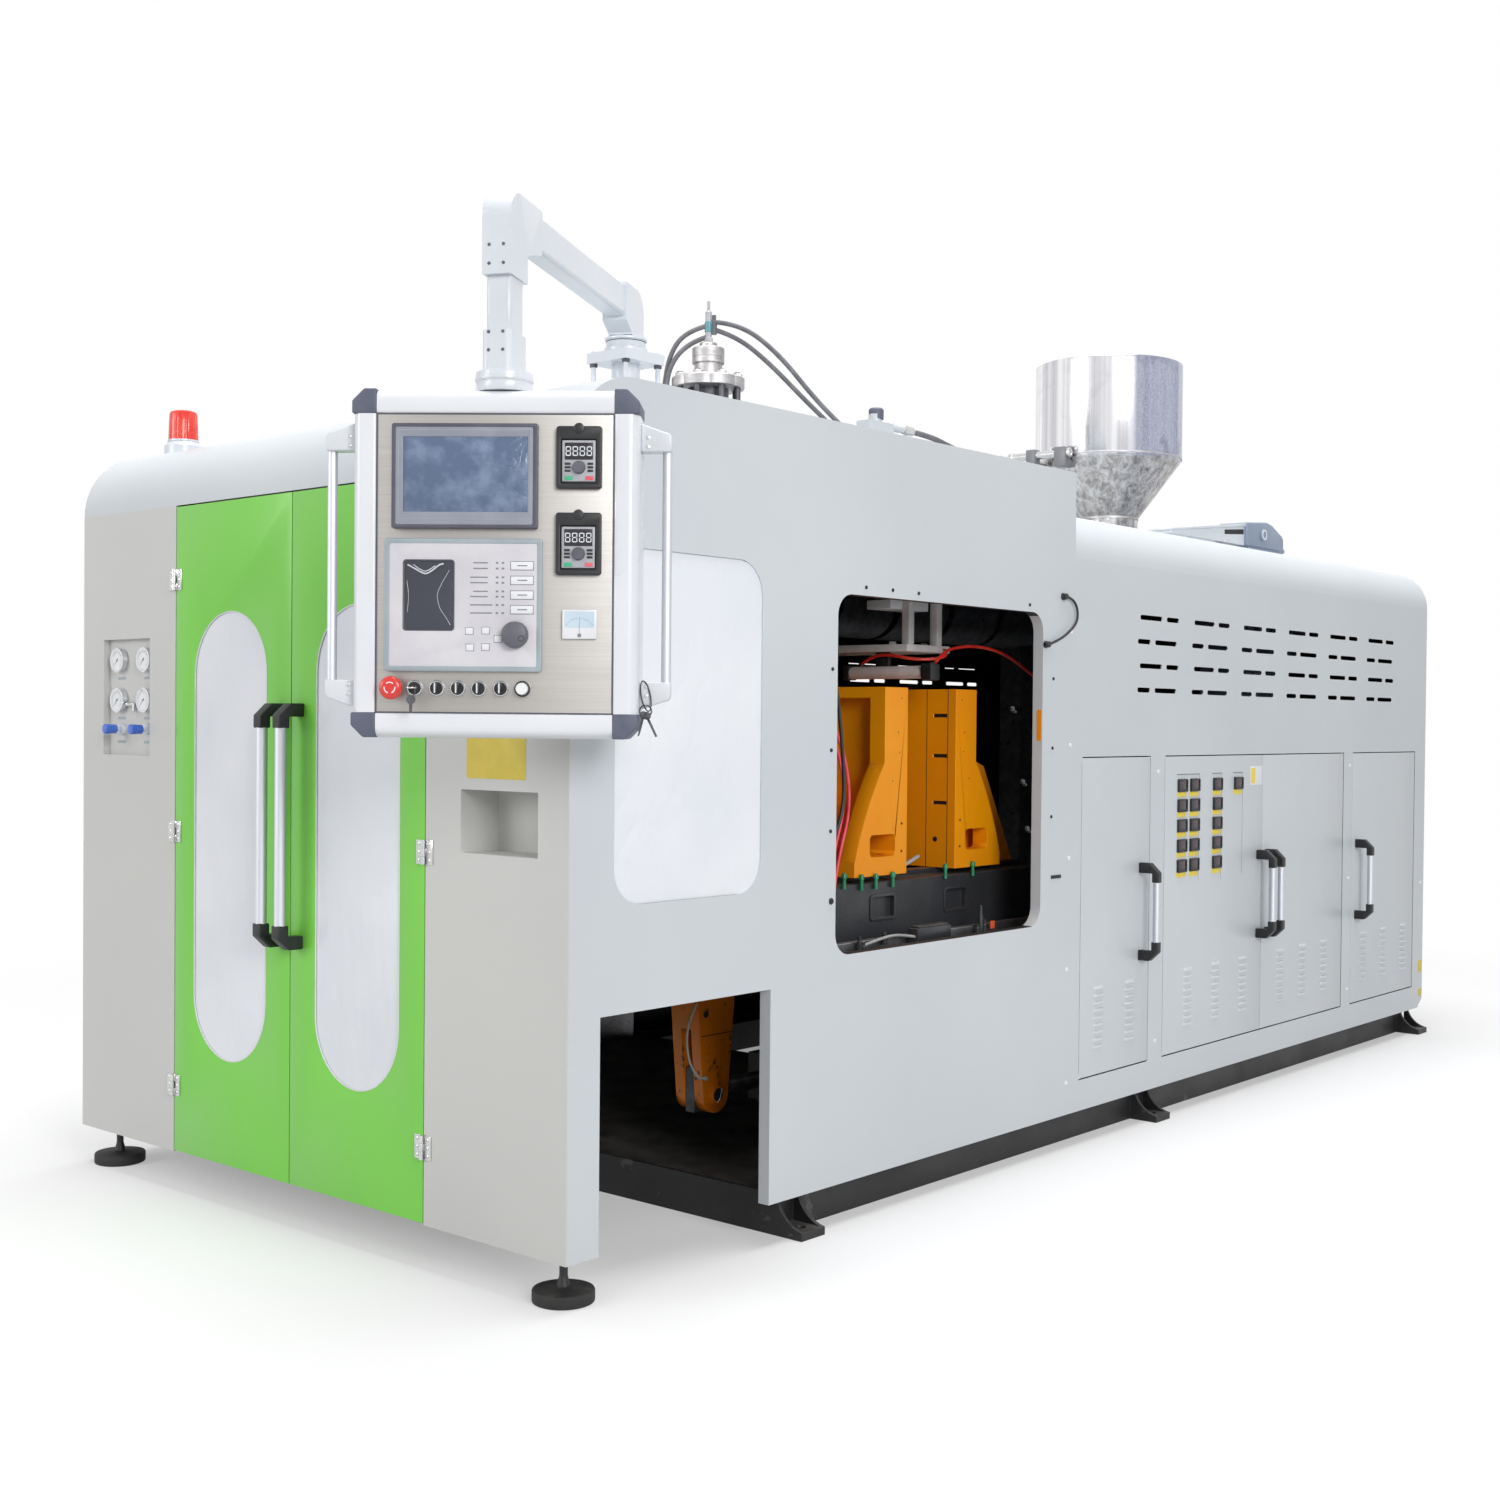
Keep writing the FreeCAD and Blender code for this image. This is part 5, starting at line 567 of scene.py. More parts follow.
    def plate(self, loops, thickness, place, bevel=0.8):
        """A sheet with holes: outlines in (u, v), the first one the edge, put down by place."""
        curve = bpy.data.curves.new("outline", "CURVE")
        curve.dimensions, curve.fill_mode = "2D", "BOTH"
        bevel = min(bevel, thickness * 0.45)
        curve.extrude, curve.bevel_depth = thickness / 2 - bevel, bevel
        curve.bevel_resolution, curve.offset = 1, -bevel
        for loop in loops:
            spline = curve.splines.new("POLY")
            spline.points.add(len(loop) - 1)
            for point, (u, v) in zip(spline.points, loop):
                point.co = (u, v, 0, 1)
            spline.use_cyclic_u = True
        holder = bpy.data.objects.new("outline", curve)
        bpy.context.collection.objects.link(holder)
        flat = bpy.data.meshes.new_from_object(holder)
        bpy.data.objects.remove(holder)
        bpy.data.curves.remove(curve)
        before = set(self.mesh.verts)
        self.mesh.from_mesh(flat)
        bpy.data.meshes.remove(flat)
        fresh = [v for v in self.mesh.verts if v not in before]
        for v in fresh:
            v.co = Vector(place(v.co.x, v.co.y, v.co.z + thickness / 2))
        bmesh.ops.remove_doubles(self.mesh, verts=fresh, dist=0.001)
        return self

    def written(self):
        """The mesh as a piece that rides on its site's body."""
        bmesh.ops.recalc_face_normals(self.mesh, faces=self.mesh.faces)
        self.mesh.transform(Matrix.Scale(MM, 4))
        data = bpy.data.meshes.new(self.name)
        self.mesh.to_mesh(data)
        self.mesh.free()
        data.shade_smooth()
        data.set_sharp_from_angle(angle=math.radians(self.sharp))
        return settle(bpy.data.objects.new(self.name, data), self.finish_name, *self.site)


def site(body="machine_body", node=None, axes=MACHINE):
    """Two makers of Forms on a body: of pieces that stand for the CAD node, and of details."""
    def part(name, finish_name, sharp=35.0):
        return Form(name, finish_name, (body, (node,), axes), sharp)

    def detail(name, finish_name, sharp=35.0):
        return Form(name, finish_name, (body, (), axes), sharp)
    return part, detail


extra = site()[1]             # makes a detail of the machine's fixed body


def obround(u, v, width, height, steps=24):
    """A window with half-round ends, as (u, v) points."""
    r, rise = width / 2, (height - width) / 2
    turns = [math.pi * i / steps for i in range(steps + 1)]
    return [(u + r * math.cos(a + half), v + way * rise + r * math.sin(a + half))
            for half, way in ((0, 1), (math.pi, -1)) for a in turns]


def rounded(u, v, radius, steps=6):
    """A rectangle with round corners, as (u, v) points."""
    points = []
    for cu, cv, start in ((u[1] - radius, v[1] - radius, 0), (u[0] + radius, v[1] - radius, 90),
                          (u[0] + radius, v[0] + radius, 180),
                          (u[1] - radius, v[0] + radius, 270)):
        for i in range(steps + 1):
            a = math.radians(start + 90 * i / steps)
            points.append((cu + radius * math.cos(a), cv + radius * math.sin(a)))
    return points


def inset(span, by):
    return span[0] + by, span[1] - by


def about(middle, half):
    return middle - half, middle + half


def hems(low, high):
    """The two folded edges of a door's pan."""
    return (low + 0.2, low + 3), (high - 3, high - 0.2)


def on_front(y):
    """Puts a plate's outline on a face that looks to -Y: (x, z), thickness backwards."""
    return lambda u, v, w: (u, y + w, v)


def on_side(x):
    """Puts a plate's outline on the right side: (station, z), thickness inwards."""
    return lambda u, v, w: (x - w, u, v)


# ---- Camera and hoses, which come first ----

def aim_camera():
    data = bpy.data.cameras.new("camera")
    data.lens, data.sensor_width, data.clip_end = 43.16, 36.0, 200.0
    camera = bpy.data.objects.new("camera", data)
    bpy.context.collection.objects.link(camera)
    camera.matrix_world = Matrix((
        (0.756486, -0.016546, 0.653801, 3.2122774),
        (0.65395, 0.005617, -0.756517, -4.6449578),
        (0.008845, 0.999847, 0.01507, 1.0774225),
        (0, 0, 0, 1)))
    bpy.context.scene.camera = camera


def run_hose(name, finish_name, diameter, points, stands_for):
    """A hose or cable from one fitting to another, on the route that the part's source gives."""
    curve = bpy.data.curves.new(name, "CURVE")
    curve.dimensions, curve.resolution_u = "3D", 24
    curve.bevel_depth, curve.bevel_resolution, curve.use_fill_caps = diameter / 2, 6, True
    spline = curve.splines.new("NURBS")
    spline.points.add(len(points) - 1)
    for point, place in zip(spline.points, points):
        point.co = (*place, 1.0)
    spline.order_u = 3
    spline.use_endpoint_u = True
    hose = settle(bpy.data.objects.new(name, curve), finish_name, "machine_body", (stands_for,))
    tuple(points[0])


HEAD_HOSES = (
    (0.651, ((-0.0812, -1.0081, 2.166), (-0.0216, -0.9685, 2.162), (0.0579, -0.8999, 2.087),
             (0.145, -0.8248, 1.947), (0.2207, -0.7594, 1.852), (0.2434, -0.7398, 1.718))),
    (0.610, ((-0.0812, -1.0081, 2.147), (-0.0394, -0.9601, 2.132), (0.0288, -0.9013, 2.062),
             (0.1158, -0.8262, 1.945), (0.1877, -0.7641, 1.856), (0.2104, -0.7445, 1.718))),
    (0.489, ((-0.0948, -1.0199, 2.154), (-0.1364, -1.0558, 2.138), (-0.1682, -1.0833, 2.076),
             (-0.1796, -1.0931, 1.979), (-0.1841, -1.097, 1.864), (-0.194, -1.1055, 1.789),
             (-0.1985, -1.1094, 1.718))),
    (0.456, ((-0.0926, -1.0193, 2.124), (-0.1252, -1.0566, 2.106), (-0.1544, -1.0977, 2.043),
             (-0.162, -1.1043, 1.96), (-0.1635, -1.1056, 1.865), (-0.1703, -1.1115, 1.79),
             (-0.1733, -1.1141, 1.718))),
)
ROOF_HOSE = ((0.78, -1.2711, 1.749), (0.78, -1.2035, 1.748), (0.776, -1.1235, 1.737),
             (0.764, -1.0435, 1.729), (0.75, -0.9565, 1.728), (0.742, -0.8695, 1.731))
GUARD_CABLE = ((0.857, -0.7087, 1.401), (0.859, -0.6795, 1.397), (0.861, -0.6605, 1.369),
               (0.862, -0.6665, 1.336), (0.861, -0.7175, 1.304), (0.859, -0.7555, 1.289),
               (0.857, -0.7892, 1.279))
AIR_HOSES = (
    (0.646, ((0.664, -1.0025, 1.2296), (0.662, -0.9745, 1.25), (0.648, -0.9125, 1.269),
             (0.646, -0.7965, 1.28), (0.662, -0.6825, 1.263), (0.695, -0.5905, 1.203),
             (0.752, -0.5235, 1.13), (0.8467, -0.5235, 1.13))),
    (0.322, ((0.446, -1.0165, 1.2256), (0.474, -1.0195, 1.246), (0.536, -1.0225, 1.252),
             (0.6, -1.0085, 1.238), (0.64, -0.9625, 1.24), (0.636, -0.9065, 1.252),
             (0.6032, -0.8755, 1.2665))),
)
HEATER_CABLES = (
    (0.772, ((0.8462, -1.6705, 1.19), (0.778, -1.6625, 1.186), (0.738, -1.5985, 1.14),
             (0.732, -1.5135, 1.085), (0.731, -1.4585, 0.99), (0.731, -1.4465, 0.885),
             (0.729, -1.4835, 0.785), (0.727, -1.5035, 0.685), (0.726, -1.5005, 0.5845))),
    (0.761, ((0.8462, -1.6605, 1.19), (0.786, -1.6525, 1.182), (0.746, -1.5885, 1.136),
             (0.74, -1.5035, 1.081), (0.739, -1.4485, 0.986), (0.739, -1.4365, 0.881),
             (0.737, -1.4735, 0.781), (0.735, -1.4935, 0.681), (0.734, -1.4905, 0.5845))),
    (0.778, ((0.8462, -1.6505, 1.19), (0.776, -1.6425, 1.191), (0.736, -1.5785, 1.145),
             (0.73, -1.4935, 1.09), (0.729, -1.4385, 0.995), (0.729, -1.4265, 0.89),
             (0.727, -1.4635, 0.79), (0.725, -1.4835, 0.69), (0.724, -1.4805, 0.5845))),
)


def run_hoses():
    roof, window = "roof_hoses", "window_cables"
    for i, (length, points) in enumerate(HEAD_HOSES, 1):
        run_hose(f"head_hose_{i}", "hose_black", 0.013, points, roof)
    run_hose("roof_hose", "hose_black", 0.013, ROOF_HOSE, roof)
    run_hose("guard_cable", "cable_black", 0.0065, GUARD_CABLE,
             window)
    for i, (length, points) in enumerate(AIR_HOSES, 1):
        run_hose(f"air_hose_{i}", "hose_red", 0.008, points, window)
    for i, (length, points) in enumerate(HEATER_CABLES, 1):
        run_hose(f"heater_cable_{i}", "strand_red", 0.007, points,
                 window)


# ---- The CAD's own pieces ----

OWN_FINISH = {
    "front_pillar_left": "pillar_grey", "front_pillar_right": "pillar_grey",
    "extruder_barrel": "dark_steel", "clamp_lever": "lever_orange",
    "cylinder_rod": "dark_steel", "side_pane": "side_film",
}
EDGE_BREAK = {                # millimetres taken off the sharp edges
    "base_frame": 1.6, "arm_pedestal": 2.0, "suspension_arm": 5.0,
    "carriage": 2.5, "clamp_cylinder": 1.5, "platen_front": 4.0, "platen_rear": 4.0,
    "clamp_lever": 4.0, "gearbox": 4.0, "drive_motor": 2.5, "shuttle_guides": 2.0,
    "panel_housing": 1.5, "cylinder_rod": 1.0, "side_pane": 0.8, "door_left_pane": 0.8,
    "door_right_pane": 0.8,
}


def finish_own_pieces():
    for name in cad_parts:
        piece = bpy.data.objects[name]
        if piece.type != "MESH":
            continue
        slot = piece.data.materials[0].name.split(".")[0]
        dress(piece, OWN_FINISH.get(name, slot))
        if name in EDGE_BREAK:
            weld = piece.modifiers.new("weld", "WELD")
            weld.merge_threshold = 0.00002
            edges = piece.modifiers.new("broken edges", "BEVEL")
            edges.width, edges.segments = EDGE_BREAK[name] * MM, 2
            edges.limit_method, edges.angle_limit = "ANGLE", math.radians(40)
            edges.use_clamp_overlap, edges.harden_normals = True, True


# ---- Front doors ----

PANE_X, PANE_Z = 227.5, 817.5
FRONT_HINGES = (1390.0, 820.0, 243.0)
HINGE_X, HINGE_Y = 445.0, -5.3
FRONT_GRIP, SIDE_GRIP = (595.0, 1110.0), (449.0, 712.0)    # feet of the pull handles


def hinge_leaf(form, hinge, way):
    """A screwed leaf at each hinge of a front door; yields the feet of the hinges."""
    for middle in FRONT_HINGES:
        low = middle - 24.0
        form.block(sorted((hinge + way * 5, hinge + way * 25)), (-2.5, 0.0), (low, low + 48), 0.7)
        for dz in (-16, 0, 16):
            form.lathe([(3.4, 0), (3.2, 0.8), (2.0, 1.5), (0, 1.7)],
                       (hinge + way * 16, -2.5, middle + dz), FORWARD, 16)
        yield low


def pull_handle(part, name, foot_span, tube, place, across, centre):
    """A pull tube held off a door by two moulded arms."""
    out, width, socket = 49.0 + tube, tube * 2, 52.0
    ends = part(f"{name}_handle_ends", "black_plastic")
    for foot, up in ((foot_span[1], -1), (foot_span[0], 1)):
        outline = [(0, 0), (out * 0.55, 0), (out, up * 25.2), (out, up * socket),
                   (out - width, up * socket), (out - width, up * 28), (0, up * 28)]
        ends.prism([place(a, foot + b) for a, b in outline], [c * width for c in across], 2.6, 3)
    low, high = inset(foot_span, 50.0)
    part(f"{name}_handle_tube", "aluminium").lathe(turned(tube - 0.8, high - low),
                                                   (*centre, low), UP, 40)


def front_door(side):
    """A folded pan round its window, with hinge leaves and a pull handle."""
    body = "door_left" if side < 0 else "door_right"
    part, _ = site(body, body)
    x, z = sorted((side * 443.5, side * 1.5)), (93.0, 1555.0)
    pan = part(f"{body}_pan", "door_green").plate(
        [rounded(x, z, 1.5), obround(side * PANE_X, PANE_Z, 277.0, 989.0)], 3.0,
        on_front(0), 0.7)
    for span_x in hems(*x):
        pan.block(span_x, (2.0, 25), inset(z, 0.2), 0.5)
    for span_z in hems(*z):
        pan.block(inset(x, 0.3), (2.0, 24.8), span_z, 0.5)
    part(f"{body}_window_lip", "white_moulding").plate(
        [obround(side * PANE_X, PANE_Z, width, width + 712.0) for width in (278.5, 273.5)],
        2.6, on_front(-0.6), 0.8)

    leaves = part(f"{body}_hinge_leaves", "bright_zinc")
    hinge = side * HINGE_X
    for low in hinge_leaf(leaves, hinge, -side):
        for foot in (low, low + 32):
            leaves.lathe([(2.9, 0), (4.6, 0), (5, 0.5), (5, 15.5), (4.6, 16), (2.9, 16), (2.9, 0)],
                         (hinge, HINGE_Y, foot), UP, 24)
            leaves.block(sorted((hinge - side * 2.5, hinge - side * 7)), (-3.4, -1.0),
                         (foot, foot + 16), 0.4)
    edge = side * 34.0 - 13.0
    pull_handle(part, body, FRONT_GRIP, 13.0, lambda a, b: (edge, -a, b), RIGHT,
                (side * 34.0, -49.0))


def fixed_hinges():
    leaves = site(node="hinge_leaves")[0]("pillar_hinge_leaves", "bright_zinc")
    for side in (-1, 1):
        hinge = side * HINGE_X
        for low in hinge_leaf(leaves, hinge, side):
            leaves.block(sorted((hinge, hinge + side * 6)), (-2.5, -1.0),
                         (low + 16.4, low + 31.6), 0.3)
            leaves.rod((hinge, HINGE_Y, low + 16.3), (hinge, HINGE_Y, low + 31.7), 5.0, 0.5, 24)
            leaves.rod((hinge, HINGE_Y, low), (hinge, HINGE_Y, low + 48), 2.5, 0.4, 16)


# ---- Side doors and their controllers ----

SIDE_DOORS = {      # front edge, rear edge, pivot's edge, handle's station, louvre columns
    "side_door_a": (1797.5, 2155.0, "front", 2107.0, (1892.0, 2055.0)),
    "side_door_b1": (2240.0, 2849.5, "front", 2822.0, (2385.0, 2556.0, 2730.0)),
    "side_door_b2": (2852.5, 3448.0, "rear", 2880.0, (2987.0, 3150.0, 3310.0)),
    "side_door_c": (3527.0, 4065.0, "rear", 3560.0, (3628.0, 3800.0, 3975.0)),
}


def louvre(form, station, foot):
    """One pressed hood, open below, with sloped ends."""
    form.skin([[(SIDE - 0.2 + out * k, station + s, foot + up)
                for out, up in ((0, 9), (2.4, 8.2), (4.2, 5.6), (5.1, 2.6), (5.2, 0), (0, 0))]
               for s, k in ((-25, 0.0), (-21, 0.8), (-15, 1.0), (15, 1.0), (21, 0.8), (25, 0.0))],
              closed=False)


def side_door(name, front, rear, hung_at, grip, columns):
    part, _ = site(name, name)
    span, z = (front, rear), (172.0, 995.0)
    pan = part(f"{name}_pan", "sheet_grey", 50).plate([rounded(span, z, 1.5)], 3.0,
                                                      on_side(SIDE), 0.8)
    for edge in hems(*span):
        pan.block((SIDE - 18, SIDE - 2), edge, inset(z, 0.2), 0.5)
    for edge in hems(*z):
        pan.block((SIDE - 18, SIDE - 2), inset(span, 0.3), edge, 0.5)
    for column in columns:
        for i in range(9):
            louvre(pan, column, 240.0 + 19.0 * i)
    lugs = part(f"{name}_pivot_eyes", "bright_zinc")
    for low in (z[0], z[1] - 12):
        lugs.lathe([(3.4, 0), (6, 0), (6, 12), (3.4, 12), (3.4, 0)],
                   (SIDE - 6, front + 3 if hung_at == "front" else rear - 3, low), UP, 20)
    pull_handle(part, name, SIDE_GRIP, 10.0, lambda a, b: (SIDE + a, grip - 10.0, b), (0, 1, 0),
                (SIDE + 49.0, grip))


CONTROLLERS = [(station, 932.0 - 56.0 * row) for station, rows in
               ((2337.0, 5), (2411.0, 5), (2551.0, 5), (2684.0, 1)) for row in range(rows)]


def temperature_controllers():
    """Panel units: a black frame, a recessed dark face, keys, and a plain tag below each."""
    part, detail = site("side_door_b1", "temperature_controllers")
    frames, faces, digits, keys = (part(f"controller_{name}", look) for name, look in (
        ("frames", "black_plastic"), ("faces", "unit_face"), ("digits", "dim_digits"),
        ("keys", "unit_face")))
    tags = detail("controller_tags", "tag_yellow")
    for station, top in CONTROLLERS:
        u, v = about(station, 26.0), (top - 36.0, top)
        frames.plate([rounded(u, v, 2.5, 3),
                      rounded(inset(u, 4), inset(v, 4), 1.5, 2)],
                     7.0, on_side(SIDE + 7.0), 0.9)
        faces.block((SIDE, SIDE + 5.2), inset(u, 3.5), inset(v, 3.5), 0.4)
        for row, size in ((top - 11.0, 6.5), (top - 19.5, 4.5)):
            for digit in range(4):
                digits.block((SIDE + 5.1, SIDE + 5.4),
                             about(station - 12.0 + digit * 8.0, size * 0.32),
                             about(row, size / 2), 0.1, 1)
        for key in range(4):
            keys.block((SIDE + 5.0, SIDE + 6.2), about(station - 15.0 + key * 10.0, 3.4),
                       (v[0] + 6.0, v[0] + 9.0), 0.5)
        tags.plate([rounded(inset(u, -1), (v[0] - 14.0, v[0] - 0.2), 1, 2)],
                   0.8, on_side(SIDE + 0.8), 0.15)
    lines = detail("controller_column_lines", "knob_grey")
    for u, foot in (((2306.0, 2442.0), 645.0), ((2520.0, 2581.0), 640.0),
                    ((2653.0, 2716.0), 650.0)):
        lines.block((SIDE, SIDE + 1.0), u, (943.8, 945.6), 0.2, 1)
        lines.block((SIDE, SIDE + 0.4), (u[1] - 0.7, u[1]), (foot, 944.5), 0.1, 1)


# ---- Front pillars: gauges, regulators, feet ----

GAUGE_X, DIAL_Y = (-703.0, -588.0), 2.4
REGULATOR_Z = 1050


def pressure_gauges():
    """Glycerine gauges: a polished case, and a white dial with its ticks and pointer."""
    part, detail = site(node="pressure_gauges")
    cases, dials = part("gauge_cases", "chrome"), part("gauge_dials", "gauge_face")
    marks = part("gauge_marks", "legend_grey")
    for x in GAUGE_X:
        for z in (1118.0, 1212.0):
            cases.lathe([(0, 0), (26, 0), (28, 2), (28, 10), (29, 11), (29, 15), (27.6, 16),
                         (24.6, 16), (23, 14.4), (23, 13)], (x, 16, z), FORWARD, 56)
            dials.lathe([(0, 13.2), (23.2, 13.0)], (x, 16, z), FORWARD, 40)
            for i in range(31):
                a = math.radians(225 - 9.0 * i)
                u, v = math.cos(a), math.sin(a)
                inner = 20.5 - (4.0 if i % 5 == 0 else 2.2)
                marks.face([(x + u * r + side * v, 2.6, z + v * r - side * u) for r, side in
                            ((inner, -0.35), (inner, 0.35), (20.5, 0.35), (20.5, -0.35))])
            u = v = -math.sqrt(0.5)
            marks.prism([(x + u * 16, DIAL_Y, z + v * 16),
                         (x - u * 5 + v * 1.2, DIAL_Y, z - v * 5 - u * 1.2),
                         (x - u * 5 - v * 1.2, DIAL_Y, z - v * 5 + u * 1.2)], (0, -0.5, 0))
            marks.lathe([(2.2, 0), (2.0, 1.2), (0, 1.4)], (x, DIAL_Y, z), FORWARD, 16)
    stems = detail("gauge_fittings", "bright_zinc")
    stems.rod((-672, 9, 1108), (-640, 9, 1108), 4, 0.6, 16)
    stems.rod((-640, 9, 1111), (-640, 9, 1092), 4, 0.6, 16)
    stems.rod((-652, 9, 1050), (-636, 9, 1046), 2.5, 0.6, 16)
    seat = detail("gauge_plates", "frame_grey")
    for z in (1170.0, 1076.0, 1020.0):
        for x in GAUGE_X:
            seat.block(about(x, 17), (15.4, 16.1), about(z, 3), 0.2, 1)


def regulator(x, body):
    """A ribbed grip that flares towards the hand, on its stem."""
    part, _ = site(body, body)
    rings = []
    for out, radius in ((0, 9.0), (1.6, 10.6), (10, 10.8), (20, 11.4), (27, 12.0), (29.2, 11.6),
                        (30, 9.0)):
        ribs = 0.6 if 3 < out < 29 else 0.0
        rings.append([(u, -4 - out, v) for u, v in
                      ring(72, lambda i: radius - ribs * (i % 4 < 2), x, REGULATOR_Z)])
    part(f"{body}_grip", "blue_plastic", 28).skin(rings, ends=True)
    part(f"{body}_stem", "light_enamel").lathe(
        [(0, 0), (13.8, 0), (13.8, 7), (12.5, 9.6), (6, 10), (5, 10.5), (5, 21), (0, 21)],
        (x, 15.6, REGULATOR_Z), FORWARD, 36)


def levelling_feet():
    part, _ = site(node="levelling_feet")
    pads, stems = part("foot_pads", "foot_rubber"), part("foot_stems", "cable_black")
    for x in (-781.0, 781.0):
        pads.lathe([(0, 0), (55, 0), (58, 1.5), (59, 4), (59, 21), (57.5, 24), (53, 25),
                    (18, 27.5), (15, 29), (0, 29)], (x, 60, 0), segments=64)
        stems.lathe([(0, 28), (13, 28), (12, 34), (8.4, 46), (8, 50), (8, 149), (0, 149)],
                    (x, 60, 0), segments=32)
        for i in range(16):
            stems.lathe([(7.9, 0), (8.5, 1.0), (7.9, 2.0)], (x, 60, 74 + i * 4.0), segments=24)


# ---- Roof ----

BEACON = (-742, 200)
HEAD = (-88.0, 1394.5)
HOPPER = (-88.0, 3553.0)


def beacon():
    """A turning-light lens with upright ribs, on its moulded base."""
    rings = []
    for z, radius in ((1754, 35.5), (1756, 35.5), (1792, 34.4), (1822, 33.0), (1827, 30.5),
                      (1830, 24.5)):
        ribs = 0.9 if 1755 < z < 1825 else 0.0
        rings.append([(u, v, z) for u, v in
                      ring(96, lambda i: radius - ribs * (i % 4 < 2), *BEACON)])
    site(node="beacon_lens")[0]("beacon_dome", "beacon_red", 28).skin(rings, ends=True)
    extra("beacon_band", "light_enamel").lathe(
        [(35.6, 0), (37.4, 0.4), (37.4, 4.6), (35.6, 5)], (*BEACON, 1753.5))


def die_head():
    """Head body, scalloped tie flange on its columns, cap, and the stroke sensor over it."""
    part, detail = site(node="die_head")
    part("head_body", "dark_steel").lathe(
        [(0, 1236), (34, 1236), (46, 1296), (78, 1326), (78, 1748), (56, 1748), (56, 1984),
         (0, 1984)], (*HEAD, 0), segments=72).rod(
        (HEAD[0], HEAD[1] + 70, 1440), (HEAD[0], HEAD[1] + 138, 1440), 70, 2, 48)

    def scalloped(inset_by):
        return lambda i: 96.5 + 4.5 * abs(math.sin(4 * math.tau * i / 160)) ** 0.6 - inset_by

    part("head_flange", "light_steel").skin(
        [[(u, v, z) for u, v in ring(160, scalloped(inset_by), *HEAD)]
         for z, inset_by in ((1983, 3.0), (1985, 0.0), (2009, 0.0), (2012, 3.0))], ends=True)

    columns, nuts = part("head_columns", "dark_steel"), part("head_nuts", "light_steel")
    for i in range(8):
        a = math.radians(22.5 + 45 * i)
        x, y = HEAD[0] + 84 * math.cos(a), HEAD[1] + 84 * math.sin(a)
        columns.rod((x, y, 1688), (x, y, 2024), 9, 1.2, 24)
        columns.nut((x, y, 1720), UP, 26, 14)
        nuts.nut((x, y, 2012), UP, 24, 9)

    part("head_cap", "light_steel").lathe(
        [(38, 2012), (38, 2051), (42, 2051), (44, 2053), (44, 2066), (43, 2067), (43, 2069),
         (44, 2070), (44, 2092), (42, 2094), (0, 2094)], (*HEAD, 0))
    part("head_disc", "light_steel").lathe(
        [(24, 2094), (24, 2106), (22.5, 2108), (12, 2108), (9, 2112), (0, 2112)], (*HEAD, 0))
    part("sensor_body", "silver_sheet").lathe(
        [(9, 2110), (9, 2192), (7, 2194), (4, 2198), (4, 2220), (3, 2222), (0, 2222)],
        (*HEAD, 0), segments=32).nut((*HEAD, 2112), UP, 22, 12)
    detail("sensor_coupling", "knob_grey").lathe(
        [(0, 0), (8, 0), (8, 30), (5.5, 34), (5.5, 52), (0, 52)],
        (HEAD[0] + 12, HEAD[1] + 9, 2132), UP, 28)
    detail("sensor_fitting", "fitting_teal").lathe(
        [(9.2, 0), (10.6, 0.6), (10.6, 27), (9.2, 28)], (*HEAD, 2138), segments=32)


def hopper():
    """Polished hopper with a rolled rim and its cone, and the bar that it tips on."""
    part, detail = site(node="hopper")
    part("hopper_shell", "polished_steel", 50).lathe(
        [(105, 1700), (108, 1700), (108, 1824), (109, 1826), (260, 2031), (262, 2036),
         (262, 2364), (261.6, 2371), (259.5, 2373), (257.6, 2371), (258.8, 2364), (258.8, 2037),
         (105.5, 1828), (105, 1700)], (*HOPPER, 0), segments=128)
    seams = detail("hopper_seams", "light_steel")
    for profile, segments in (([(262, 2033), (262.8, 2034.5), (262.8, 2037.5), (262, 2039)], 128),
                              ([(108, 1820), (111, 1821), (111, 1829), (110, 1831)], 96),
                              ([(108, 1700), (128, 1700), (128, 1710), (108, 1710)], 96)):
        seams.lathe(profile, (*HOPPER, 0), segments=segments)
    y, z = 3262, 2034
    bar = part("hopper_bar", "bright_zinc").rod((-313, y, z), (-78, y, z), 14, 2.0, 36)
    bar.rod((-322, y, z), (-300, y, z), 17, 4.0, 36)
    bar.lathe([(9, 0), (17, 0), (17, 7), (15, 9), (9, 9), (8, 7), (0, 7)], (-79, y, z),
              RIGHT, 36)
    blocks = part("hopper_hinge_blocks", "hinge_grey")
    for x in ((-242, -204), (-127, -80)):
        blocks.block(x, (3244, 3280), (1986, 2055), 3.0)
        blocks.block(inset(x, 6), (3270, 3340), (1990, 2012), 2.0)


def roof_fittings():
    """Caps and crimps of the hydraulic ports, and the pedestal's bolt ends."""
    crimps = extra("port_crimps", "bright_zinc")
    crimps.lathe([(0, 0), (12, 0), (12, 14), (10.5, 16), (10.5, 34), (8.4, 40), (6.6, 42)],
                 (780, 1100, 1749), (0, 1, 0), 32)
    crimps.lathe([(0, 0), (11, 0), (11, 12), (9.5, 14), (9.5, 24), (6.6, 28)],
                 (742, 1568, 1731), FORWARD, 32)
    extra("port_cap", "cap_slate").lathe(
        [(0, 0), (15, 0), (17, 2), (17, 22), (14, 26), (0, 26)], (780, 1000, 1758), UP, 36)
    tips = extra("pedestal_nuts", "dark_steel")
    for x in about(SWIVEL[0], 48):
        for y in about(SWIVEL[1], 48):
            tips.nut((x, y, 1834), (0, 0, -1), 15, 7)
            tips.rod((x, y, 1828), (x, y, 1808), 5.0, 0.8, 16)
            tips.nut((x, y, 1728), UP, 17, 9)


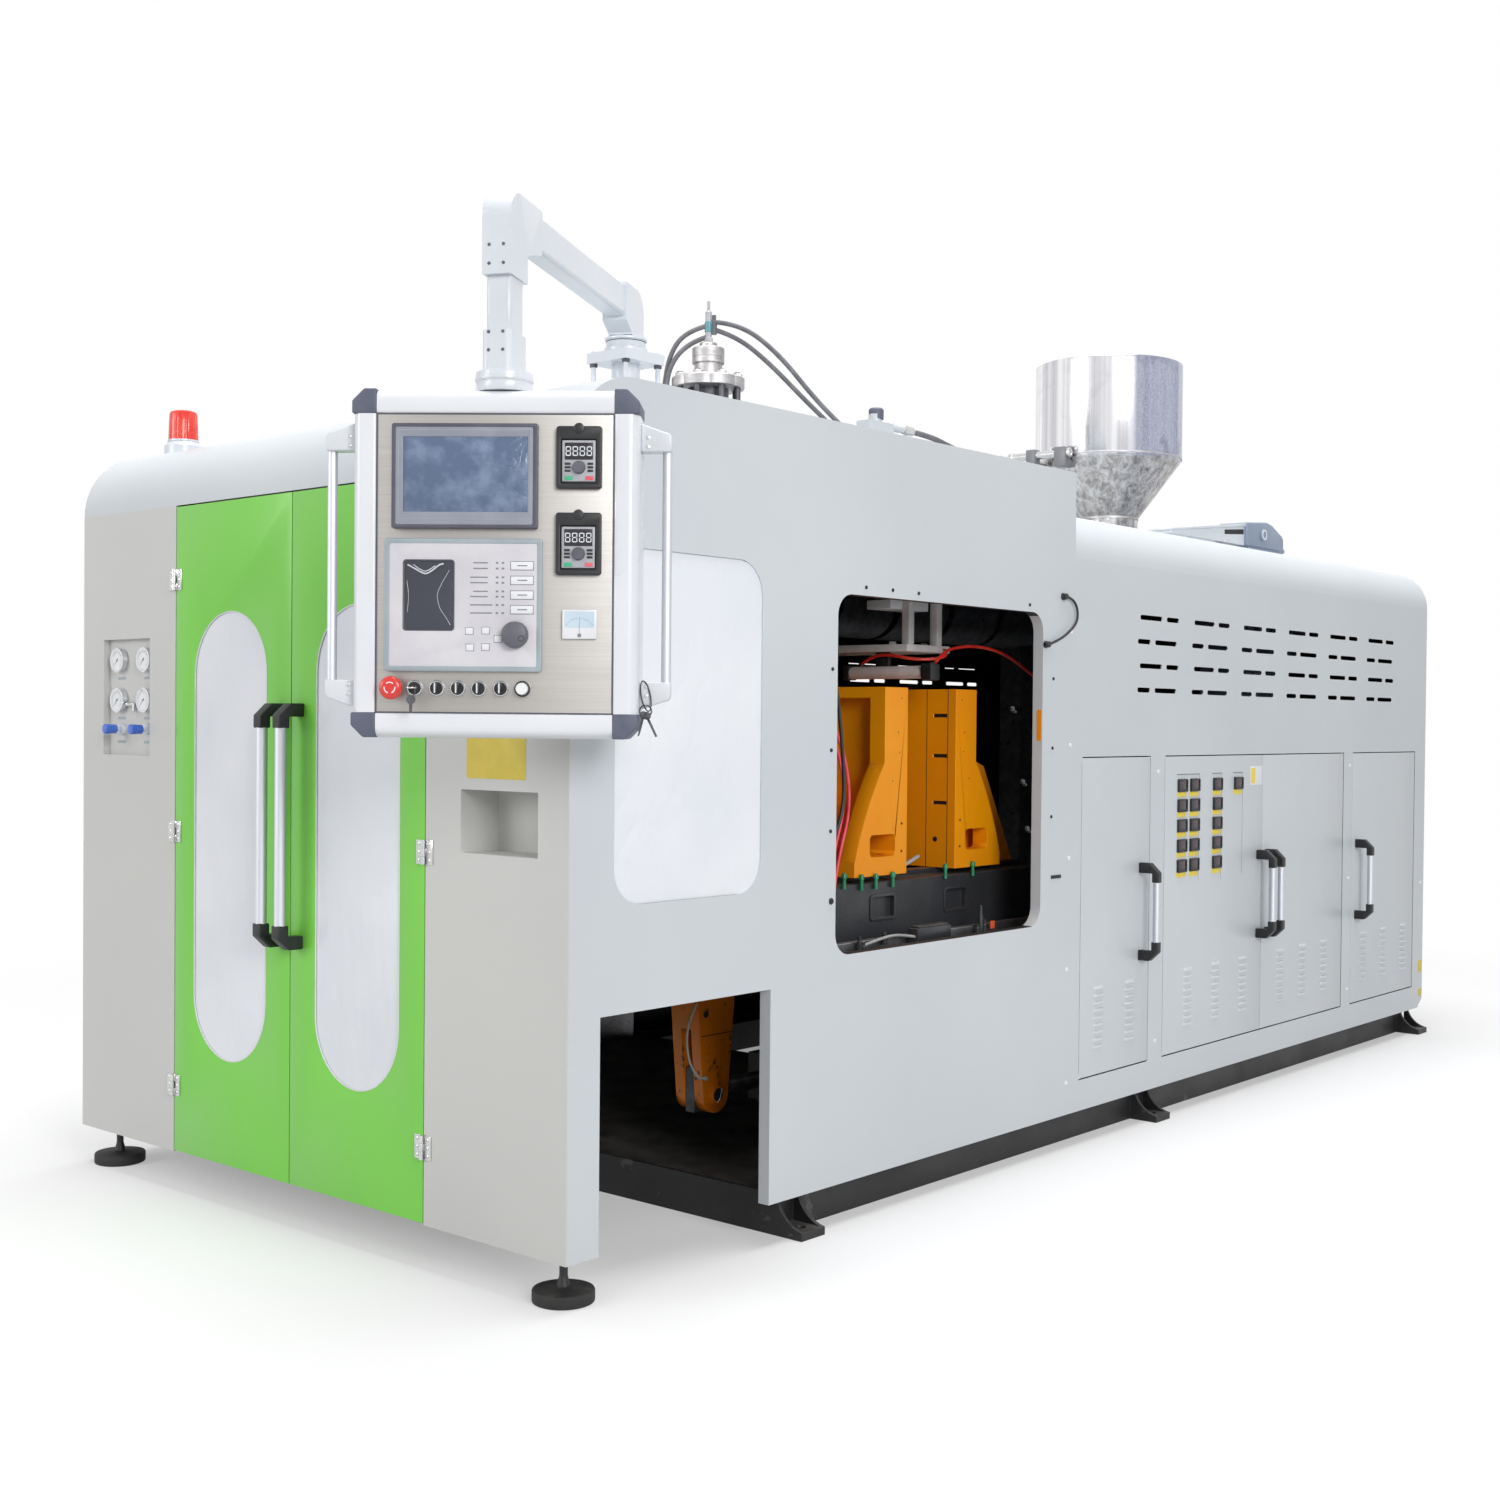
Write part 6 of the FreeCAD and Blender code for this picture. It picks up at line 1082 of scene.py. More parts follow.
def profile_at(x, points):
    """An upright outline of (station, z) points at one x."""
    return [(x, station, z) for station, z in points]


def motor_details():
    """Cowl, cover and gland of the motor's terminal box, above the roof."""
    extra("terminal_cowl", "motor_grey").prism(profile_at(403, (
        (3441, 1690), (3441, 1768), (3560, 1778), (3600, 1781), (3640, 1774), (3682, 1757),
        (3716, 1744), (3728, 1732), (3730, 1690))), (106, 0, 0), 7.0, 3).lathe(
        [(0, 0), (22, 0), (22, 4), (19, 7), (0, 7)], (508, 3560, 1734), RIGHT, 36)
    extra("terminal_ring", "light_enamel").lathe(
        [(12, 0), (18, 0), (18, 2.5), (12, 2.5), (12, 0)], (514.5, 3560, 1734), RIGHT, 36)
    for name, finish_name, x, points, width, bevel, segments in (
            ("belt_cover", "light_enamel", 412,
             ((2930, 1690), (2930, 1700), (3443, 1757), (3443, 1690)), 86, 1.0, 1),
            # A dark sheet on the cover's side: painted shade in the gap under the lid.
            ("belt_cover_gap", "gap_dark", 497.6,
             ((3296, 1716), (3436, 1727), (3436, 1744), (3296, 1731)), 0.9, 0, 1),
            ("belt_cover_lid", "light_enamel", 406,
             ((2920, 1698), (2920, 1704), (3446, 1764), (3446, 1754)), 98, 1.5, 2)):
        extra(name, finish_name).prism(profile_at(x, points), (width, 0, 0), bevel,
                                                   segments)
    plug = extra("terminal_plug", "motor_grey")
    plug.rod((456, 3722, 1734), (456, 3752, 1731), 12, 3.0, 24)
    plug.rod((456, 3748, 1731), (456, 3800, 1734), 7, 2.0, 20)


# ---- Suspension arm ----

def arm_details():
    """Collars, seams, a band of painted shade in the swivel's gap, and the small screws of the
    arm's castings.
    """
    _, detail = site("suspension_arm", axes=ARM)
    rims = detail("arm_rims", "light_enamel")
    for profile, x, z in (([(42, 0), (46, 1), (46, 9), (42, 10)], 0, 1857),
                          ([(42, 0), (45, 1), (45, 5), (42, 6)], 0, 1883),
                          ([(49, 0), (50.5, 1), (50.5, 6), (49, 7)], ARM_LENGTH, 1664)):
        rims.lathe(profile, (x, 0, z), segments=56)
    # A dark band at the swivel: painted shade in the gap between the turning parts.
    detail("arm_swivel_gap", "gap_dark").lathe([(42.3, 0), (42.3, 1.6)], (0, 0, 1880), segments=56)
    screws = detail("arm_screws", "knob_grey")
    for z in (1893, 1861, 1744, 1713):
        for y in (-13, 13):
            screws.lathe([(3.0, 0), (2.8, 0.9), (1.6, 1.3), (0, 0.8)], (ARM_LENGTH + 43, y, z),
                         RIGHT, 16)


# ---- Control panel ----

PX, PZ = (-259.0, 235.0), (1047.0, 1645.0)      # the profile frame's outer edges
BAR, FACE = 43.0, -50.0                         # its bars' width, and the face sheet's depth
INNER_X, INNER_Z = inset(PX, BAR), inset(PZ, BAR)
BAR_SECTION = ((0, 45), (0, -30), (1.2, -34), (4, -43), (9, -49), (14, -51.6), (20, -52),
               (37, -52), (41, -50.8), (BAR, -48), (BAR, 45))
ROW_Z = 1132                                    # height of the row of controls
EMERGENCY_X, KEY_X, SPEED_X = -186, -147.6, 38.5
SELECTORS_X = (-109.7, -73.4, -37.3, 0.6)


def at_depth(y, points):
    """An outline of (x, z) points at one depth of the panel."""
    return [(u, y, v) for u, v in points]


def panel_site(node=None, body="control_panel"):
    return site(body, node, PANEL)


def panel_frame():
    """Rounded profile bars, the corner caps over their joints, and the sheet's gasket."""
    part, detail = panel_site("panel_frame")
    rails = part("panel_rails", "profile_enamel", 45)
    for edge, way in zip(PX, (1, -1)):
        rails.prism([(edge + way * d, y, INNER_Z[0]) for d, y in BAR_SECTION],
                    (0, 0, INNER_Z[1] - INNER_Z[0]))
    for edge, way in zip(PZ, (1, -1)):
        rails.prism([(INNER_X[0], y, edge + way * d) for d, y in BAR_SECTION],
                    (INNER_X[1] - INNER_X[0], 0, 0))
    caps = part("panel_corner_caps", "cap_slate")
    for side, xo in zip((-1, 1), PX):
        for top, zo in zip((-1, 1), PZ):
            xi, zi = xo - side * BAR, zo - top * BAR
            caps.prism(at_depth(-53, ((xi, zi), (xo, zi), (xo, zo - top * 21),
                                      (xo - side * 21, zo), (xi, zo))), (0, 98, 0), 3.0, 3)
    detail("panel_gasket", "screen_rim").plate(
        [rounded(inset(INNER_X, by), inset(INNER_Z, by), 1, 2) for by in (-1, 1.6)],
        2.0, on_front(-50.9), 0.5)


def faceplate():
    """The panel's brushed sheet and the bright rings of its row of controls."""
    part, _ = panel_site("panel_faceplate")
    part("panel_face_sheet", "brushed_steel").plate([rounded(INNER_X, INNER_Z, 1, 2)],
                                                    3.0, on_front(FACE), 0.4)
    rings = part("control_rings", "chrome")
    for x in (EMERGENCY_X, KEY_X, *SELECTORS_X, SPEED_X):
        rings.lathe([(10.8, 0), (14, 0), (14, 2.5), (13.4, 4.6), (12.2, 6), (11.2, 6), (10.8, 5),
                     (10.8, 0)], (x, FACE, ROW_Z), FORWARD, 40)


def screen_unit():
    """The screen's rim, bezel, fine line and glass."""
    part, detail = panel_site("hmi_screen")
    for make_form, name, finish_name, outer, inner, thickness, depth, bevel in (
            (part, "screen_rim_frame", "screen_rim", ((-188, 63), (1405, 1584), 4),
             ((-180, 54), (1412, 1577), 3), 12.0, -62, 1.6),
            (part, "screen_bezel", "screen_grey", ((-181, 55), (1411, 1578), 2),
             ((-168, 46), (1433, 1561), 1), 3.0, -61.6, 0.7),
            (detail, "screen_bezel_line", "frame_grey", ((-176, 51), (1420, 1573), 2),
             ((-175, 50), (1421, 1572), 2), 0.5, -61.9, 0.1)):
        form = make_form(name, finish_name).plate([rounded(*outer), rounded(*inner)],
                                                  thickness, on_front(depth), bevel)
        if name == "screen_bezel":
            form.block((-181, 55), (-57, -50), (1411, 1578), 0.5)
    part("screen_glass_sheet", "screen_glass").block((-169, 47), (-60.4, -56), (1432, 1562), 0.4)


KNOB = (26, 1224)             # the parison programmer's turning knob
KEYS_Y, PRINT_Y = (-59.0, -58.0), (-58.4, -57.8)
FILM_STEPS = 18
# Light ribs along the display film's creases: real folds, with their highlights painted in a light
# colour.
FOLD_HIGHLIGHT_ROUTES = (
    (((-160, -57.6, 1343), (-147, -59.0, 1336), (-134, -59.6, 1329), (-126, -59.8, 1328),
      (-116, -59.4, 1334), (-106, -58.6, 1342), (-98, -57.8, 1345)), 1.5, 10),
    (((-150, -58.2, 1343), (-138, -59.3, 1335), (-127, -59.7, 1332), (-112, -58.9, 1341)), 0.9, 8),
    (((-88, -57.2, 1334), (-100, -58.8, 1312), (-108, -59.4, 1292), (-104, -59.3, 1270),
      (-94, -58.3, 1254), (-86, -57.2, 1240)), 0.45, 8),
    (((-161, -57.4, 1316), (-158, -57.9, 1290), (-160, -57.4, 1262)), 0.35, 8),
)


def parison_unit():
    """The parison programmer: pale keyboard sheet, dark display, keys, lamps and its frame."""
    part, detail = panel_site("parison_controller")
    part("programmer_frame", "frame_grey").plate(
        [rounded((-200, 71), (1161, 1388), 5), rounded((-191, 62), (1170, 1379), 3)],
        9.0, on_front(-59), 1.6)
    display = rounded((-166, -81), (1232, 1350), 5)
    part("programmer_sheet", "controller_grey").plate(
        [rounded((-192, 63), (1169, 1380), 2), display, ring(24, 6, *KNOB)], 4.0,
        on_front(-58), 0.5).block((-192, 63), (-53.5, -50), (1169, 1380), 0.4)
    grid = []
    rng = random.Random(7)
    for v in (j / FILM_STEPS for j in range(FILM_STEPS + 1)):
        row = []
        for u in (i / FILM_STEPS for i in range(FILM_STEPS + 1)):
            rise = 2.6 * (math.sin(math.pi * u) * math.sin(math.pi * v)) ** 0.6
            fold = 1.1 * abs(u - v) * abs(1 - u - v) + rng.uniform(-0.03, 0.03)
            row.append((-165.5 + 84 * u, -56.4 - rise + fold * 1.6, 1232.5 + 117 * v))
        grid.append(row)
    part("programmer_display", "window_black", 80).skin(grid, closed=False)
    # Painted highlights: the film's folds are drawn as light ribs on the dark display.
    folds = detail("programmer_film_folds", "fold_shine")
    for route, radius, sides in FOLD_HIGHLIGHT_ROUTES:
        folds.tube(route, radius, sides)
    detail("programmer_window_edge", "screen_rim").plate(
        [rounded((-168, -79), (1230, 1352), 6), display], 0.9, on_front(-58.6), 0.3)

    legends, lamps = (detail(f"programmer_{name}", "legend_grey") for name in ("legends", "lamps"))
    outlines = detail("programmer_key_outlines", "legend_grey")
    keys = detail("programmer_keys", "key_white")
    for i, z in enumerate((1346.7, 1337, 1322, 1312.7, 1298, 1289, 1274.8, 1261)):
        left = -47 if i in (0, 1, 4) else -52
        legends.block((left, -22 if i < 6 else -14), (-58.25, -57.9), about(z, 1.1), 0.1, 1)
        for x in (-6.0, 4.0):
            lamps.block(about(x, 2.2), (-58.4, -57.9), about(z, 1.5), 0.2, 1)
    for z in (1342, 1317, 1292, 1267):
        outlines.block((16.5, 57), PRINT_Y, about(z, 8), 0.3)
        keys.block((17.8, 55.8), KEYS_Y, about(z, 6.7), 0.5)
        legends.block((29, 46), (-59.2, -58.9), about(z, 1.0), 0.1, 1)
    for x, z in ((-53, 1230), (-25, 1231), (-3.8, 1216.8), (-25, 1203), (-52, 1202)):
        outlines.block(about(x, 7.2), PRINT_Y, about(z, 6.4), 0.3)
        keys.block(about(x, 6.2), KEYS_Y, about(z, 5.4), 0.5)


def turning_knob(form, x, z, seat, radius, height, shaft, depth):
    """A round knob with a softened rim."""
    form.lathe([(0, -depth), (shaft, -depth), (shaft, 0), (radius - 1, 0), (radius, 1),
                (radius * 0.97, height * 0.75), (radius * 0.93, height * 0.93),
                (radius * 0.86, height), (0, height)], (x, seat, z), FORWARD, 56)


DIGIT_BARS = ((0, 7.3), (0, 0), (0, -7.3), (-3.8, 4.2), (3.8, 4.2), (-3.8, -4.2), (3.8, -4.2))
KEYPAD_X = 133


def drive_keypads():
    """Two drive keypads: a box, its overlay and window, digits, a dial and keys."""
    part, detail = panel_site("drive_keypads")
    boxes, overlays = part("keypad_boxes", "black_plastic"), part("keypad_overlays", "silver_sheet")
    windows, dials = part("keypad_windows", "unit_face"), part("keypad_dials", "knob_grey")
    digits, tabs = detail("keypad_digits", "lit_digits"), detail("keypad_tabs", "black_plastic")
    keys = detail("keypad_keys", "black_plastic")
    greens = detail("keypad_green_keys", "key_green")
    reds = detail("keypad_red_keys", "key_red")
    for low, high in ((1474.0, 1580.0), (1327.0, 1433.0)):
        boxes.plate([rounded((94, 172), (low, high), 5),
                     rounded((102, 163), (low + 8, high - 22), 3)], 11.0, on_front(-61),
                    1.5)
        boxes.block((101, 164), (-55, -50), (low + 7, high - 21), 0.4)
        tabs.lathe([(0, 0), (9, 0), (9, 1.5), (7, 2.6), (0, 2.6)], (KEYPAD_X, -61, high - 4),
                   FORWARD, 36)
        overlays.block((104, 161), (-58.2, -54.5), (low + 12, high - 24), 0.7)
        windows.block((108.5, 157), (-58.9, -58), (high - 57, high - 28), 0.4)
        for n in range(4):
            x, z = 114.6 + n * 12.0, high - 42.5
            for u, v in DIGIT_BARS:
                half_u, half_v = (0.8, 3.2) if u else (2.9, 0.9)
                digits.block(about(x + u, half_u), (-59.2, -58.8), about(z + v, half_v), 0.1, 1)
        middle = low + 36
        dials.lathe([(0, 0), (11.4, 0), (11.4, 1.4), (11, 2), (10.6, 6.4), (9.4, 7.6), (0, 7.6)],
                    (KEYPAD_X, -58.2, middle), FORWARD, 44)
        for u in (-19.5, 19.5):
            for v in (-6, 0, 6):
                keys.block(about(KEYPAD_X + u, 5), (-58.9, -58.1), about(middle + v, 2), 0.4)
        for form, x in ((greens, (108.5, 122)), (reds, (144, 157.5))):
            form.block(x, (-59, -58.1), (low + 14, low + 21), 0.5)


def power_meter():
    """The pointer meter under the keypads."""
    part, detail = panel_site("drive_keypads")
    part("meter_case", "key_white").block((106, 165), (-57.7, -50), (1218, 1268), 1.4)
    detail("meter_dial", "dial_blue").block((110, 161), (-57.9, -57.6), (1237, 1265), 0.1, 1)
    marks, x, z = detail("meter_marks", "legend_grey"), 135.5, 1226
    for i in range(21):
        a = math.radians(145 - 5.5 * i)
        u, v = math.cos(a), math.sin(a)
        outer = 26 + (4.5 if i % 5 == 0 else 2.4)
        marks.face([(x + r * u + s * v, -58.0, z + r * v - s * u) for r, s in
                    ((26, -0.25), (26, 0.25), (outer, 0.25), (outer, -0.25))])
    marks.lathe([(0, 0), (3.4, 0), (3.0, 1), (0, 1.2)], (x, -57.7, 1224), FORWARD, 20)
    marks.block((135.2, 135.8), (-58.1, -57.8), (z, 1252), 0.05, 1)


def emergency_button():
    part, detail = panel_site("emergency_button", "emergency_button")
    part("emergency_head", "signal_red", 50).lathe(
        [(0, -6.7), (10.3, -6.7), (10.3, 0), (13, 0), (19, 1), (20, 3), (20, 7), (18.6, 10.4),
         (14, 12.6), (7, 13.4), (0, 13.6)], (EMERGENCY_X, -61, ROW_Z), FORWARD, 56)
    arcs = detail("emergency_arcs", "key_white")
    for k in range(3):
        inner, outer = ([(EMERGENCY_X + r * math.cos(math.radians(90 + 120 * k + s)),
                          ROW_Z + r * math.sin(math.radians(90 + 120 * k + s)))
                         for s in range(-40, 41, 8)] for r in (8.2, 10.2))
        arcs.prism(at_depth(-74.0, inner + outer[::-1]), (0, -0.7, 0))


def key_switch():
    part, detail = panel_site("key_switch", "key_switch")
    part("key_barrel", "black_plastic").lathe(
        [(0, 0), (10.3, 0), (10.3, 7.4), (9.4, 8.2), (0, 8.2)], (KEY_X, -50.3, ROW_Z), FORWARD, 40)
    bow = [(u, 0.9 * (v + 79) - 79) for u, v in ring(28, 10, KEY_X, -79)]
    key = part("key_in_lock", "bright_zinc")
    key.block(about(KEY_X, 4), (-70, -58), about(ROW_Z, 1), 0.4)
    key.plate([bow, ring(16, 2.5, KEY_X, -83)], 2.2, lambda u, v, w: (u, v, ROW_Z + 1.1 - w), 0.4)
    spare = detail("second_key", "dark_steel").tube(
        [(KEY_X + 8 * math.sin(t * 0.35), -86, 1126 - 8 * math.cos(t * 0.35))
         for t in range(19)], 0.8, 8, 3)
    spare.prism(at_depth(-86.6, ((-151, 1118), (-143, 1119), (-145, 1090), (-149, 1088))),
                (0, 1.6, 0), 0.4, 1)
    spare.lathe(disc(8, 1.8), (-147, -85, 1112), FORWARD, 24)


def control_row():
    emergency_button()
    key_switch()
    for i, x in enumerate(SELECTORS_X, 1):
        name = f"selector_switch_{i}"
        part, detail = panel_site(name, name)
        part(f"{name}_barrel", "black_plastic").lathe(
            [(0, 0), (10.3, 0), (10.3, 7.6), (9.2, 8.8), (0, 9)], (x, -50.3, ROW_Z), FORWARD, 40)
        left, right = about(x, 3.6)
        part(f"{name}_grip", "black_plastic").prism(
            at_depth(-58, ((left, 1122.6), (right, 1122.6), (right, 1141.4), (left, 1141.4))),
            (0, -13, 0), 1.6, 2)
        stripe = detail(f"{name}_stripe", "key_white")
        stripe.block(about(x, 1.2), (-71.5, -70.6), (1124, 1140.6), 0.2, 1)
        stripe.block(about(x, 1.2), (-71.2, -59), (1140.9, 1141.7), 0.1, 1)

    part, _ = panel_site("speed_knob", "speed_knob")
    turning_knob(part("speed_knob_cap", "gauge_face", 50), SPEED_X, ROW_Z, -56.3, 10.6, 13, 9.6,
                 4.6)
    part("speed_knob_skirt", "black_plastic").lathe(
        [(10.7, 0.2), (13.8, 0.3), (13.8, 2.2), (12, 3.4), (10.7, 3.6)], (SPEED_X, -56.1, ROW_Z),
        FORWARD, 44)
    part, detail = panel_site("controller_knob", "controller_knob")
    turning_knob(part("programmer_knob", "knob_grey", 50), *KNOB, -59.3, 23, 16, 4, 4.6)
    detail("programmer_knob_dimple", "black_plastic").lathe(
        [(0, -0.6), (3.4, -0.5), (4.6, 0.3), (5.2, 0.35)], (38.6, -75.4, 1217), FORWARD, 28)


def grab_handles():
    """A tube and its two brackets on each side of the panel."""
    part, detail = panel_site("grab_handles")
    brackets, tubes = part("grab_brackets", "bracket_grey"), part("grab_tubes", "aluminium")
    screws = detail("grab_screws", "bright_zinc")
    for side, edge in zip((-1, 1), PX):
        x = edge + side * 45
        tubes.rod((x, -3.5, 1140), (x, -3.5, 1549), 8.5, 0.5, 36)
        outer = x + side * 8.5
        for z, up in ((1112, 1), (1577, -1)):
            brackets.prism(at_depth(-20.5, (
                (edge, z - up * 14), (outer - side * 14, z), (outer - side * 4, z + up * 2.5),
                (outer, z + up * 9), (outer, z + up * 34), (edge, z + up * 34))),
                (0, 34, 0), 2.6, 3)
        for z in (1122, 1138, 1551, 1567):
            screws.lathe([(3.8, 0), (3.6, 1), (2.2, 1.5), (0, 1.5)],
                         (edge + side * 12, -20.5, z), FORWARD, 16)


def spare_keys():
    """A ring with two keys on a black loop, hung on the right grab handle."""
    _, detail = panel_site()
    keys = detail("spare_keys", "dark_steel")
    for x, depth in ((246, -24.5), (247.8, -26.3)):
        keys.plate([ring(28, radius, x, 1096) for radius in (11, 9.6)], 1.2, on_front(depth), 0.4)
    for u, v, lean in ((243, 1088, -9), (249, 1087, 16)):
        keys.prism(at_depth(-24, ((u - 2.5, v), (u + 2.5, v), (u + lean + 2.5, v - 34),
                                  (u + lean - 1.0, v - 36))), (0, 1.8, 0), 0.4, 1)
        keys.lathe(disc(7, 2), (u, -22, v + 1), FORWARD, 24)
    rings = []
    for c, s in ring(40, 1.0):
        middle = Vector((247 + 8 * s + 5 * c, -24 - 3 * c, 1122 - 26 * c))
        rings.append([middle + 1.2 * (u * Vector((s, 0, -c)) + v * Vector((0, 1, 0)))
                      for u, v in ring(10, 1.0)])
    detail("spare_key_loop", "cable_black").skin(rings, around=True)


# ---- Sheet details ----

DARK_SCREWS = ((877, 1373), (974, 1373), (1072, 1372), (1538, 1372), (762, 1193), (760, 1021),
               (760, 849), (1651, 1194), (1650, 1021), (1648, 850))
LIGHT_SCREWS = ((1735, 1314), (1735, 1028), (1735, 742), (1730, 460), (1733, 171), (2199, 954),
                (2199, 219), (3499, 955), (3498, 587), (3499, 222), (4135, 532))


def sheet_screws():
    dark = extra("window_screws", "gap_dark")
    light = extra("sheet_screws", "gauge_face")
    for form, places, radius in ((dark, DARK_SCREWS, 4.2), (light, LIGHT_SCREWS, 5.6)):
        for place in places:
            form.screw((SIDE, *place), RIGHT, radius, 2.6)
    dark.screw((SIDE, 764, 700), RIGHT, 7.0, 4.0)
    dark.block((SIDE - 0.5, SIDE + 2.4), (1650, 1696), (694.5, 703), 1.0)


def plain_plates():
    """Bare plates and tags where the machine carries its notices."""
    plates = extra("plain_yellow_plates", "label_yellow")
    plates.plate([rounded((567.5, 734.5), (968.0, 1047.5), 3, 3)], 0.8, on_front(-0.8), 0.2)
    for u, v in (((4124, 4158), (216, 257)), ((4130, 4160), (131, 156))):
        plates.plate([rounded(u, v, 2, 2)], 0.6, on_side(SIDE + 0.6), 0.2)
    _, detail = site("side_door_b1")
    for name, finish_name, u, v, thickness, rise, bevel in (
            ("plain_white_plate", "key_white", (2765, 2847), (906, 962), 0.8, 0.8, 0.2),
            ("plain_yellow_patch", "tag_yellow", (2769, 2798), (911, 957), 0.4, 1.15, 0.1)):
        detail(name, finish_name).plate([rounded(u, v, 2, 3)], thickness,
                                        on_side(SIDE + rise), bevel)


def blow_unit():
    """Bright plate and hangers, and the air cylinder with its black head under the front edge."""
    part, _ = site(node="blow_frame")
    plate = part("blow_plate", "frame_aluminium").block((200, 600), (1375, 1560), (1258, 1276), 1.0)
    for x in (200, 578):
        for station in (1383, 1503):
            plate.block((x, x + 22), (station, station + 22), (1275.8, 1714.8), 1.2)
    for x in (262, 538):
        for station in (1400, 1535):
            plate.nut((x, station, 1276), UP, 17, 8)
    part("air_cylinder_barrel", "cylinder_bright").lathe(
        [(0, 0), (13, 0), (16, 2), (16, 244), (0, 244)], (400, 1392, 1206), RIGHT, 44)
    heads = part("air_cylinder_heads", "black_plastic")
    heads.block((643, 674), (1372, 1412), (1186, 1226), 3.0)
    heads.block((399, 419), (1374, 1410), (1188, 1224), 3.0)
    heads.block((489, 529), (1394, 1408), (1206, 1257.8), 2.0)
    for x in (446, 664):
        heads.lathe([(7, 0), (7, 6), (5, 9), (0, 9)], (x, 1392, 1221), UP, 20)
    extra("blow_back_plate", "key_white").block((505, 578.5), (1335, 1495),
                                                            (1362, 1384), 1.5)


def press_details():
    """Inserts, joint lines and screw holes of the platens, and the carriage's pocket rims."""
    for body, face, way in (("platen_front", 1292.5, -1), ("platen_rear", 1496.5, 1)):
        marks = site(body)[1](f"{body}_inserts", "gap_dark")
        for z in (881.0, 999.0, 1100.0):
            for x in (292.0, 596.0):
                marks.block((x + 0.4, x + 41.6), sorted((face + way * 4, face + way * 9)),
                            about(z, 4.3), 0.3, 1)
        for x in (289.0, 352.0, 577.0, 641.0):
            marks.block(about(x, 0.8), sorted((face - way * 0.5, face + way * 0.6)),
                        (719.0, 1165.0), 0.1, 1)
        # The screw holes here and below are dark discs: painted shade in the holes.
        for x in (325.0, 605.0):
            marks.lathe(disc(6.5, 0.6), (x, face, 789), (0, -way, 0), 20)
        for depth, z, radius in ((22, 839, 3.2), (22, 773, 3.2), (38, 1058, 1.8), (26, 1140, 1.8),
                                 (34, 1010, 1.6), (60, 942, 1.6)):
            marks.lathe(disc(radius, 0.5), (665, face + way * depth, z),
                        RIGHT, 14)
    _, detail = site("carriage")
    rims = detail("carriage_pocket_rims", "dark_casting")
    wells = detail("carriage_pocket_screws", "gap_dark")
    for first in (1153.0, 1457.0):
        pocket = (first, first + 88.0)
        rims.plate([rounded(inset(pocket, -7), (611.0, 675.0), 12, 4),
                    rounded(pocket, (618.0, 668.0), 8, 4)], 3.0, on_side(668.0), 1.0)
        wells.lathe(disc(11, 1.0), (642, first + 40, 643), RIGHT, 24)


def lever_details():
    """Grease hole, pin hole, machined edge and the fixed lead of the clamp lever."""
    _, detail = site("clamp_lever")
    # The grease hole and pin hole are dark discs: painted shade in the holes.
    holes = detail("lever_holes", "gap_dark")
    for station, z, radius in ((742, 424, 8.0), (786, 237, 15.0)):
        holes.lathe(disc(radius, 0.7), (515, station, z), RIGHT, 28)
    holes.block((514.8, 515.5), (728, 838), (374.6, 376.4), 0.2, 1)
    detail("lever_lead", "cable_grey").tube(
        [(512, 742, 470), (500, 722, 440), (486, 712, 380), (490, 716, 320), (506, 728, 284),
         (514, 742, 280)], 2.6).lathe(turned(5, 5), (513, 742, 280), RIGHT, 16)
    detail("lever_split_pin", "bright_zinc").tube(
        [(516, 796, 250), (518, 792, 238), (518, 786, 226), (516, 782, 220)], 1.6)


def glands():
    nuts = extra("guard_cable_glands", "cable_black")
    for station, z, side in ((1692.0, 1401.0, 1), (1611.0, 1278.0, -1)):
        nuts.lathe([(9.0, 0), (9.0, 4), (7.6, 5), (7.6, 12.4), (6.6, 13.6), (0, 13.6)],
                   (SIDE, station, z), RIGHT, 28)
        nuts.lathe([(0, 0), (5.0, 0), (5.0, 9), (3.6, 12)], (857, station, z), (0, side, 0), 20)


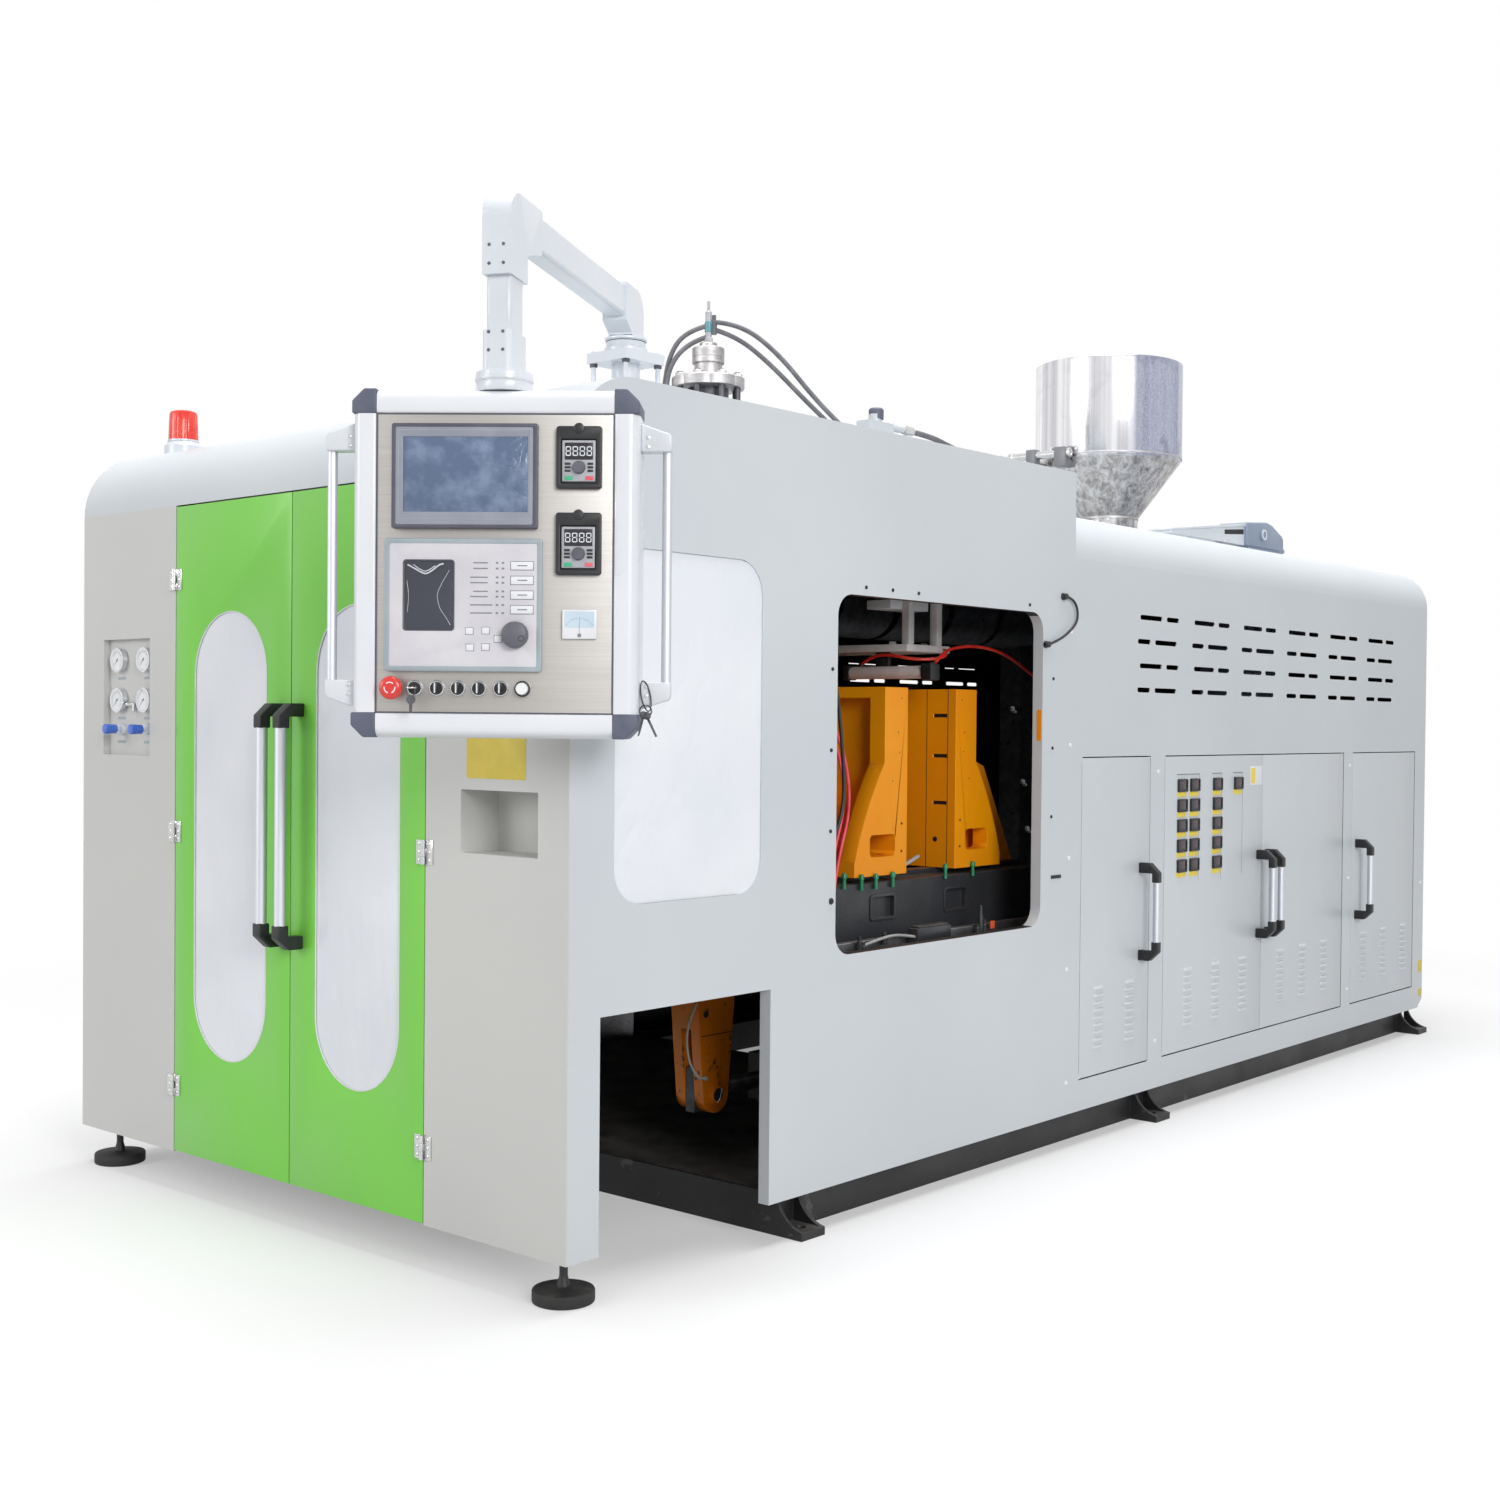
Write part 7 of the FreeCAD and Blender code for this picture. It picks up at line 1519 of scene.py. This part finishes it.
def window_fittings():
    """Push-in fittings, valves, cable and tag at the window's foot, and what shows behind."""
    _, on_carriage = site("carriage")
    fittings = on_carriage("carriage_fittings", "fitting_green")
    for station, z in ((1040, 716), (1106, 709), (1162, 708), (1448, 716), (1569, 716),
                       (1229, 709)):
        fittings.lathe([(0, -24), (4.5, -24), (4.5, 0), (6.5, 0), (6.5, 8), (4, 13), (0, 13)],
                       (671, station, z + 4), UP, 20)
    extra("valve_box", "dark_casting").block(
        (742, 772), (1192, 1330), (560, 600), 3.0).block((745, 769), (1200, 1322), (599, 605), 1.5)
    extra("plain_orange_tag", "tag_orange").block((757, 760), (1519, 1537),
                                                              (573, 592), 0.5)
    valves = extra("small_valves", "dark_casting")
    for station, z, tall in ((1000, 566, 30), (1014, 560, 22), (1094, 572, 26), (1478, 566, 20),
                             (1491, 566, 66), (1508, 562, 34)):
        valves.lathe([(0, 0), (7, 0), (7, tall * 0.6), (4.5, tall * 0.7), (4.5, tall), (0, tall)],
                     (748, station, z), UP, 20)
    for station, z in ((1483, 1117), (1534, 939), (1556, 823)):
        valves.nut((835, station, z), RIGHT, 11, 7)
        valves.lathe(disc(3, 9), (835, station + 7, z - 7), RIGHT, 16)
    extra("hanging_cable", "cable_black").tube(
        [(842, 766, 1250), (837, 786, 1195), (836, 798, 1134), (836, 808, 1084), (836, 820, 993),
         (836, 823, 924), (837, 808, 868), (842, 768, 820)], 4.0)
    extra("valve_lead", "cable_grey").tube(
        [(748, 1015, 575), (756, 1070, 586), (760, 1120, 590), (762, 1180, 583),
         (762, 1250, 572), (756, 1300, 574)], 3.6)
    on_carriage("carriage_sleeve", "cable_grey").tube(
        [(640, 1236, 722), (636, 1290, 726), (630, 1345, 738), (628, 1392, 752)], 5.0)
    # Dark plates behind the upper rows of the far wall's slots: painted shade, so that those slots
    # show dark.
    shade_plates = extra("slot_flaps", "gap_dark")
    for i in range(6):
        start = 2091.7 + i * 310.0
        shade_plates.block((-846.9, -845.4), (start - 20, start + 275), (1301.5, 1388.0), 0.3, 1)
    # A thin yellow streak on the window's rear reveal.
    extra("reveal_paint_smear", "clamp_yellow").block(
        (834, 847), (REAR_REVEAL - 0.5, REAR_REVEAL + 0.3), (1040, 1116), 0.1, 1)


# ---- Studio ----

def seen_ray(tree):
    """1 for what the camera sees, straight or by a mirror or glass, and 0 for other light."""
    camera, glossy, clear = (make(tree, "LightPath", out=f"Is {kind} Ray")
                             for kind in ("Camera", "Glossy", "Transmission"))
    return camera.math("MAXIMUM", glossy.math("MAXIMUM", clear))


def stage():
    """A plain pale floor that keeps the shadow and fades into a white background."""
    tree, shader = finish("studio_floor", {"Roughness": 0.8, "Specular IOR Level": 0.2})
    place, seen = surface_place(tree), seen_ray(tree)
    tone = place.noise(0.6, 4).spread(0.3, 0.7).mix((0.86, 0.86, 0.87, 1), (0.89, 0.89, 0.89, 1))
    feed(tree, shader.inputs["Base Color"], seen.mix((0.46, 0.46, 0.46, 1), tone))
    fade = place.vector("LENGTH", out="Value").spread(2.2, 4.4, 0.3, 1.0)
    white = make(tree, "Emission", {"Color": WHITE, "Strength": 1.0})
    surface = make(tree, "MixShader", {0: fade * seen, 1: Wire(tree, shader.outputs[0]), 2: white})
    feed(tree, tree.nodes["Material Output"].inputs["Surface"], surface)
    bpy.ops.mesh.primitive_grid_add(size=80, x_subdivisions=8, y_subdivisions=8)
    floor = bpy.context.object
    floor.name = "studio_floor"
    dress(floor, "studio_floor")

    world = bpy.context.scene.world = bpy.data.worlds.new("studio")
    world.use_nodes = True
    tree = world.node_tree
    background = tree.nodes["Background"].inputs
    background["Color"].default_value = WHITE
    feed(tree, background["Strength"], seen_ray(tree).spread(0, 1, 0.34, 1.0))

    for name, place, aim, size, power in (
            ("side lamp", (8.4, -5.3, 3.9), (0.4, -0.9, 0.8), 3.4, 430.0),
            ("front lamp", (-3.2, -10.2, 3.8), (0, -2.0, 0.9), 4.0, 270.0),
            ("top lamp", (0.5, -0.4, 9.5), (0, -0.4, 1), 6.0, 830.0)):
        lamp = bpy.data.lights.new(name, "AREA")
        lamp.energy, lamp.size = power, size
        holder = bpy.data.objects.new(name, lamp)
        holder.location = place
        holder.rotation_euler = (Vector(aim) - Vector(place)).to_track_quat("-Z", "Y").to_euler()
        bpy.context.collection.objects.link(holder)
    bpy.context.scene.view_settings.view_transform = "Standard"


def build():
    for leftover in ("Cube", "Light", "Camera"):
        if leftover in bpy.data.objects:
            bpy.data.objects.remove(bpy.data.objects[leftover])
    make_finishes()
    aim_camera()
    run_hoses()
    stage()
    finish_own_pieces()
    for side in (-1, 1):
        front_door(side)
    fixed_hinges()
    for name, facts in SIDE_DOORS.items():
        side_door(name, *facts)
    for x, side in ((-695.0, "left"), (-582.0, "right")):
        regulator(x, f"regulator_knob_{side}")
    for add_pieces in (
            temperature_controllers, pressure_gauges, levelling_feet, beacon, die_head, hopper,
            roof_fittings, motor_details, arm_details, panel_frame, faceplate, screen_unit,
            parison_unit, drive_keypads, power_meter, control_row, grab_handles, spare_keys,
            sheet_screws, plain_plates, glands, blow_unit, press_details, lever_details,
            window_fittings):
        add_pieces()
    for form in FORMS:
        form.written()


build()
